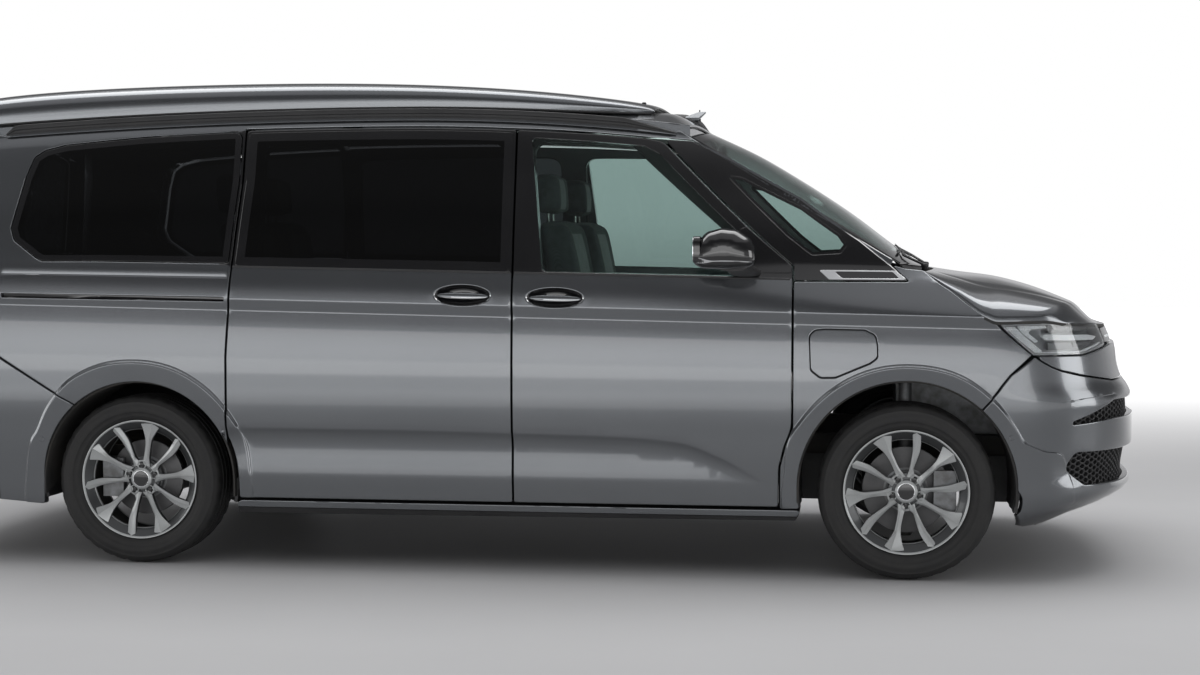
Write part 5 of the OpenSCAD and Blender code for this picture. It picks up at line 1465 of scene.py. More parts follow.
@dataclass
class RearEnd:
    """Tailgate, rear bumper and tail lamps."""

    def roof_line(self, y: float) -> float:
        """Height of the roof's rear edge."""
        return float(RoofSet.top(np.float64(LID_X), np.float64(y / 774.5)))

    def tailgate(self) -> None:
        """The tailgate and its window."""
        low = [(300, 643.5), (650, 643.5), (690, 650), (696.5, 690), (697, 882), (768, 962), (768.5, 1180)]
        tops = [(y, self.roof_line(y) - 6) for y in (676, 560, 400, 200, 0.01)]
        half = SKIN.from_end([(0.01, 643.5), *low, *tops], False)
        # The girth grows towards the nose, so the left half runs from the bottom's middle up to the top's
        outline = soften(across_tail(half), 22, 4)
        glass = [(690, 1262), (622, 1715), (500, 1745), (-500, 1745), (-622, 1715), (-690, 1262)]
        hole = soften(SKIN.from_end(glass, False), 44, 6)
        groove = [SKIN.from_end([(y, 1085 + by) for y in np.linspace(700, -700, 60)], False) for by in (-6,
            -2, 2, 6)]

        def relief(g: Array, v: Array) -> Array:
            """A step across the tailgate, and the hollow of the number plate."""
            p = SKIN.point(g, v)
            inside = blend01((330 - np.abs(p[:, 1])) / 26) * blend01((1000 - p[:, 2]) / 26) * blend01(
                (p[:, 2] - 838) / 26)
            return 9 * blend01((p[:, 2] - 1079) / 12) * blend01((1230 - p[:, 2]) / 140) + 16 * inside

        rows = (838.0, 851.0, 864.0, 974.0, 987.0, 1000.0)
        panel = Panel("tailgate_skin", outline, [hole], 88.0, relief, groove, rows, step=22,
                      slot_of=lambda g, v, kind: np.where(kind == 2, 2, np.where(v > BELT_H + 40, 1, 0)))
        dress(panel.build(), "tailgate", PAL["paint"], PAL["gloss_black"], PAL["trim_grey"], slot="paint",
              instead_of=("tailgate",))
        pane = soften(SKIN.from_end([(y * 0.995, z) for y, z in glass], False), 42, 6)
        pane = pane if signed_area(pane) > 0 else pane[::-1]
        marks = spaced(pane, 8)
        border = marks + inward(marks) * 34
        window = Panel("tailgate_glass", pane, (), 5.0, front=1.5, edge=1.0, step=40,
                       creases=[np.vstack([border, border[:1]])], slot_of=lambda g, v,
                       kind: np.where(nearest(np.column_stack([g, v]), marks) < 34, 1, 0))
        dress(window.build(), "tailgate", PAL["dark_glass"], PAL["gloss_black"], slot="dark_glass",
              instead_of=("tailgate_window",))
        plate = SKIN.from_end([(258, 862), (258, 970), (-258, 970), (-258, 862)], False)
        plate = plate if signed_area(plate) > 0 else plate[::-1]
        dress(Panel("tailgate_plate", soften(plate, 8), (), 12.0, front=12.5, edge=1.2, step=60).build(),
              "tailgate", PAL["blank_plate"], slot="paint")
        grip = SKIN.from_end([(300, 1008), (300, 1052), (-300, 1052), (-300, 1008)], False)
        grip = grip if signed_area(grip) > 0 else grip[::-1]
        dress(Panel("tailgate_grip", soften(grip, 12), (), 18.0, front=-2.5, edge=4.0, step=30).build(),
              "tailgate", PAL["bright_trim"], slot="wheel_silver")

    def bumper(self) -> None:
        """The rear bumper with its black lower part."""
        cx, cz = ARCH.rear_at
        low = SKIN.from_end([(0.01, 262), (400, 262), (780, 262)], False)
        side = SKIN.from_side([(-2400, 262), (-2095, 256), (-1888, 240),
                               *ring_arc(cx, cz, 408, 180, 131.4, 26),
                               (-1742, 656.5), (-2061, 845.5), (-2254, 899), (-2400, 899)])
        top = SKIN.from_end([(740, 900), (704, 880), (704, 700), (700, 652), (670, 636.5), (0.01, 636.5)],
                            False)
        outline = soften(across_tail(np.vstack([low, side, top])), 9, 3)

        def relief(g: Array, v: Array) -> Array:
            """Flare, and a step under the tailgate."""
            g2 = np.where(g < -SKIN.tail_mid, -2 * SKIN.tail_mid - g, g)
            p = SKIN.point(g, v)
            step = 10 * blend01((372 - v) / 14) * blend01((-2080 - p[:, 0]) / 60)
            return ARCH.relief(g2, v) + step

        def slots(g: Array, v: Array, kind: int) -> Array:
            """Black plastic below, paint above."""
            p = SKIN.point(g, v)
            return np.where((kind == 2) | ((v < 366) & (p[:, 0] < -2086)), 1, 0)

        lines = [*ARCH.lines()[3:]]
        lines += [np.column_stack([-2 * SKIN.tail_mid - c[:, 0], c[:, 1]]) for c in lines]
        panel = Panel("rear_bumper_skin", outline, (), 38.0, relief, lines, (358.0, 366.0, 374.0, 566.0),
                      step=22, slot_of=slots)
        dress(panel.build(), "body", PAL["paint"], PAL["black_plastic"], slot="paint",
              instead_of=("rear_bumper",))
        for mirrored in (False, True):
            end = "right" if mirrored else "left"
            strip = soften(SKIN.from_end([(560, 420), (760, 420), (772, 436), (560, 436)], False), 4)
            strip = strip if signed_area(strip) > 0 else strip[::-1]
            dress(Panel(f"rear_reflector_{end}", strip, (), 8.0, front=-1.5, edge=1.2,
                        step=20).build(mirrored),
                  "body", PAL["lamp_red"], slot="lamp_red")

    def lamps(self) -> None:
        """The tail lamps, which wrap round the corners."""
        side = SKIN.from_side([(-2399, 908.5), (-2459, 1033)])
        rear = SKIN.from_end([(775, 1033), (775, 962), (733, 908.5)], False)
        outline = np.vstack([side, rear])
        outline = soften(outline if signed_area(outline) > 0 else outline[::-1], 7, 3)
        for mirrored in (False, True):
            end = "right" if mirrored else "left"
            panel = Panel(f"tail_lamp_{end}", outline, (), 60.0, edge=2.5, rows=(946.0, 952.0, 990.0, 996.0),
                          step=14,
                          relief=lambda g, v: np.where((v > 949) & (v < 993), -1.5, 1.0) + 0 * g,
                          slot_of=lambda g, v, kind: np.where((v > 949) & (v < 993), 1, 0))
            obj = panel.build(mirrored)
            dress(obj, "body", PAL["lamp_red"], PAL["lamp_chrome"], slot="lamp_red",
                  instead_of=("tail_lamps",) if not mirrored else ())

    def build(self) -> None:
        """Builds the rear end."""
        self.tailgate()
        self.bumper()
        self.lamps()


@dataclass
class RoofSet:
    """The fixed roof, the rails, the lifting roof, the windscreen and the bonnet."""

    pop_x0: float = -2398.0
    pop_x1: float = AXLE_F - 1020
    pop_half: float = 735.0

    mid = staticmethod(smooth_table([(LID_X, 1862), (-2000, 1874), (-1000, 1888), (-400, 1888), (300, 1880),
                                     (AXLE_F - 1040, 1874), (AXLE_F - 975, 1868), (AXLE_F - 900, 1836),
                                     (AXLE_F - 822, 1790)]))
    screen_line = staticmethod(smooth_table([(AXLE_F - 900, 1826), (AXLE_F - 820, 1790), (AXLE_F - 622, 1697),
                                             (AXLE_F - 446, 1594), (AXLE_F - 230, 1453), (AXLE_F - 12, 1290),
                                             (SCREEN_FRONT, 1218), (AXLE_F + 160, 1176)]))
    bonnet_line = staticmethod(smooth_table([(AXLE_F + 96, 1218), (AXLE_F + 245, 1196), (AXLE_F + 374, 1180),
                                             (AXLE_F + 502, 1150), (AXLE_F + 672, 1086), (AXLE_F + 778, 1034),
                                             (AXLE_F + 842, 986)]))
    bonnet_side = staticmethod(smooth_table([(AXLE_F + 58, 1213), (AXLE_F + 124, 1166), (AXLE_F + 200, 1112),
                                             (AXLE_F + 298, 1036), (AXLE_F + 342, 1020), (AXLE_F + 548, 1024),
                                             (AXLE_F + 737, 1018), (NOSE_X, 990)]))

    @staticmethod
    def top(x: Array, h: Array) -> Array:
        """Height of the fixed roof."""
        middle = RoofSet.mid(x)
        edge = np.minimum(SKIN.cant(x) + 46, middle)
        return middle + (edge - middle) * np.abs(h) ** 3

    def width(self, x: Array) -> Array:
        """Half width of the fixed roof between the rails."""
        return HALF_W - 152 - 36 - 0.6 - HALF_W + SKIN.half(x) - SKIN.taper(np.float64(CANT_H), x)

    def roof(self) -> None:
        """The fixed roof, with the hatch under the lifting roof left as the source has it."""
        def surface(u: Array, h: Array, d: Array) -> Array:
            """The front of the roof, from the lifting roof to the windscreen."""
            x = 560 + (AXLE_F - 829 - 34 * h * h - 560) * u
            return np.stack([x, h * (self.width(x) - 0.2), self.top(x, h) - d + 0.6], -1)

        obj = shell("roof_front", surface, np.linspace(0, 1, 26), np.linspace(-1, 1, 61), 6.0, 1.5,
                    (260, 720))
        dress(obj, "body", PAL["paint"], slot="paint")

        def border(u: Array, h: Array, d: Array) -> Array:
            """Black seal between the roof and the windscreen."""
            x = AXLE_F - 829 - 34 * h * h + 10 * u - 3
            return np.stack([x, h * (self.width(x) - 2),
                             self.top(AXLE_F - 829 - 34 * h * h, h) - 4.5 - d - 5 * u], -1)

        dress(shell("roof_seal", border, np.linspace(0, 1, 5), np.linspace(-1, 1, 61), 6.0, 1.0, (12, 720)),
              "body", PAL["black_plastic"], slot="black_plastic")

    def lid_under(self, x: Array, y: Array) -> Array:
        """Height of a layer just above the lifting roof's lower face."""
        mid, length = (self.pop_x0 + self.pop_x1) / 2, (self.pop_x1 - self.pop_x0) / 2
        q = (x - mid) / length
        m = np.where(q > 0, 3.0, 5.0)
        narrow = 1 - 0.16 * np.maximum(0, (x + 200) / (self.pop_x1 + 200)) ** 3
        h = np.abs(y) / (self.pop_half * narrow)
        rise = (1 - np.clip(np.abs(q), 0, 1) ** m) ** (1 / m) * (1 - np.clip(h, 0, 1) ** 5) ** 0.2
        base = self.top(x, np.minimum(1, np.abs(y) / self.width(x))) + 9
        crown = 1994.8 - np.where(x > -950, 3.1e-5, 2.1e-5) * (x + 950) ** 2
        return base + np.maximum(0, (crown - base) * rise - 20 * (0.2 + 0.8 * rise))

    def lifting_roof(self) -> None:
        """The lifting roof: crowned shell with a bead along its rim."""
        mid, length = (self.pop_x0 + self.pop_x1) / 2, (self.pop_x1 - self.pop_x0) / 2

        def surface(u: Array, h: Array, d: Array) -> Array:
            """Place on the shell; the first and last steps close in towards its ends."""
            t = u * 2 - 1
            share = np.sign(t) * (1 - (1 - np.abs(t)) ** 1.6)
            x = mid + share * length * 0.9995
            q = (x - mid) / length
            m = np.where(q > 0, 3.0, 5.0)
            hh = np.sign(h) * (1 - (1 - np.abs(h)) ** 1.5)
            inner = hh * (1 - d / self.pop_half)
            rise = (1 - np.clip(np.abs(q) * (1 - d / length), 0, 1) ** m) ** (1 / m) * (
                1 - np.clip(np.abs(hh), 0, 1) ** 5) ** 0.2
            narrow = 1 - 0.16 * np.maximum(0, (x + 200) / (self.pop_x1 + 200)) ** 3
            base = self.top(x, np.minimum(1, np.abs(inner) * self.pop_half * narrow / self.width(x))) + 9
            crown = 1994.8 - np.where(x > -950, 3.1e-5, 2.1e-5) * (x + 950) ** 2
            lift = np.where(d > 3.5, -d * (0.2 + 0.8 * rise), 4 - d)
            ribs = 2.2 * (np.cos(hh * 21) > 0.55) * blend01((0.8 - np.abs(hh)) / 0.1) * blend01((0.86 - np.abs(q)) / 0.08)
            z = base + np.maximum(0, (crown - base) * rise + lift - np.where(d < 3.5, 2.2 - ribs, 0) * rise)
            return np.stack([x + (mid - x) * d / length, inner * self.pop_half * narrow, z], -1)

        obj = shell("lifting_roof_shell", surface, np.linspace(0, 1, 60), np.linspace(-1, 1, 101), 26.0, 2.5,
                    (2 * length, 735), 40, slot_of=lambda mids, outside: np.where(outside, 0, 1))
        dress(obj, "lifting_roof", PAL["paint"], PAL["head_lining"], slot="paint", instead_of=("pop_roof",))

        def bead(u: Array) -> Array:
            """Path of the black seal under the rim."""
            p = surface(u[:, 0], u[:, 1], np.full(len(u), 3.0))
            return p

        ring = [(t, -1.0) for t in np.linspace(0.02, 0.98, 120)] + [(0.98, h) for h in np.linspace(-1, 1, 60)]
        ring += [(t, 1.0) for t in np.linspace(0.98, 0.02, 120)] + [(0.02, h) for h in np.linspace(1, -1, 60)]
        path = bead(np.array(ring)) - (0, 0, 3.4)
        centre = path.mean(0)
        path[:, :2] = centre[:2] + (path[:, :2] - centre[:2]) * 0.9985
        seal = tube("lifting_roof_seal", path, 5.2, 8, closed=True)
        dress(seal, "lifting_roof", PAL["black_plastic"], slot="black_plastic")

    def rails(self) -> None:
        """Black roof rails with a groove along each."""
        profile = [(0, 0), (0, 9), (1.5, 12), (1.5, 15), (5, 17), (5, 26), (1.5, 28), (0, 30), (0, 42),
                   (2, 46.5),
                   (6, 48), (30, 48), (34, 46.5), (36, 42), (36, 0)]
        xs = np.concatenate([[-2085, -2080, -2070, -2050], np.linspace(-2020, AXLE_F - 1180, 60),
                             np.linspace(AXLE_F - 1160, AXLE_F - 916, 26)])
        for mirrored in (False, True):
            rings = []
            for x in xs:
                rise = np.clip(0.35 + (x + 2085) / 60, 0, 1) * np.clip(0.2 + (AXLE_F - 915 - x) / 260, 0, 1)
                p = np.array(profile, float)
                y = SKIN.half(x) - 152 - SKIN.taper(np.float64(CANT_H), x) - p[:, 0]
                rings.append(np.column_stack([np.full(len(p), x), y, SKIN.cant(x) + 0.3 + p[:, 1] * rise]))
            m = len(profile)
            faces = [(k * m + i, k * m + (i + 1) % m, (k + 1) * m + (i + 1) % m, (k + 1) * m + i)
                     for k in range(len(xs) - 1) for i in range(m)]
            faces += [tuple(range(m)), tuple(range((len(xs) - 1) * m, len(xs) * m))]
            end = "right" if mirrored else "left"
            painted = np.array([int(i == 0) for _ in range(len(xs) - 1) for i in range(m)] + [0, 0])
            obj = new_piece(f"roof_rail_{end}", np.vstack(rings), faces, painted, mirrored=mirrored)
            dress(obj, "body", PAL["black_plastic"], PAL["paint"], slot="black_plastic",
                  instead_of=("roof_rails",) if not mirrored else ())

    def glass_point(self, u: Array, h: Array, d: Array) -> Array:
        """Place on the windscreen."""
        x = AXLE_F - 822 - 34 * h * h + (SCREEN_FRONT - 12 - 112 * h * h - AXLE_F + 822 + 34 * h * h) * u
        edge = 1739 + (1261 - 1739) / 788 * (x - AXLE_F + 856) + 6.6
        half = SKIN.half(x) - 56 - SKIN.inset(SKIN.nominal(edge, x),
                                              x) - SKIN.taper(np.float64(BELT_H + 200), x)
        middle = self.screen_line(x)
        return np.stack([x, h * half, middle + (edge - middle) * h * h - d], -1)

    def windscreen(self) -> None:
        """The windscreen with its printed border."""

        def border(mids: Array, outside: Array) -> Array:
            """The border has its own finish."""
            x, y = mids[:, 0], np.abs(mids[:, 1])
            front = SCREEN_FRONT - 12 - 112 * (y / 830) ** 2
            back = AXLE_F - 822 - 34 * (y / 720) ** 2
            edge = 1739 + (1261 - 1739) / 788 * (x - AXLE_F + 856) + 6.6
            full = SKIN.half(x) - 56 - SKIN.inset(SKIN.nominal(edge, x), x) - SKIN.taper(np.float64(1395), x)
            sensor = (y < 60) & (x < back + 150)
            return np.where((y > full - 34) | (x > front - 92) | (x < back + 42) | sensor, 1, 0)

        obj = shell("windscreen_glass", self.glass_point, np.linspace(0, 1, 44), np.linspace(-1, 1, 49),
                    GLASS_T, 1.0,
                    (1050, 760), slot_of=border)
        dress(obj, "body", PAL["clear_glass"], PAL["gloss_black"], slot="clear_glass",
              instead_of=("windscreen",))

    def bonnet_point(self, u: Array, h: Array, d: Array) -> Array:
        """Place on the bonnet."""
        e0, e1 = AXLE_F + 62, float(self.nose_at(815.0, 1018.0))
        edge_x = e0 + (e1 - e0) * u
        w = self.skin_half(edge_x, self.bonnet_side(edge_x))
        rear = AXLE_F + 128 - 66 * h * h
        x = rear + (self.nose_at(np.abs(h) * 815, np.full(h.shape, 1008.0)) - 3 - rear) * u
        edge, middle = self.bonnet_side(x), self.bonnet_line(x)
        s = np.abs(h)
        crown = (1 - s ** 2.4) ** (1 / 2.4)
        fold = 7 * np.exp(-((np.abs(h) - 0.73) / 0.028) ** 2) * blend01(u / 0.15) * blend01((1 - u) / 0.2)
        lip = blend01((u - 0.8) / 0.2)
        z = (edge + (middle - edge) * crown) * (1 - lip) + (986 + 24 * h * h) * lip
        return np.stack([x, h * w, z - d - 3 * fold / 7], -1)

    def nose_at(self, y: Array | float, z: Array | float) -> Array:
        """Place of the nose at a distance from its middle."""
        n = 2.9
        share = (1 - np.clip(np.abs(y) / (float(SKIN.half(np.float64(SKIN.nose_start))) - 6), 0,
                             1) ** n) ** (1 / n)
        return SKIN.nose_start + (780 - SKIN.nose_back(np.asarray(z, float))) * share

    def skin_half(self, x: Array, z: Array) -> Array:
        """Half width of the nose at x and a height."""
        x, z = np.broadcast_arrays(np.asarray(x, float), np.asarray(z, float))
        flat = SKIN.from_side(np.column_stack([x.ravel(), z.ravel()]))
        return np.abs(SKIN.point(flat[:, 0], flat[:, 1])[:, 1]).reshape(x.shape)

    def bonnet(self) -> None:
        """The bonnet."""
        hs = np.sin(np.linspace(-1, 1, 77) * math.pi / 2)

        def slots(mids: Array, outside: Array) -> Array:
            """Dark underside."""
            return np.where(outside, 0, 1)

        obj = shell("bonnet_skin", self.bonnet_point, np.linspace(0, 1, 56), hs, 15.0, 3.0, (850, 880),
                    slot_of=slots)
        dress(obj, "bonnet", PAL["paint"], PAL["underbody"], slot="paint", instead_of=("bonnet",))

    def build(self) -> None:
        """Builds the roofs, the rails, the windscreen and the bonnet."""
        self.roof()
        self.lifting_roof()
        self.rails()
        self.windscreen()
        self.bonnet()


def tube(name: str, path: Array, radius: float, sides: int = 10, closed: bool = False) -> bpy.types.Object:
    """Builds a round bar along a path in millimetres."""
    p = np.asarray(path, float)
    if closed:
        ahead, behind = np.roll(p, -1, 0), np.roll(p, 1, 0)
    else:
        ahead, behind = np.vstack([p[1:], p[-1:]]), np.vstack([p[:1], p[:-1]])
    t = ahead - behind
    t /= np.maximum(np.linalg.norm(t, axis=1, keepdims=True), 1e-9)
    up = np.where(np.abs(t[:, 2:3]) > 0.9, np.array([[1.0, 0, 0]]), np.array([[0, 0, 1.0]]))
    a = np.cross(t, up)
    a /= np.linalg.norm(a, axis=1, keepdims=True)
    b = np.cross(t, a)
    rings = []
    for w in np.linspace(0, 2 * math.pi, sides + 1)[:-1]:
        rings.append(p + radius * (a * math.cos(w) + b * math.sin(w)))
    pts = np.stack(rings, 1).reshape(-1, 3)
    n = len(p)
    faces = [(k * sides + i, k * sides + (i + 1) % sides, ((k + 1) % n) * sides + (i + 1) % sides,
              ((k + 1) % n) * sides + i) for k in range(n if closed else n - 1) for i in range(sides)]
    if not closed:
        faces += [tuple(range(sides)), tuple(range((n - 1) * sides, n * sides))]
    return new_piece(name, pts, faces, smooth=60)


@dataclass
class Kit:
    """Collects closed forms, in millimetres, into one piece."""

    points: list = field(default_factory=list)
    faces: list = field(default_factory=list)
    slots: list = field(default_factory=list)

    def add(self, points: Array, faces: Iterable[Sequence[int]], slot: int | Sequence[int] = 0) -> None:
        """Adds a form; slot is one number or one for each face."""
        base = sum(len(p) for p in self.points)
        faces = [tuple(int(i) + base for i in f) for f in faces]
        self.points.append(np.asarray(points, float))
        self.faces += faces
        self.slots += [slot] * len(faces) if isinstance(slot, int) else list(slot)

    def loft(self, rings: Sequence[Array], slot: int | Sequence[int] = 0, closed: bool = False,
             around: bool = True, end: int = 0) -> None:
        """Joins rings of equal length.

        Args:
            rings: Rows of points, one ring each.
            slot: Slot of all faces, or one for each step round a ring.
            closed: Whether the last ring joins the first.
            around: Whether the rings have caps at both ends when they aren't closed.
            end: Slot of the caps.
        """
        n, m = len(rings), len(rings[0])
        last = n if closed else n - 1
        faces = [(k * m + i, k * m + (i + 1) % m, (k + 1) % n * m + (i + 1) % m, (k + 1) % n * m + i)
                 for k in range(last) for i in range(m)]
        slots = [slot if isinstance(slot, int) else slot[i] for _ in range(last) for i in range(m)]
        if not closed and around:
            faces += [tuple(range(m)), tuple(range((n - 1) * m, n * m))]
            slots += [end, end]
        self.add(np.vstack(rings), faces, slots)

    def revolve(self, profile: Sequence[tuple[float, float]], slot: int | Sequence[int] = 0, n: int = 96,
                middle: tuple[float, float] = (0.0, 0.0)) -> None:
        """Turns a closed profile of radius and distance along y round an axle along y."""
        p = np.array(profile, float)
        rings = []
        for a in np.linspace(0, 2 * math.pi, n + 1)[:-1]:
            r = np.maximum(p[:, 0], 0.0)
            rings.append(np.column_stack([middle[0] + r * math.sin(a), p[:, 1], middle[1] + r * math.cos(a)]))
        self.loft(rings, slot, closed=True)

    def revolve_z(self, at: tuple[float, float], profile: Sequence[tuple[float, float]], slot: int = 0,
                  n: int = 24) -> None:
        """Turns an open profile of radius and height round an upright axis."""
        rings = []
        for r, z in profile:
            a = np.linspace(0, 2 * math.pi, n + 1)[:-1]
            r = max(r, 0.01)
            rings.append(np.column_stack([at[0] + r * np.cos(a), at[1] + r * np.sin(a), np.full(n, z)]))
        self.loft(rings, slot, end=slot)

    def bar(self, path: Sequence[Array], radii: Sequence[float], flat: float = 1.0, slot: int = 0,
            sides: int = 12) -> None:
        """Adds a bar along a path; flat is its height as a share of its width."""
        p = np.array(path, float)
        t = np.gradient(p, axis=0)
        t /= np.maximum(np.linalg.norm(t, axis=1, keepdims=True), 1e-9)
        up = np.where(np.abs(t[:, 2:3]) > 0.9, np.array([[1.0, 0, 0]]), np.array([[0, 0, 1.0]]))
        a = np.cross(t, up)
        a /= np.linalg.norm(a, axis=1, keepdims=True)
        b = np.cross(t, a)
        r = np.asarray(radii, float)[:, None]
        rings = [p + r * (a * math.cos(w) + b * math.sin(w) * flat) for w in
                 np.linspace(0, 2 * math.pi, sides + 1)[:-1]]
        self.loft(list(np.stack(rings, 1)), slot, end=slot)

    def block(self, low: Sequence[float], high: Sequence[float], bevel: float = 3.0, slot: int = 0) -> None:
        """Adds a box with rounded upright and level edges."""
        low, high = np.array(low, float), np.array(high, float)
        b = min(bevel, float((high - low).min()) * 0.45)
        rings = []
        for z, out in ((low[2], b), (low[2] + b * 0.3, b * 0.3), (low[2] + b, 0), (high[2] - b, 0),
                       (high[2] - b * 0.3, b * 0.3), (high[2], b)):
            x0, y0, x1, y1 = low[0] + out, low[1] + out, high[0] - out, high[1] - out
            c = b * 0.9
            loop = soften([(x0, y0), (x1, y0), (x1, y1), (x0, y1)], max(c, 0.7), 3)
            rings.append(np.column_stack([loop, np.full(len(loop), z)]))
        self.loft(rings, slot, end=slot)

    def make(self, name: str, mirrored: bool = False, smooth: float = 32.0) -> bpy.types.Object:
        """Builds the piece."""
        return new_piece(name, np.vstack(self.points), self.faces, self.slots, smooth=smooth,
                         mirrored=mirrored)


@dataclass
class Wheel:
    """A wheel: rim, five pairs of spokes, hub, brake disc and tyre, built with its axle along y."""

    x: float
    disc_r: float
    turn: float
    pairs: int = 5
    bolt_r: float = 56.0

    # Edges of the wide and the narrow spoke of a pair: radius, and angle from the pair's root
    wide = ((57, -33, -1), (70, -33, -9), (95, -29.8, -16.5), (136, -28.2, -19.2), (160, -28.8, -19.8),
            (200, -31.8, -16.8), (226, -34.2, -14.8), (238, -35.0, -14.4))
    narrow = ((57, 1, 30), (70, 5.5, 27), (95, 8.0, 17.5), (130, 8.7, 18.0), (159, 8.6, 18.2),
              (200, 7.0, 16.3),
              (226, 6.0, 14.4), (238, 5.8, 14.2))

    def spoke(self, kit: Kit, rows: Sequence[tuple[float, float, float]], root: float, ridge: float) -> None:
        """Adds a spoke: its face falls from a ridge to both sides.

        Args:
            kit: The piece.
            rows: Radius and both edges' angles.
            root: Angle of the pair's root.
            ridge: Place of the ridge between the edges, from 0 to 1.
        """
        table = np.array(rows, float)
        radii = np.linspace(57, 238, 26)
        a0 = smooth_table(list(zip(table[:, 0], table[:, 1])))(radii)
        a1 = smooth_table(list(zip(table[:, 0], table[:, 2])))(radii)
        front = smooth_table([(57, 72), (80, 75), (120, 80), (180, 88), (226, 96), (238, 99)])(radii)
        rings = []
        for r, b, c, o in zip(radii, a0, a1, front):
            width = math.radians(c - b) * r
            rim = min(1.6 / width, 0.2)
            shape = [(0.03, -30), (0.0, -8), (0.0, -5.5), (rim, -4.0), (ridge - rim, -0.6), (ridge, 0.0),
                     (ridge + rim, -0.6), (1 - rim, -4.5), (1.0, -6.2), (1.0, -9), (0.97, -30)]
            ring = []
            for share, down in shape:
                a = math.radians(root + b + (c - b) * share)
                ring.append((r * math.sin(a), o + down, r * math.cos(a)))
            rings.append(np.array(ring))
        kit.loft(rings, [1, 1, 0, 0, 0, 0, 0, 0, 0, 1, 1], end=1)

    def rim(self, kit: Kit) -> None:
        """Adds the rim with its outer lip and the bright edge inside its barrel."""
        profile = [(245, 103), (245, 97), (233, 90), (229, 80), (229, -80), (233, -90), (245, -97),
                   (245, -103),
                   (237, -103), (224, -96), (219, -82), (216, -79), (216, -74), (218.5, -72), (218, 46),
                   (215, 50),
                   (206, 58), (204.5, 62), (204.5, 70), (207, 74), (214, 80), (226, 90), (234, 96.5),
                   (237, 98.4),
                   (239, 101.4), (241, 102.8)]
        slots = [0, 1, 1, 1, 1, 1, 1, 1, 1, 1, 0, 0, 0, 2, 2, 2, 1, 0, 0, 1, 1, 1, 1, 0, 0, 0]
        kit.revolve(profile, slots, 128)

    def hub(self, kit: Kit) -> None:
        """Adds the hub, its bolts and the plain cap."""
        kit.revolve([(0, 46), (70, 46), (74, 50), (74, 56), (70, 60), (48, 62), (46, 70), (44, 76.5),
                     (41, 79),
                     (37, 80.5), (0, 80.5)], [1, 1, 1, 1, 1, 0, 0, 0, 0, 0, 0])
        kit.revolve([(0, 78), (35, 78), (35.5, 81), (34.5, 82.6), (32.5, 82.9), (31.4, 82.2), (30.6, 81.2),
                     (28, 81.5), (0, 83.2)], [3, 3, 3, 3, 3, 4, 4, 4, 4])
        for k in range(self.pairs):
            a = math.radians(36 + 72 * k + self.turn)
            at = (self.bolt_r * math.sin(a), self.bolt_r * math.cos(a))
            kit.revolve([(13.5, 56), (18.5, 56), (19.5, 70), (18.7, 73), (17, 74.2), (15, 73.6), (14, 71)],
                        0, 28, at)
            kit.revolve([(0, 55), (12.2, 55), (12.2, 60), (9.8, 62), (9.6, 69), (8.4, 70.5), (0, 71)], 4, 6,
                        at)
        for k in range(self.pairs):
            # Web between a narrow spoke and the wide one of the next pair, round the bolt
            a0, a1 = (math.radians(72 * k + self.turn + w) for w in (24, 48))
            arc = np.linspace(a0, a1, 12)
            rings = []
            for r, o in ((75.5, 72.5), (77.5, 70), (77, 46), (70, 46), (70, 70), (72.5, 73)):
                rings.append(np.column_stack([r * np.sin(arc), np.full(12, o), r * np.cos(arc)]))
            kit.loft([np.array([ring[i] for ring in rings]) for i in range(12)], 0)

    def disc(self, kit: Kit) -> None:
        """Adds the brake disc with its vent slot and hat."""
        r = self.disc_r
        kit.revolve([(78, 13), (88, 13), (90, 12), (r - 6, 12.5), (r, 11.5), (r, 3), (r - 20, 3),
                     (r - 20, -4),
                     (r, -4), (r, -14), (r - 2, -15), (96, -15), (78, -13)],
                    [2, 3, 3, 3, 3, 4, 4, 4, 3, 3, 3, 3, 2], 112)
        kit.revolve([(60, -13), (78, -13), (78, 40), (74, 43.5), (60, 43.5)], 2, 64)

    def tyre(self, name: str, body: str, node: str, mirrored: bool) -> None:
        """Builds the tyre, with grooves round its tread, cuts across its shoulders and rings on its walls."""
        half = [(231.6, 84.6), (238, 89.5), (246, 95.6), (254, 100.8), (259, 104.5), (262, 107.5),
                (265, 108.6),
                (270, 110), (278, 114.2), (281, 117.4), (283, 117.6), (286, 118.9), (292, 119.2),
                (296, 119.8),
                (299, 119.2), (308, 117.6), (316, 115), (318, 115.6), (321, 114.8), (324, 111.5),
                (330, 107.6),
                (336, 102.5), (341, 95.6), (343.6, 89)]
        tread = [(344.6, 82), (345.2, 76), (345.6, 70), (345.7, 66), (338.2, 64.6), (338.2, 57.4),
                 (345.8, 56),
                 (345.9, 47), (345.9, 38), (345.9, 27), (338, 25.6), (338, 17.4), (345.9, 16), (345.9, 8),
                 (345.9, 0)]
        side = half + tread
        profile = [(r, o) for r, o in side] + [(r, -o) for r, o in side[-2::-1]] + [(228, -60), (228, 60)]
        p = np.array(profile)
        n = 144
        rings = []
        for k in range(n):
            a = 2 * math.pi * k / n
            r = p[:, 0].copy()
            o = p[:, 1]
            cut = k % 4 == 0
            shoulder = (np.abs(o) > 68) & (r > 336)
            r[shoulder & cut] -= 5.0 * np.clip((r[shoulder & cut] - 336) / 7, 0, 1)
            inner = (np.abs(o) < 55) & (np.abs(o) > 28) & (r > 342)
            if (k + 2) % 4 == 0:
                r[inner] -= 3.4
            wall = (r > 262) & (r < 277) & (np.abs(o) > 100)
            o2 = o + np.where(wall & (k % 2 == 0), -0.5 * np.sign(o), 0)
            rings.append(np.column_stack([r * math.sin(a), o2, r * math.cos(a)]))
        kit = Kit()
        kit.loft(rings, 0, closed=True)
        obj = self.placed(kit, name, mirrored, 40.0)
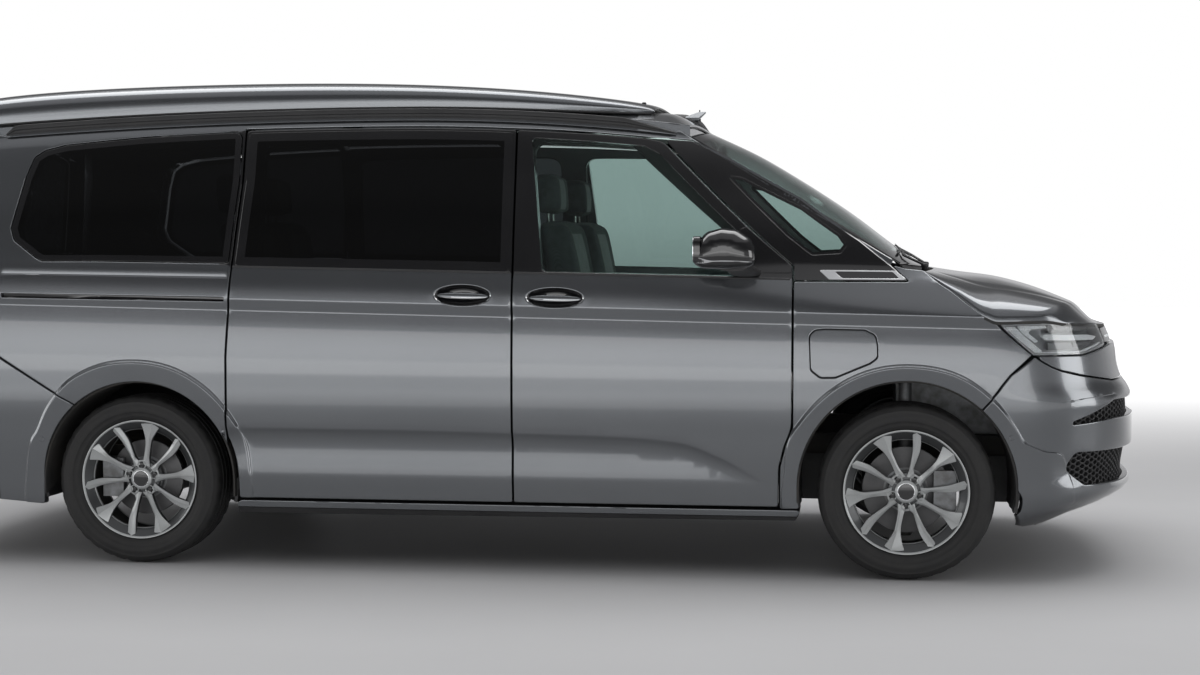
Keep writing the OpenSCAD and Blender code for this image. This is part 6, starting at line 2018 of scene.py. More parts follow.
        dress(obj, body, PAL["tyre"], slot="tyre", instead_of=(node,))

    def placed(self, kit: Kit, name: str, mirrored: bool, smooth: float) -> bpy.types.Object:
        """Moves the forms to the wheel's place on the left side and builds the piece."""
        kit.points = [p + (self.x, WHEEL_Y, WHEEL_Z) for p in kit.points]
        return kit.make(name, mirrored, smooth)

    def build(self, end: str) -> None:
        """Builds the wheel on both sides."""
        for mirrored in (False, True):
            side = "right" if mirrored else "left"
            body = f"wheel_{end}_{side}"
            kit = Kit()
            self.rim(kit)
            for k in range(self.pairs):
                self.spoke(kit, self.wide, 72 * k + self.turn, 0.62)
                self.spoke(kit, self.narrow, 72 * k + self.turn, 0.42)
            self.hub(kit)
            obj = self.placed(kit, f"rim_{end}_{side}", mirrored, 24.0)
            dress(obj, body, PAL["wheel_silver"], PAL["wheel_grey"], PAL["underbody"], PAL["bright_trim"],
                  PAL["gloss_black"], slot="wheel_silver", instead_of=(f"wheel_{end}_{side}",))
            brake = Kit()
            self.disc(brake)
            obj = self.placed(brake, f"brake_disc_{end}_{side}", mirrored, 32.0)
            dress(obj, body, PAL["wheel_silver"], PAL["wheel_grey"], PAL["cast"], PAL["brake_grey"],
                  PAL["underbody"], slot="steel")
            self.tyre(f"road_tyre_{end}_{side}", body, f"tyre_{end}_{side}", mirrored)


@dataclass
class Mirrors:
    """Door mirrors: a housing, its glass, a ribbed bright strip, an arm and a foot."""

    middle: tuple[float, float] = (934.0, 1298.0)
    inner_y: float = 1018.0
    outer_y: float = 1122.6
    loop = ((812, 1262), (818, 1238), (850, 1221), (950, 1218), (1040, 1226), (1061, 1246), (1058, 1290),
            (1036, 1338), (985, 1371), (925, 1378), (866, 1362), (828, 1320))

    def outline(self, n: int = 72) -> Array:
        """Side view of the housing."""
        loop = soften(self.loop, 46, 6)
        loop = spaced(loop, 3)
        angle = np.unwrap(np.arctan2(loop[:, 1] - self.middle[1], loop[:, 0] - self.middle[0]))
        radius = np.hypot(loop[:, 0] - self.middle[0], loop[:, 1] - self.middle[1])
        order = np.argsort(angle % (2 * math.pi))
        a = np.linspace(0, 2 * math.pi, n + 1)[:-1]
        r = np.interp(a, (angle % (2 * math.pi))[order], radius[order], period=2 * math.pi)
        return np.column_stack([a, r])

    def skin_y(self, x: Array, z: Array) -> Array:
        """Outer face of the housing at a place in side view."""
        polar = self.outline(144)
        dx, dz = np.asarray(x) - self.middle[0], np.asarray(z) - self.middle[1]
        reach = np.interp(np.arctan2(dz, dx) % (2 * math.pi), polar[:, 0], polar[:, 1], period=2 * math.pi)
        share = np.clip(np.hypot(dx, dz) / reach, 0, 1)
        return self.inner_y + 34 + (self.outer_y - self.inner_y - 34) * (1 - share ** 3.2) ** (1 / 2.2)

    def housing(self, kit: Kit) -> None:
        """Adds the housing: a deep rounded cap."""
        polar = self.outline()
        rings = []
        steps = [(0.0, -1), (0.3, -1), (0.62, -1), (0.86, -1), (0.965, -0.7), (0.995, -0.35), (1.0, 0.0)]
        for share, back in steps:
            r = polar[:, 1] * share
            y = np.full(len(r), self.inner_y + 34 + 34 * back)
            rings.append(np.column_stack([self.middle[0] + r * np.cos(polar[:, 0]), y,
                                          self.middle[1] + r * np.sin(polar[:, 0])]))
        for share in (0.996, 0.98, 0.95, 0.9, 0.83, 0.74, 0.62, 0.48, 0.32, 0.15, 0.0):
            r = polar[:, 1] * share
            x = self.middle[0] + r * np.cos(polar[:, 0])
            z = self.middle[1] + r * np.sin(polar[:, 0])
            rings.append(np.column_stack([x, self.skin_y(x, z), z]))
        kit.loft(rings, 0, around=False)

    def strip(self, kit: Kit) -> None:
        """Adds the thin bright strip with ribs towards its rear end."""
        xs = np.linspace(822, 1046, 113)
        rings = []
        for i, x in enumerate(xs):
            middle = 1251 - 5 * ((x - 940) / 110) ** 2 + 8 * blend01((880 - x) / 60)
            high = 2.6 + 8.5 * blend01((900 - x) / 60)
            high *= float(blend01((x - 815) / 12))
            rib = 1.2 if (i % 4 < 2 and x < 892) else 0.4
            z = np.array([middle - high, middle + high])
            y = self.skin_y(np.full(2, x), z)
            rings.append(np.array([[x, y[0] - 1.5, z[0]], [x, min(y[0] + rib, 1123.8), z[0] + 0.6],
                                   [x, min(y[1] + rib, 1123.8), z[1] - 0.6], [x, y[1] - 1.5, z[1]]]))
        kit.loft(rings, 1, end=1)

    def glass(self, kit: Kit) -> None:
        """Adds the mirror glass with its dark surround, facing backwards."""
        for x, grow, slot in ((819.0, 0.0, 0), (816.5, -5.0, 2)):
            y, z = [], []
            a = np.linspace(0, 2 * math.pi, 49)[:-1]
            c, s = np.cos(a), np.sin(a)
            y = 1066 + (42 + grow) * np.sign(c) * np.abs(c) ** 0.5
            z = 1294 + (52 + grow) * np.sign(s) * np.abs(s) ** 0.55
            rings = [np.column_stack([np.full(48, x + dx), 1066 + (y - 1066) * k, 1294 + (z - 1294) * k])
                     for dx, k in ((26, 1.0), (3, 1.0), (0.6, 0.985), (0, 0.96), (0.2, 0.5))]
            kit.loft(rings, slot, end=slot)

    def arm(self, kit: Kit) -> None:
        """Adds the arm and its foot on the door."""
        rings = []
        for t in np.linspace(0, 1, 16):
            y = 916 + (1062 - 916) * t
            x = 1012 - 46 * t + 8 * math.sin(math.pi * t)
            z = 1206 + 28 * blend01(t)
            half_x, half_z = 62 - 6 * math.sin(math.pi * t), 19 + 4 * t
            a = np.linspace(0, 2 * math.pi, 33)[:-1]
            c, s = np.cos(a), np.sin(a)
            rings.append(np.column_stack([x + half_x * np.sign(c) * np.abs(c) ** 0.8, np.full(32, y),
                                          z + half_z * np.sign(s) * np.abs(s) ** 0.8]))
        kit.loft(rings, 3, end=3)

    def build(self) -> None:
        """Builds both mirrors."""
        for mirrored in (False, True):
            side = "right" if mirrored else "left"
            kit = Kit()
            self.housing(kit)
            self.strip(kit)
            self.glass(kit)
            self.arm(kit)
            obj = kit.make(f"door_mirror_{side}", mirrored, 38.0)
            dress(obj, f"front_door_{side}", PAL["gloss_black"], PAL["bright_trim"], PAL["mirror_glass"],
                  PAL["black_plastic"], slot="gloss_black", instead_of=(f"mirror_{side}",))
            corner = soften(SKIN.from_side([(930, 1202), (1190, 1202), (1190, 1232), (1010, 1386),
                                            (985, 1372),
                                            (1004, 1262), (982, 1218)]), 9, 4)
            sail = Panel(f"mirror_foot_{side}", corner, (), 6.0, front=-3.0, edge=2.0, step=24)
            dress(sail.build(mirrored), f"front_door_{side}", PAL["gloss_black"], slot="gloss_black")


@dataclass
class Trim:
    """Wipers, cowl, aerial, roof strap, sensors and weather strips."""

    roofs: RoofSet

    def wipers(self) -> None:
        """Two wipers: spindle cap, arm, and a blade that lies along the glass."""
        kit = Kit()
        for x, y, h, sweep in ((AXLE_F + 98, 30, 0.04, 0.3), (AXLE_F + 76, -560, -0.74, 0.3)):
            foot = self.on_glass(0.965, h, -12)
            foot[2] = min(float(foot[2]), 1238.0)
            kit.revolve_z((x, y),
                          [(0, 1158), (13, 1158), (13, foot[2] - 16), (16, foot[2] - 12), (15, foot[2] - 4),
                                   (9, foot[2] - 1), (0, foot[2])], 0)
            path = [np.array([x, y, foot[2] - 8])] + [self.on_glass(0.965 - 0.06 * t, h + sweep * t,
                                                                    -11 - 2 * t)
                                                      for t in np.linspace(0.05, 1, 16)]
            kit.bar(path, [9 - 4.5 * t for t in np.linspace(0, 1, 17)], 0.6, 0)
            blade = [self.on_glass(0.945 - 0.075 * t, h - 0.06 + (2 * sweep + 0.1) * t, -8.5) for t in
                     np.linspace(0, 1, 34)]
            kit.bar(blade, [2.0 + 4.5 * math.sin(math.pi * min(t * 1.2 + 0.12, 1)) ** 0.5 for t in
                            np.linspace(0, 1, 34)], 0.7, 0)
            lip = [self.on_glass(0.945 - 0.075 * t, h - 0.06 + (2 * sweep + 0.1) * t, -3.6) for t in
                   np.linspace(0, 1, 34)]
            kit.bar(lip, [3.4] * 34, 0.25, 1)
        obj = kit.make("wiper_set", smooth=50)
        dress(obj, "body", PAL["black_plastic"], PAL["tyre"], slot="black_plastic", instead_of=("wipers",))

    def on_glass(self, u: float, h: float, d: float) -> Array:
        """A place on the windscreen."""
        return self.roofs.glass_point(np.float64(u), np.float64(h), np.float64(d))

    def cowl(self) -> None:
        """Plastic cowl under the windscreen, with slots."""

        def surface(u: Array, h: Array, d: Array) -> Array:
            """Place on the cowl."""
            glass = self.roofs.glass_point(np.full(u.shape, 0.985), h * 0.97, np.full(u.shape, 9.0))
            rear = AXLE_F + 128 - 66 * h * h + 26
            x = glass[..., 0] + (rear - glass[..., 0]) * u
            edge = self.roofs.bonnet_point(np.full(u.shape, 0.03), h * 0.94, np.full(u.shape, 31.0))[..., 2]
            slats = 3.0 * (np.cos(u * 34) > 0.2) * (np.abs((np.abs(h) - 0.36)) < 0.2)
            z = glass[...,
                      2] + (edge - 6 - glass[..., 2]) * blend01(u * 1.6) - 12 * np.sin(math.pi * u) - slats
            return np.stack([x, glass[..., 1], z - d], -1)

        obj = shell("cowl_cover", surface, np.linspace(0, 1, 32), np.linspace(-1, 1, 61), 4.0, 0.8, (90, 800))
        dress(obj, "body", PAL["black_plastic"], slot="black_plastic")

    def aerial(self) -> None:
        """Low black aerial housing at the front of the roof, with its short rod."""
        xs = np.linspace(618, 800, 40)
        ridge = smooth_table([(618, 0), (640, 13), (672, 17), (700, 24), (735, 31), (762, 26), (800, 0)])
        kit = Kit()
        rings = []
        for x in xs:
            base = float(RoofSet.top(np.float64(x), np.float64(0.0)))
            wide = 27 * max(float(np.sin(math.pi * np.clip((x - 612) / 194, 0, 1))) ** 0.5, 0.12)
            a = np.linspace(0, math.pi, 17)
            top = float(ridge(x))
            y, z = wide * np.cos(a), base - 4 + (top + 4) * np.sin(a) ** 1.4
            rings.append(np.column_stack([np.full(19, x), [*y, y[-1], y[0]], [*z, base - 7, base - 7]]))
        kit.loft(rings, 0)
        kit.bar([np.array([754, 0, 1850.0]), np.array([755, 0, 1880.0]), np.array([753, 0, 1902.0])],
                [5, 3.2, 2.4], 1.0, 0)
        dress(kit.make("aerial", smooth=45), "body", PAL["black_plastic"], slot="gloss_black")

    def straps(self) -> None:
        """Short straps with buckles that hold the lifting roof's front corners down."""
        for mirrored in (False, True):
            kit = Kit()
            y = 470.0
            rows = []
            for t in np.linspace(0, 1, 12):
                x = 560 + 26 * t
                top = float(RoofSet.top(np.float64(x), np.float64(y / 730)))
                z = top + 3 + (1 - blend01(np.float64(t))) * 34
                rows.append((x, z))
            loop = [np.array([[x, y - 11, z - 2], [x, y + 11, z - 2], [x, y + 11, z + 2], [x, y - 11, z + 2]])
                    for x, z in rows]
            kit.loft(loop, 0)
            x, z = rows[0]
            kit.block((x - 8, y - 14, z - 10), (x + 8, y + 14, z + 8), 3.0)
            side = "right" if mirrored else "left"
            dress(kit.make(f"roof_strap_{side}", mirrored, 40), "lifting_roof", PAL["black_plastic"],
                  slot="black_plastic")

    def sensors(self) -> None:
        """Round parking sensors in the bumpers' corners."""
        for mirrored in (False, True):
            side = "right" if mirrored else "left"
            for end, x, z in (("front", 2039.0, 570.0), ("rear", -1885.0, 512.0)):
                spot = SKIN.from_side([(x, z)])[0]
                relief = float(ARCH.relief(spot[:1], spot[1:])[0])
                a = np.linspace(0, 2 * math.pi, 29)[:-1]
                kit = Kit()
                rings = []
                for r, d in ((0.1, 1.2), (7.5, 1.0), (8.6, -0.6), (10.0, -1.2), (11.5, -0.4), (12.0, 1.5),
                             (0.1, 9.0)):
                    g, v = spot[0] + r * np.cos(a), spot[1] + r * np.sin(a)
                    rings.append(SKIN.point(g, v, relief + d))
                kit.loft(rings, 0, around=False)
                dress(kit.make(f"sensor_{end}_{side}", mirrored, 40), "body", PAL["paint"], slot="paint")

    def belts(self) -> None:
        """Weather strips under the door windows."""
        for mirrored in (False, True):
            side = "right" if mirrored else "left"
            for name, x0, x1, body in (("front", X_B + 8, X_A - 12, f"front_door_{side}"),
                                       ("sliding", X_C + 26, X_B - 8, "body")):
                xs = np.linspace(x0, x1, 60)
                v = np.full(60, BELT_H + 6.0)
                loops = [SKIN.point(xs, v + dv, np.full(60, d)) for dv, d in
                         ((-4, 1.5), (-4, -1.2), (-2, -2.2), (3, -2.2), (5, -1.0), (5, 1.5))]
                kit = Kit()
                kit.loft([np.array([row[i] for row in loops]) for i in range(60)], 0)
                dress(kit.make(f"belt_strip_{name}_{side}", mirrored, 40), body, PAL["black_plastic"],
                      slot="black_plastic")

    def skirts(self) -> None:
        """Lower ends of the arch liners, down to the sills and the bumpers."""
        for mirrored in (False, True):
            side = "right" if mirrored else "left"
            for end, (cx, cz), r, y0 in (("front", ARCH.front_at, ARCH.front_lip - 5, 560.0),
                                         ("rear", ARCH.rear_at, ARCH.rear_lip - 5, 660.0)):
                kit = Kit()
                for a0, a1 in ((-12, 2), (178, 191)):
                    arc = np.radians(np.linspace(a0, a1, 12))
                    rings = []
                    for y in np.linspace(y0, 916, 14):
                        bead = 1.6 * math.cos((y - y0) / 26)
                        ring = [(cx + (r + k - bead * (k == 0)) * math.cos(a), y, cz + (r + k) * math.sin(a))
                                for k, way in ((0, 1), (14, -1)) for a in arc[::way]]
                        rings.append(np.array(ring))
                    kit.loft(rings, 0)
                inner = y0 - 52
                for x0, x1 in ((cx - r - 12, cx - 290), (cx + 290, cx + r + 14)):
                    kit.block((x0, inner, 262), (x1, inner + 4, 452), 1.0)
                dress(kit.make(f"arch_skirt_{end}_{side}", mirrored, 40), "body", PAL["black_plastic"],
                      slot="underbody")

    def build(self) -> None:
        """Builds the trim."""
        self.skirts()
        self.wipers()
        self.cowl()
        self.aerial()
        self.straps()
        self.sensors()
        self.belts()


@dataclass
class Cushion:
    """A padded form: a rounded box with crowned faces."""

    low: tuple[float, float, float]
    high: tuple[float, float, float]
    crown: float = 12.0
    lean: float = 0.0
    channels: int = 0
    fill: float = 0.6

    def surface(self, n: int = 14) -> tuple[Array, list[tuple[int, int, int, int]], Array]:
        """Places the form.

        Args:
            n: Cells along each side.

        Returns:
            The points, the faces, and which cells lie on the front face's middle panel.
        """
        low, high = np.array(self.low, float), np.array(self.high, float)
        middle, half = (low + high) / 2, (high - low) / 2
        pts, faces, marks = [], [], []
        grid = np.linspace(-1, 1, n + 1)
        u, w = np.meshgrid(grid, grid, indexing="ij")
        for axis in range(3):
            for sign in (-1, 1):
                c = np.zeros((n + 1, n + 1, 3))
                others = [i for i in range(3) if i != axis]
                c[..., axis] = sign
                c[..., others[0]] = u
                c[..., others[1]] = w
                base = sum(len(p) for p in pts)
                pts.append(self.rounded(c.reshape(-1, 3), half) + middle)
                at = np.arange((n + 1) ** 2).reshape(n + 1, n + 1) + base
                quads = np.stack([at[:-1, :-1], at[1:, :-1], at[1:, 1:], at[:-1, 1:]], -1).reshape(-1, 4)
                faces += quads.tolist()
                inner = (np.abs(u[:-1, :-1] + 1 / n) < 0.62) & (np.abs(w[:-1, :-1] + 1 / n) < 0.8)
                marks += [(axis, sign, bool(k)) for k in inner.reshape(-1)]
        return np.vstack(pts), faces, np.array(marks, dtype=object)

    def rounded(self, c: Array, half: Array) -> Array:
        """Rounds the box's edges and crowns its faces."""
        r = float(min(half)) * 0.55
        core = half - r
        p = np.clip(c * half, -core, core)
        out = c * half - p
        length = np.linalg.norm(out, axis=1, keepdims=True)
        scale = np.where(length > 1e-6, r / np.maximum(length, 1e-6), 0)
        flat = (np.abs(c) > 0.9999).sum(1) >= 1
        p = p + out * np.where(flat[:, None], scale, 1)
        share = np.clip(np.abs(p) / np.maximum(half, 1e-6), 0, 1)
        for axis in range(3):
            a, b = [i for i in range(3) if i != axis]
            dome = (1 - share[:, a] ** 2.6) * (1 - share[:, b] ** 2.6)
            onto = np.clip((share[:, axis] - 0.75) / 0.25, 0, 1)
            p[:, axis] += np.sign(p[:, axis]) * onto * self.crown * (dome - 0.55)
        return p


@dataclass
class Seat:
    """A seat: base, cushion, back with bolsters, head rest, and the seams between their panels."""

    x: float
    y: float
    width: float
    name: str

    def pad(self, name: str, low: Sequence[float], high: Sequence[float], crown: float, lean: float,
            face: tuple[int, int], channels: int, replaces: Sequence[str] = ()) -> None:
        """Builds one padded part.

        Args:
            name: What it is.
            low: Lowest corner, from the seat's place.
            high: Highest corner.
            crown: Height of the crown.
            lean: How far the top leans back.
            face: Axis and sign of the face that a sitter touches.
            channels: Sewn channels across that face.
            replaces: Nodes that it stands for.
        """
        at = np.array([self.x, self.y, 0.0])
        form = Cushion(tuple(np.array(low) + at), tuple(np.array(high) + at), crown)
        pts, faces, marks = form.surface()
        slots = [1 if (m[0] == face[0] and m[1] == face[1] and m[2]) else 0 for m in marks]
        box_low, box_high = np.array(low) + at, np.array(high) + at
        across = (pts[:, 1] - box_low[1]) / (box_high[1] - box_low[1]) * 2 - 1
        along_axis = 2 if face[0] == 0 else 0
        along = (pts[:,
                     along_axis] - box_low[along_axis]) / (box_high[along_axis] - box_low[along_axis]) * 2 - 1
        level = (pts[:, face[0]] - box_low[face[0]]) / (box_high[face[0]] - box_low[face[0]]) * 2 - 1
        on_face = np.clip((level * face[1] - 0.55) / 0.3, 0, 1)
        seam = np.exp(-((np.abs(across) - 0.62) / 0.035) ** 2)
        press = 9.0 * seam
        for k in range(1, channels + 1):
            place = -0.8 + 1.6 * k / (channels + 1)
            press = np.maximum(press, 5.5 * np.exp(-((along - place) / 0.022) ** 2) * (np.abs(across) < 0.62))
        bolster = 14.0 * np.exp(-((np.abs(across) - 0.82) / 0.16) ** 2) * (np.abs(along) < 0.95)
        pts[:, face[0]] += face[1] * on_face * (np.minimum(bolster, form.crown + 4) - press)
        if lean:
            share = np.clip((pts[:, 2] - box_low[2]) / (box_high[2] - box_low[2]), 0, 1)
            pts[:, 0] -= lean * share
        obj = new_piece(f"{self.name}_{name}", pts, faces, slots, smooth=70)
        mod = obj.modifiers.new("smooth", "SUBSURF")
        mod.levels = mod.render_levels = 1
        bpy.context.view_layer.objects.active = obj
        for other in bpy.context.selected_objects:
            other.select_set(False)
        obj.select_set(True)
        bpy.ops.object.modifier_apply(modifier=mod.name)
        dress(obj, "body", PAL["seat_cloth"], PAL["seat_panel"], slot="seat_cloth", instead_of=replaces)

    def build(self, first: bool) -> None:
        """Builds the seat; the first one stands for the source's seats."""
        w = self.width / 2
        self.pad("cushion", (-55, -w, 765), (478, w, 915), 16.0, 0.0, (2, 1), 3, ("seats",) if first else ())
        self.pad("back", (-62, -w + 4, 800), (72, w - 4, 1405), 15.0, 112.0, (0, 1), 4)
        self.pad("head_rest", (-196, -135, 1446), (-92, 135, 1604), 12.0, 12.0, (0, 1), 0)
        kit = Kit()
        kit.block((self.x + 5, self.y - w + 62, 461), (self.x + 372, self.y + w - 62, 700), 12, 0)
        kit.block((self.x - 20, self.y - w + 30, 700), (self.x + 420, self.y + w - 30, 768), 16, 0)
        for side in (-1, 1):
            y = self.y + side * (w - 26)
            kit.block((self.x - 60, y - 14, 742), (self.x + 200, y + 14, 812), 12, 0)
            post = [np.array([self.x - 148, self.y + side * 62, 1392.0]),
                    np.array([self.x - 150, self.y + side * 62, 1462.0])]
            kit.bar(post, [6, 6], 1.0, 1)
        shell_rings = []
        for t in np.linspace(0, 1, 16):
            z = 815 + 560 * t
            x = self.x - 66 - 112 * (z - 800) / 605
            out = 8 * math.sin(math.pi * t)
            a = np.linspace(-1, 1, 15)
            ring = [(x - out * (1 - v ** 4) + 6, self.y + v * (w - 40), z) for v in a]
            ring += [(x + 16, self.y + v * (w - 40), z) for v in a[::-1]]
            shell_rings.append(np.array(ring))
        kit.loft(shell_rings, 0)
        dress(kit.make(f"{self.name}_frame", smooth=45), "body", PAL["trim_grey"], PAL["steel"],
              slot="black_plastic")


@dataclass
class Interior:
    """What shows through the windows: dashboard, steering wheel, seats, kitchen, floor and linings."""

    def dashboard(self) -> None:
        """The dashboard: a padded top, a strip across it, vents, a screen and the instrument panel."""
        kit = Kit()
        half = HALF_W - 237
        top = [(AXLE_F - 512, 842), (AXLE_F - 522, 900), (AXLE_F - 548, 1000), (AXLE_F - 556, 1044),
               (AXLE_F - 520, 1088), (AXLE_F - 478, 1130), (AXLE_F - 330, 1158), (AXLE_F - 200, 1172),
               (AXLE_F - 60, 1160), (AXLE_F - 42, 1140), (AXLE_F - 94, 846)]
        loop = soften(top, 26, 5)
        loop = spaced(loop, 16)
        rings = []
        for t in np.linspace(-1, 1, 61):
            y = t * half
            p = loop.copy()
            front = np.clip((AXLE_F - 420 - p[:, 0]) / 120, 0, 1)
            p[:, 0] += front * (10 * math.cos(t * math.pi * 2) - 6 * (abs(t) > 0.97))
            groove = np.exp(-((p[:, 1] - 1068) / 8) ** 2) * front
            p[:, 0] += 5 * groove
            rings.append(np.column_stack([p[:, 0], np.full(len(p), y), p[:, 1]]))
        kit.loft(rings, 0, end=0)
        x = AXLE_F - 566
        kit.block((x - 4, -150, 1058), (x + 22, 130, 1206), 7, 2)
        kit.block((x + 8, -560, 1096), (x + 130, -220, 1180), 26, 0)
        kit.block((x + 5, -545, 1104), (x + 12, -235, 1172), 3, 2)
        for y in (-690, -205, 190, 590):
            kit.block((x + 22, y - 4, 1062), (x + 46, y + 104, 1096), 6, 1)
            for k in range(4):
                kit.block((x + 19, y + 3, 1066.5 + 7.2 * k), (x + 27, y + 97, 1069.5 + 7.2 * k), 0.8, 3)
        kit.block((x + 16, -720, 1040), (x + 30, 720, 1052), 3, 4)
        kit.block((x - 2, -110, 880), (x + 50, 110, 1010), 22, 1)
        obj = kit.make("dash", smooth=40)
        dress(obj, "body", PAL["leather_black"], PAL["black_plastic"], PAL["screen"], PAL["gloss_black"],
              PAL["bright_trim"], slot="black_plastic", instead_of=("dashboard",))

    def steering_wheel(self) -> None:
        """The steering wheel: a sewn rim, a hub pad, spokes and the column."""
        turn = Matrix.Rotation(math.radians(-68), 3, "Y")
        place = np.array([AXLE_F - 640, -390.0, 1075.0])

        def put(p: Array) -> Array:
            """Turns points from the wheel's own plane to its place."""
            return np.asarray(p, float) @ np.array(turn).T + place

        kit = Kit()
        rings = []
        for a in np.linspace(0, 2 * math.pi, 97)[:-1]:
            thick = 14.2 + 0.6 * math.cos(6 * a)
            b = np.linspace(0, 2 * math.pi, 19)[:-1]
            stitch = np.where(np.abs(b - math.pi) < 0.2, -0.9, 0)
            r = 170 + (thick + stitch) * np.cos(b)
            rings.append(put(np.column_stack([r * math.cos(a), r * math.sin(a),
                                              (thick + stitch) * np.sin(b)])))
        kit.loft(rings, 0, closed=True)
        rings = []
        for share, z in ((0.1, 12.5), (0.6, 12.0), (0.9, 9), (1.0, 3), (0.98, -8), (0.8, -18), (0.1, -19)):
            a = np.linspace(0, 2 * math.pi, 41)[:-1]
            rings.append(put(np.column_stack([58 * share * np.cos(a),
                                              61 * share * np.sign(np.sin(a)) * np.abs(
                np.sin(a)) ** 0.8, np.full(40, z)])))
        kit.loft(rings, 0)
        for a in (90, 180, 270):
            c, s = math.cos(math.radians(a)), math.sin(math.radians(a))
            rings = []
            for r, w, z in ((40, 24, 2), (80, 17, -1), (120, 13, -3), (160, 13.5, -1)):
                loop = soften([(-w, z - 6), (w, z - 6), (w, z + 5), (-w, z + 5)], 4, 3)
                rings.append(put(np.column_stack([r * c - loop[:, 0] * s, r * s + loop[:, 0] * c,
                                                  loop[:, 1]])))
            kit.loft(rings, 1, end=1)
        column = [put(np.array([[0, 0, z]]))[0] for z in (-158, -90, -20)]
        kit.bar(column, [21.5, 21.5, 21.5], 1.0, 1)
        dress(kit.make("steering_wheel_dressed", smooth=50), "steering_wheel", PAL["leather_black"],
              PAL["black_plastic"], slot="leather_black", instead_of=("steering_wheel",))

    def kitchen(self) -> None:
        """The kitchen unit: carcass, doors and drawers with gaps and pulls, and a worktop with a lid."""
        kit = Kit()
        x0, x1, y0, y1 = -1030.0, -150.0, HALF_W - 570.5, HALF_W - 230.5
        kit.block((x0 + 2, y0 + 16, 461), (x1 - 2, y1 - 1, 1152), 3, 1)
        for k in range(2):
            a, b = x0 + 6 + 440 * k, x0 + 436 + 440 * k
            for low, high in ((500, 760), (766, 960), (966, 1146)):
                kit.block((a, y0 + 2, low), (b, y0 + 16, high), 3, 0)
                kit.block((a + 120, y0 - 0.0, high - 30), (b - 120, y0 + 6, high - 18), 2, 3)
        kit.block((x0, y0, 1152), (x1, y1, 1176), 7, 2)
        kit.block((x0 + 40, y0 + 30, 1175), (x0 + 420, y1 - 40, 1179.5), 2, 4)
        kit.block((x0 + 470, y0 + 30, 1175), (x1 - 30, y1 - 40, 1179.5), 2, 4)
        dress(kit.make("kitchen", smooth=35), "body", PAL["furniture"], PAL["trim_grey"], PAL["worktop"],
              PAL["bright_trim"], PAL["screen"], slot="furniture", instead_of=("kitchen_unit",))

    def floor(self) -> None:
        """Floor covering with planks."""
        kit = Kit()
        for k in range(9):
            y = -666 + 148 * k
            kit.block((-2330, y, 460.4), (1020, y + 146.6, 463.4), 1.0, 0)
        dress(kit.make("floor_covering", smooth=30), "body", PAL["floor_mat"], slot="furniture")

    def linings(self) -> None:
        """The roof lining round the hatch."""
        kit = Kit()
        rings = []
        outer = soften([(-2340, -700), (AXLE_F - 900, -640), (AXLE_F - 900, 640), (-2340, 700)], 60, 6)
        hatch = soften([(-2040, -555), (312, -555), (312, 555), (-2040, 555)], 66, 6)
        a, b = spaced(outer, 24), spaced(hatch, 24)
        n = 240

        def even(p: Array) -> Array:
            """Points at even steps round a loop."""
            q = np.vstack([p, p[:1]])
            s = np.concatenate([[0], np.cumsum(np.linalg.norm(np.diff(q, axis=0), axis=1))])
            t = np.linspace(0, s[-1], n + 1)[:-1]
            return np.column_stack([np.interp(t, s, q[:, 0]), np.interp(t, s, q[:, 1])])

        a, b = even(a), even(b)
        b = np.roll(b, -int(np.argmin(np.linalg.norm(b - a[0], axis=1))), 0)
        for share, extra in ((0.0, 0), (0.02, -3), (0.5, -5), (0.97, -4), (1.0, 0), (1.0, 6), (0.5, 1),
                             (0.0, 4)):
            p = a + (b - a) * share
            z = np.array([float(RoofSet.top(np.float64(q[0]),
                                            np.float64(q[1] / 775))) for q in p]) - 52 + extra
            rings.append(np.column_stack([p, z]))
        kit.loft([np.array([ring[i] for ring in rings]) for i in range(n)], 0, closed=True)
        dress(kit.make("roof_lining", smooth=50), "body", PAL["head_lining"], slot="canvas")

    def build(self) -> None:
        """Builds the interior."""
        self.dashboard()
        self.steering_wheel()
        self.kitchen()
        self.floor()
        self.linings()
        for i, (x, y, w, name) in enumerate(((300.0, -390.0, 500.0, "driver_seat"),
                                             (300.0, 390.0, 500.0, "passenger_seat"),
                                             (-1050.0, -480.0, 440.0, "rear_seat_right"),
                                             (-1050.0, 20.0, 440.0, "rear_seat_left"))):
            Seat(x, y, w, name).build(i == 0)


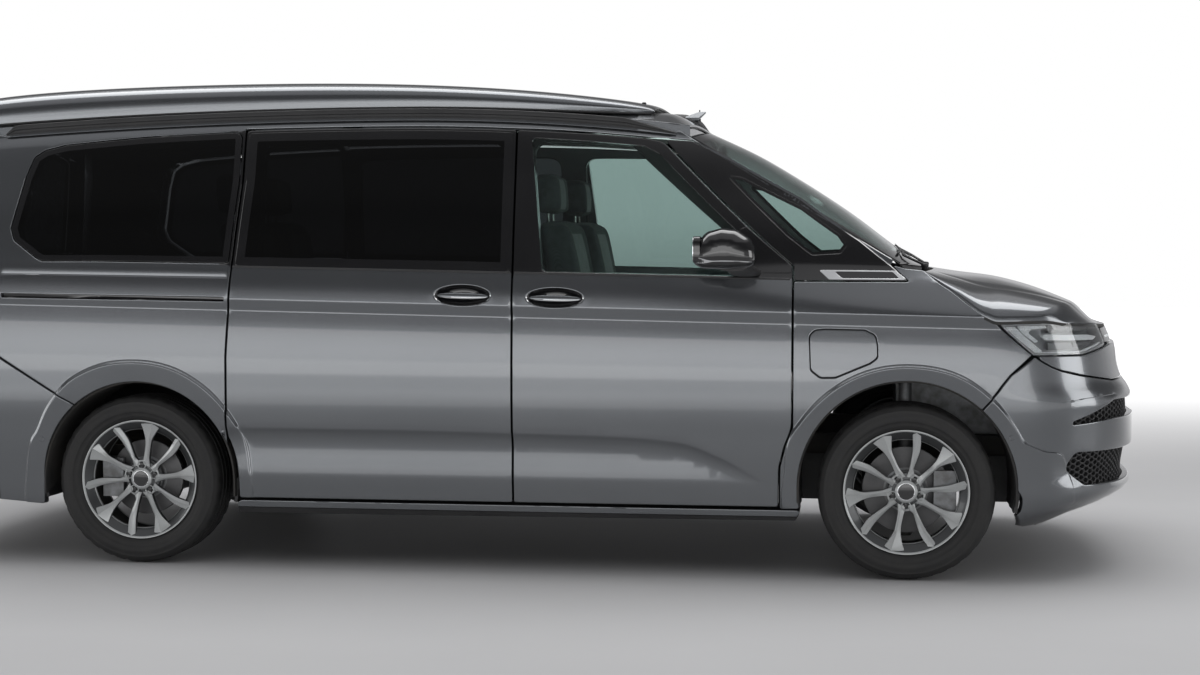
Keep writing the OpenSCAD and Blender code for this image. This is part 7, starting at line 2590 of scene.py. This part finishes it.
@dataclass
class Canvas:
    """The folded canvas between the body and the lifting roof."""

    folds: int = 6
    low: float = 1884.0
    high: float = 1898.0

    def build(self) -> None:
        """Builds the canvas as a pleated ring that follows both bodies."""
        n = 220
        loop = soften([(-2098, -600), (366, -600), (366, 600), (-2098, 600)], 80, 8)
        q = np.vstack([loop, loop[:1]])
        s = np.concatenate([[0], np.cumsum(np.linalg.norm(np.diff(q, axis=0), axis=1))])
        t = np.linspace(0, s[-1], n + 1)[:-1]
        p = np.column_stack([np.interp(t, s, q[:, 0]), np.interp(t, s, q[:, 1])])
        out = -inward(p) if signed_area(p) > 0 else inward(p)
        rows = []
        steps = self.folds * 4 + 1
        foot = RoofSet.top(p[:, 0], p[:, 1] / 775) + 2
        rows.append((foot, 7.5))
        for k in range(steps):
            share = k / (steps - 1)
            rows.append((np.full(n, self.low + (self.high - self.low) * share),
                         7.5 * math.cos(share * self.folds * 2 * math.pi)))
        rows.append((RoofSet().lid_under(p[:, 0], p[:, 1]), 7.5))
        rings = [np.column_stack([p + out * wave, z]) for z, wave in rows]
        rings += [np.column_stack([p + out * (wave - 1.4), z]) for z, wave in rows[::-1]]
        kit = Kit()
        kit.loft([np.array([ring[i] for ring in rings]) for i in range(n)], 0, closed=True)
        obj = kit.make("roof_bellows", smooth=60)
        obj.data.materials.append(PAL["canvas"])
        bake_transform(obj)
        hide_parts("roof_canvas")
        LOG.info("piece %s across the roof joint, %d faces", obj.name, len(obj.data.polygons))


@dataclass
class Underbody:
    """Finishes of the nodes that keep the source's shape."""

    finishes: tuple[tuple[str, str], ...] = (
        ("floor_pan", "underbody"), ("front_frame", "underbody"), ("arch_liners", "underbody"),
        ("engine_block", "cast"), ("fuel_tank", "black_plastic"), ("exhaust", "steel"),
        ("front_subframe", "underbody"), ("rear_axle", "cast"), ("knuckle_front_right", "cast"),
        ("knuckle_front_left", "cast"), ("roof_frame", "paint"))

    def build(self) -> None:
        """Assigns the finishes."""
        for node, finish in self.finishes:
            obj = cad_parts.get(node)
            if obj is None:
                continue
            if obj.material_slots:
                for slot in obj.material_slots:
                    slot.material = PAL[finish]
            else:
                obj.data.materials.append(PAL[finish])
            LOG.info("finish %s on %s", finish, node)


@dataclass
class Studio:
    """Camera, lights, floor and background."""

    place: tuple[float, float, float] = (1.446, -8.459, 1.332)
    tilt: float = 87.086
    turn: float = 7.644
    lens: float = 57.549

    def camera(self) -> None:
        """Sets the camera where the photograph was taken from."""
        data = bpy.data.cameras.new("camera")
        data.lens = self.lens
        data.sensor_width = 36.0
        data.clip_end = 200.0
        obj = bpy.data.objects.new("camera", data)
        bpy.context.scene.collection.objects.link(obj)
        obj.location = self.place
        obj.rotation_euler = (math.radians(self.tilt), 0, math.radians(self.turn))
        bpy.context.scene.camera = obj

    def lamp(self, name: str, place: Sequence[float], target: Sequence[float], size: tuple[float, float],
             power: float, spread: float = 180.0) -> None:
        """Adds a soft rectangular light that points at a place."""
        data = bpy.data.lights.new(name, "AREA")
        data.shape = "RECTANGLE"
        data.size, data.size_y = size
        data.energy = power
        data.spread = math.radians(spread)
        obj = bpy.data.objects.new(name, data)
        bpy.context.scene.collection.objects.link(obj)
        obj.location = place
        way = Vector(target) - Vector(place)
        obj.rotation_euler = way.to_track_quat("-Z", "Y").to_euler()

    def world(self) -> None:
        """White to the camera, a soft grey room to everything else."""
        world = bpy.data.worlds.new("room")
        bpy.context.scene.world = world
        world.use_nodes = True
        tree = world.node_tree
        tree.nodes.clear()
        new, link = tree.nodes.new, tree.links.new
        out = new("ShaderNodeOutputWorld")
        rays = new("ShaderNodeLightPath")
        where = new("ShaderNodeTexCoord")
        split = new("ShaderNodeSeparateXYZ")
        link(where.outputs["Generated"], split.inputs["Vector"])
        ramp = new("ShaderNodeValToRGB")
        levels = ((0.0, 0.12), (0.47, 0.16), (0.505, 0.55), (0.54, 0.62), (0.575, 0.34), (0.63, 0.12),
                  (0.70, 0.10),
                  (0.74, 0.16), (0.78, 0.55), (0.88, 0.65), (1.0, 0.72))
        for i, (place, level) in enumerate(levels):
            stop = ramp.color_ramp.elements[i] if i < 2 else ramp.color_ramp.elements.new(place)
            stop.position = place
            stop.color = (level, level, level * 1.02, 1)
        share = new("ShaderNodeMapRange")
        share.inputs["From Min"].default_value = -1
        link(split.outputs["Z"], share.inputs["Value"])
        link(share.outputs["Result"], ramp.inputs["Fac"])
        room = new("ShaderNodeBackground")
        room.inputs["Strength"].default_value = 0.9
        link(ramp.outputs["Color"], room.inputs["Color"])
        white = new("ShaderNodeBackground")
        white.inputs["Color"].default_value = (1, 1, 1, 1)
        mix = new("ShaderNodeMixShader")
        link(rays.outputs["Is Camera Ray"], mix.inputs["Fac"])
        link(room.outputs["Background"], mix.inputs[1])
        link(white.outputs["Background"], mix.inputs[2])
        link(mix.outputs["Shader"], out.inputs["Surface"])

    def floor(self) -> None:
        """A plain pale floor."""
        bpy.ops.mesh.primitive_plane_add(size=60, location=(0, 0, 0))
        floor = bpy.context.object
        floor.name = "floor"
        mat = Finish("floor_paint", (0.50, 0.50, 0.505), (0.48, 0.48, 0.485), 0.55, 0.05, mottle=0.8,
                     scale=30, relief=0.02).material()
        self.fade(mat)
        floor.data.materials.append(mat)

    def fade(self, mat: bpy.types.Material) -> None:
        """Lets the floor turn white far behind the van, and bright beside the camera, where it is only mirrored."""
        tree = mat.node_tree
        shader = tree.nodes["Principled BSDF"]
        new, link = tree.nodes.new, tree.links.new
        where = new("ShaderNodeTexCoord")
        split = new("ShaderNodeSeparateXYZ")
        link(where.outputs["Object"], split.inputs["Vector"])
        shader.inputs["Emission Color"].default_value = (1, 1, 1, 1)
        total = None
        for start, end, level in ((2.0, 11.0, 1.0), (-4.7, -5.6, 0.85)):
            ramp = new("ShaderNodeMapRange")
            ramp.interpolation_type = "SMOOTHSTEP"
            for key, value in (("From Min", start), ("From Max", end), ("To Max", level)):
                ramp.inputs[key].default_value = value
            link(split.outputs["Y"], ramp.inputs["Value"])
            if total is None:
                total = ramp.outputs["Result"]
                continue
            add = new("ShaderNodeMath")
            link(total, add.inputs[0])
            link(ramp.outputs["Result"], add.inputs[1])
            total = add.outputs["Value"]
        link(total, shader.inputs["Emission Strength"])

    def build(self) -> None:
        """Builds the studio."""
        bpy.context.scene.view_settings.view_transform = "Standard"
        self.camera()
        self.world()
        self.floor()
        self.lamp("overhead", (0.2, 0.5, 5.6), (0.2, 0.2, 0.8), (10.0, 3.4), 330)
        self.lamp("low_wall", (0.0, -10.2, 1.05), (0.0, 0.0, 1.0), (17.0, 1.7), 170)
        self.lamp("nose", (8.5, -2.0, 1.9), (2.0, -0.2, 0.9), (3.4, 2.6), 90)
        self.lamp("tail", (-8.5, -2.5, 2.0), (-2.0, -0.4, 0.9), (3.4, 2.6), 80)


def main() -> None:
    """Builds the van and its studio."""
    Studio().build()
    side = SideBody()
    side.build()
    Doors(side).build()
    FrontEnd().build()
    Headlamps().build()
    RearEnd().build()
    roofs = RoofSet()
    roofs.build()
    Wheel(AXLE_F, 170.0, 0.0).build("front")
    Wheel(AXLE_R, 155.0, 36.0).build("rear")
    Mirrors().build()
    Trim(roofs).build()
    Interior().build()
    Canvas().build()
    Underbody().build()


if __name__ == "__main__":
    main()
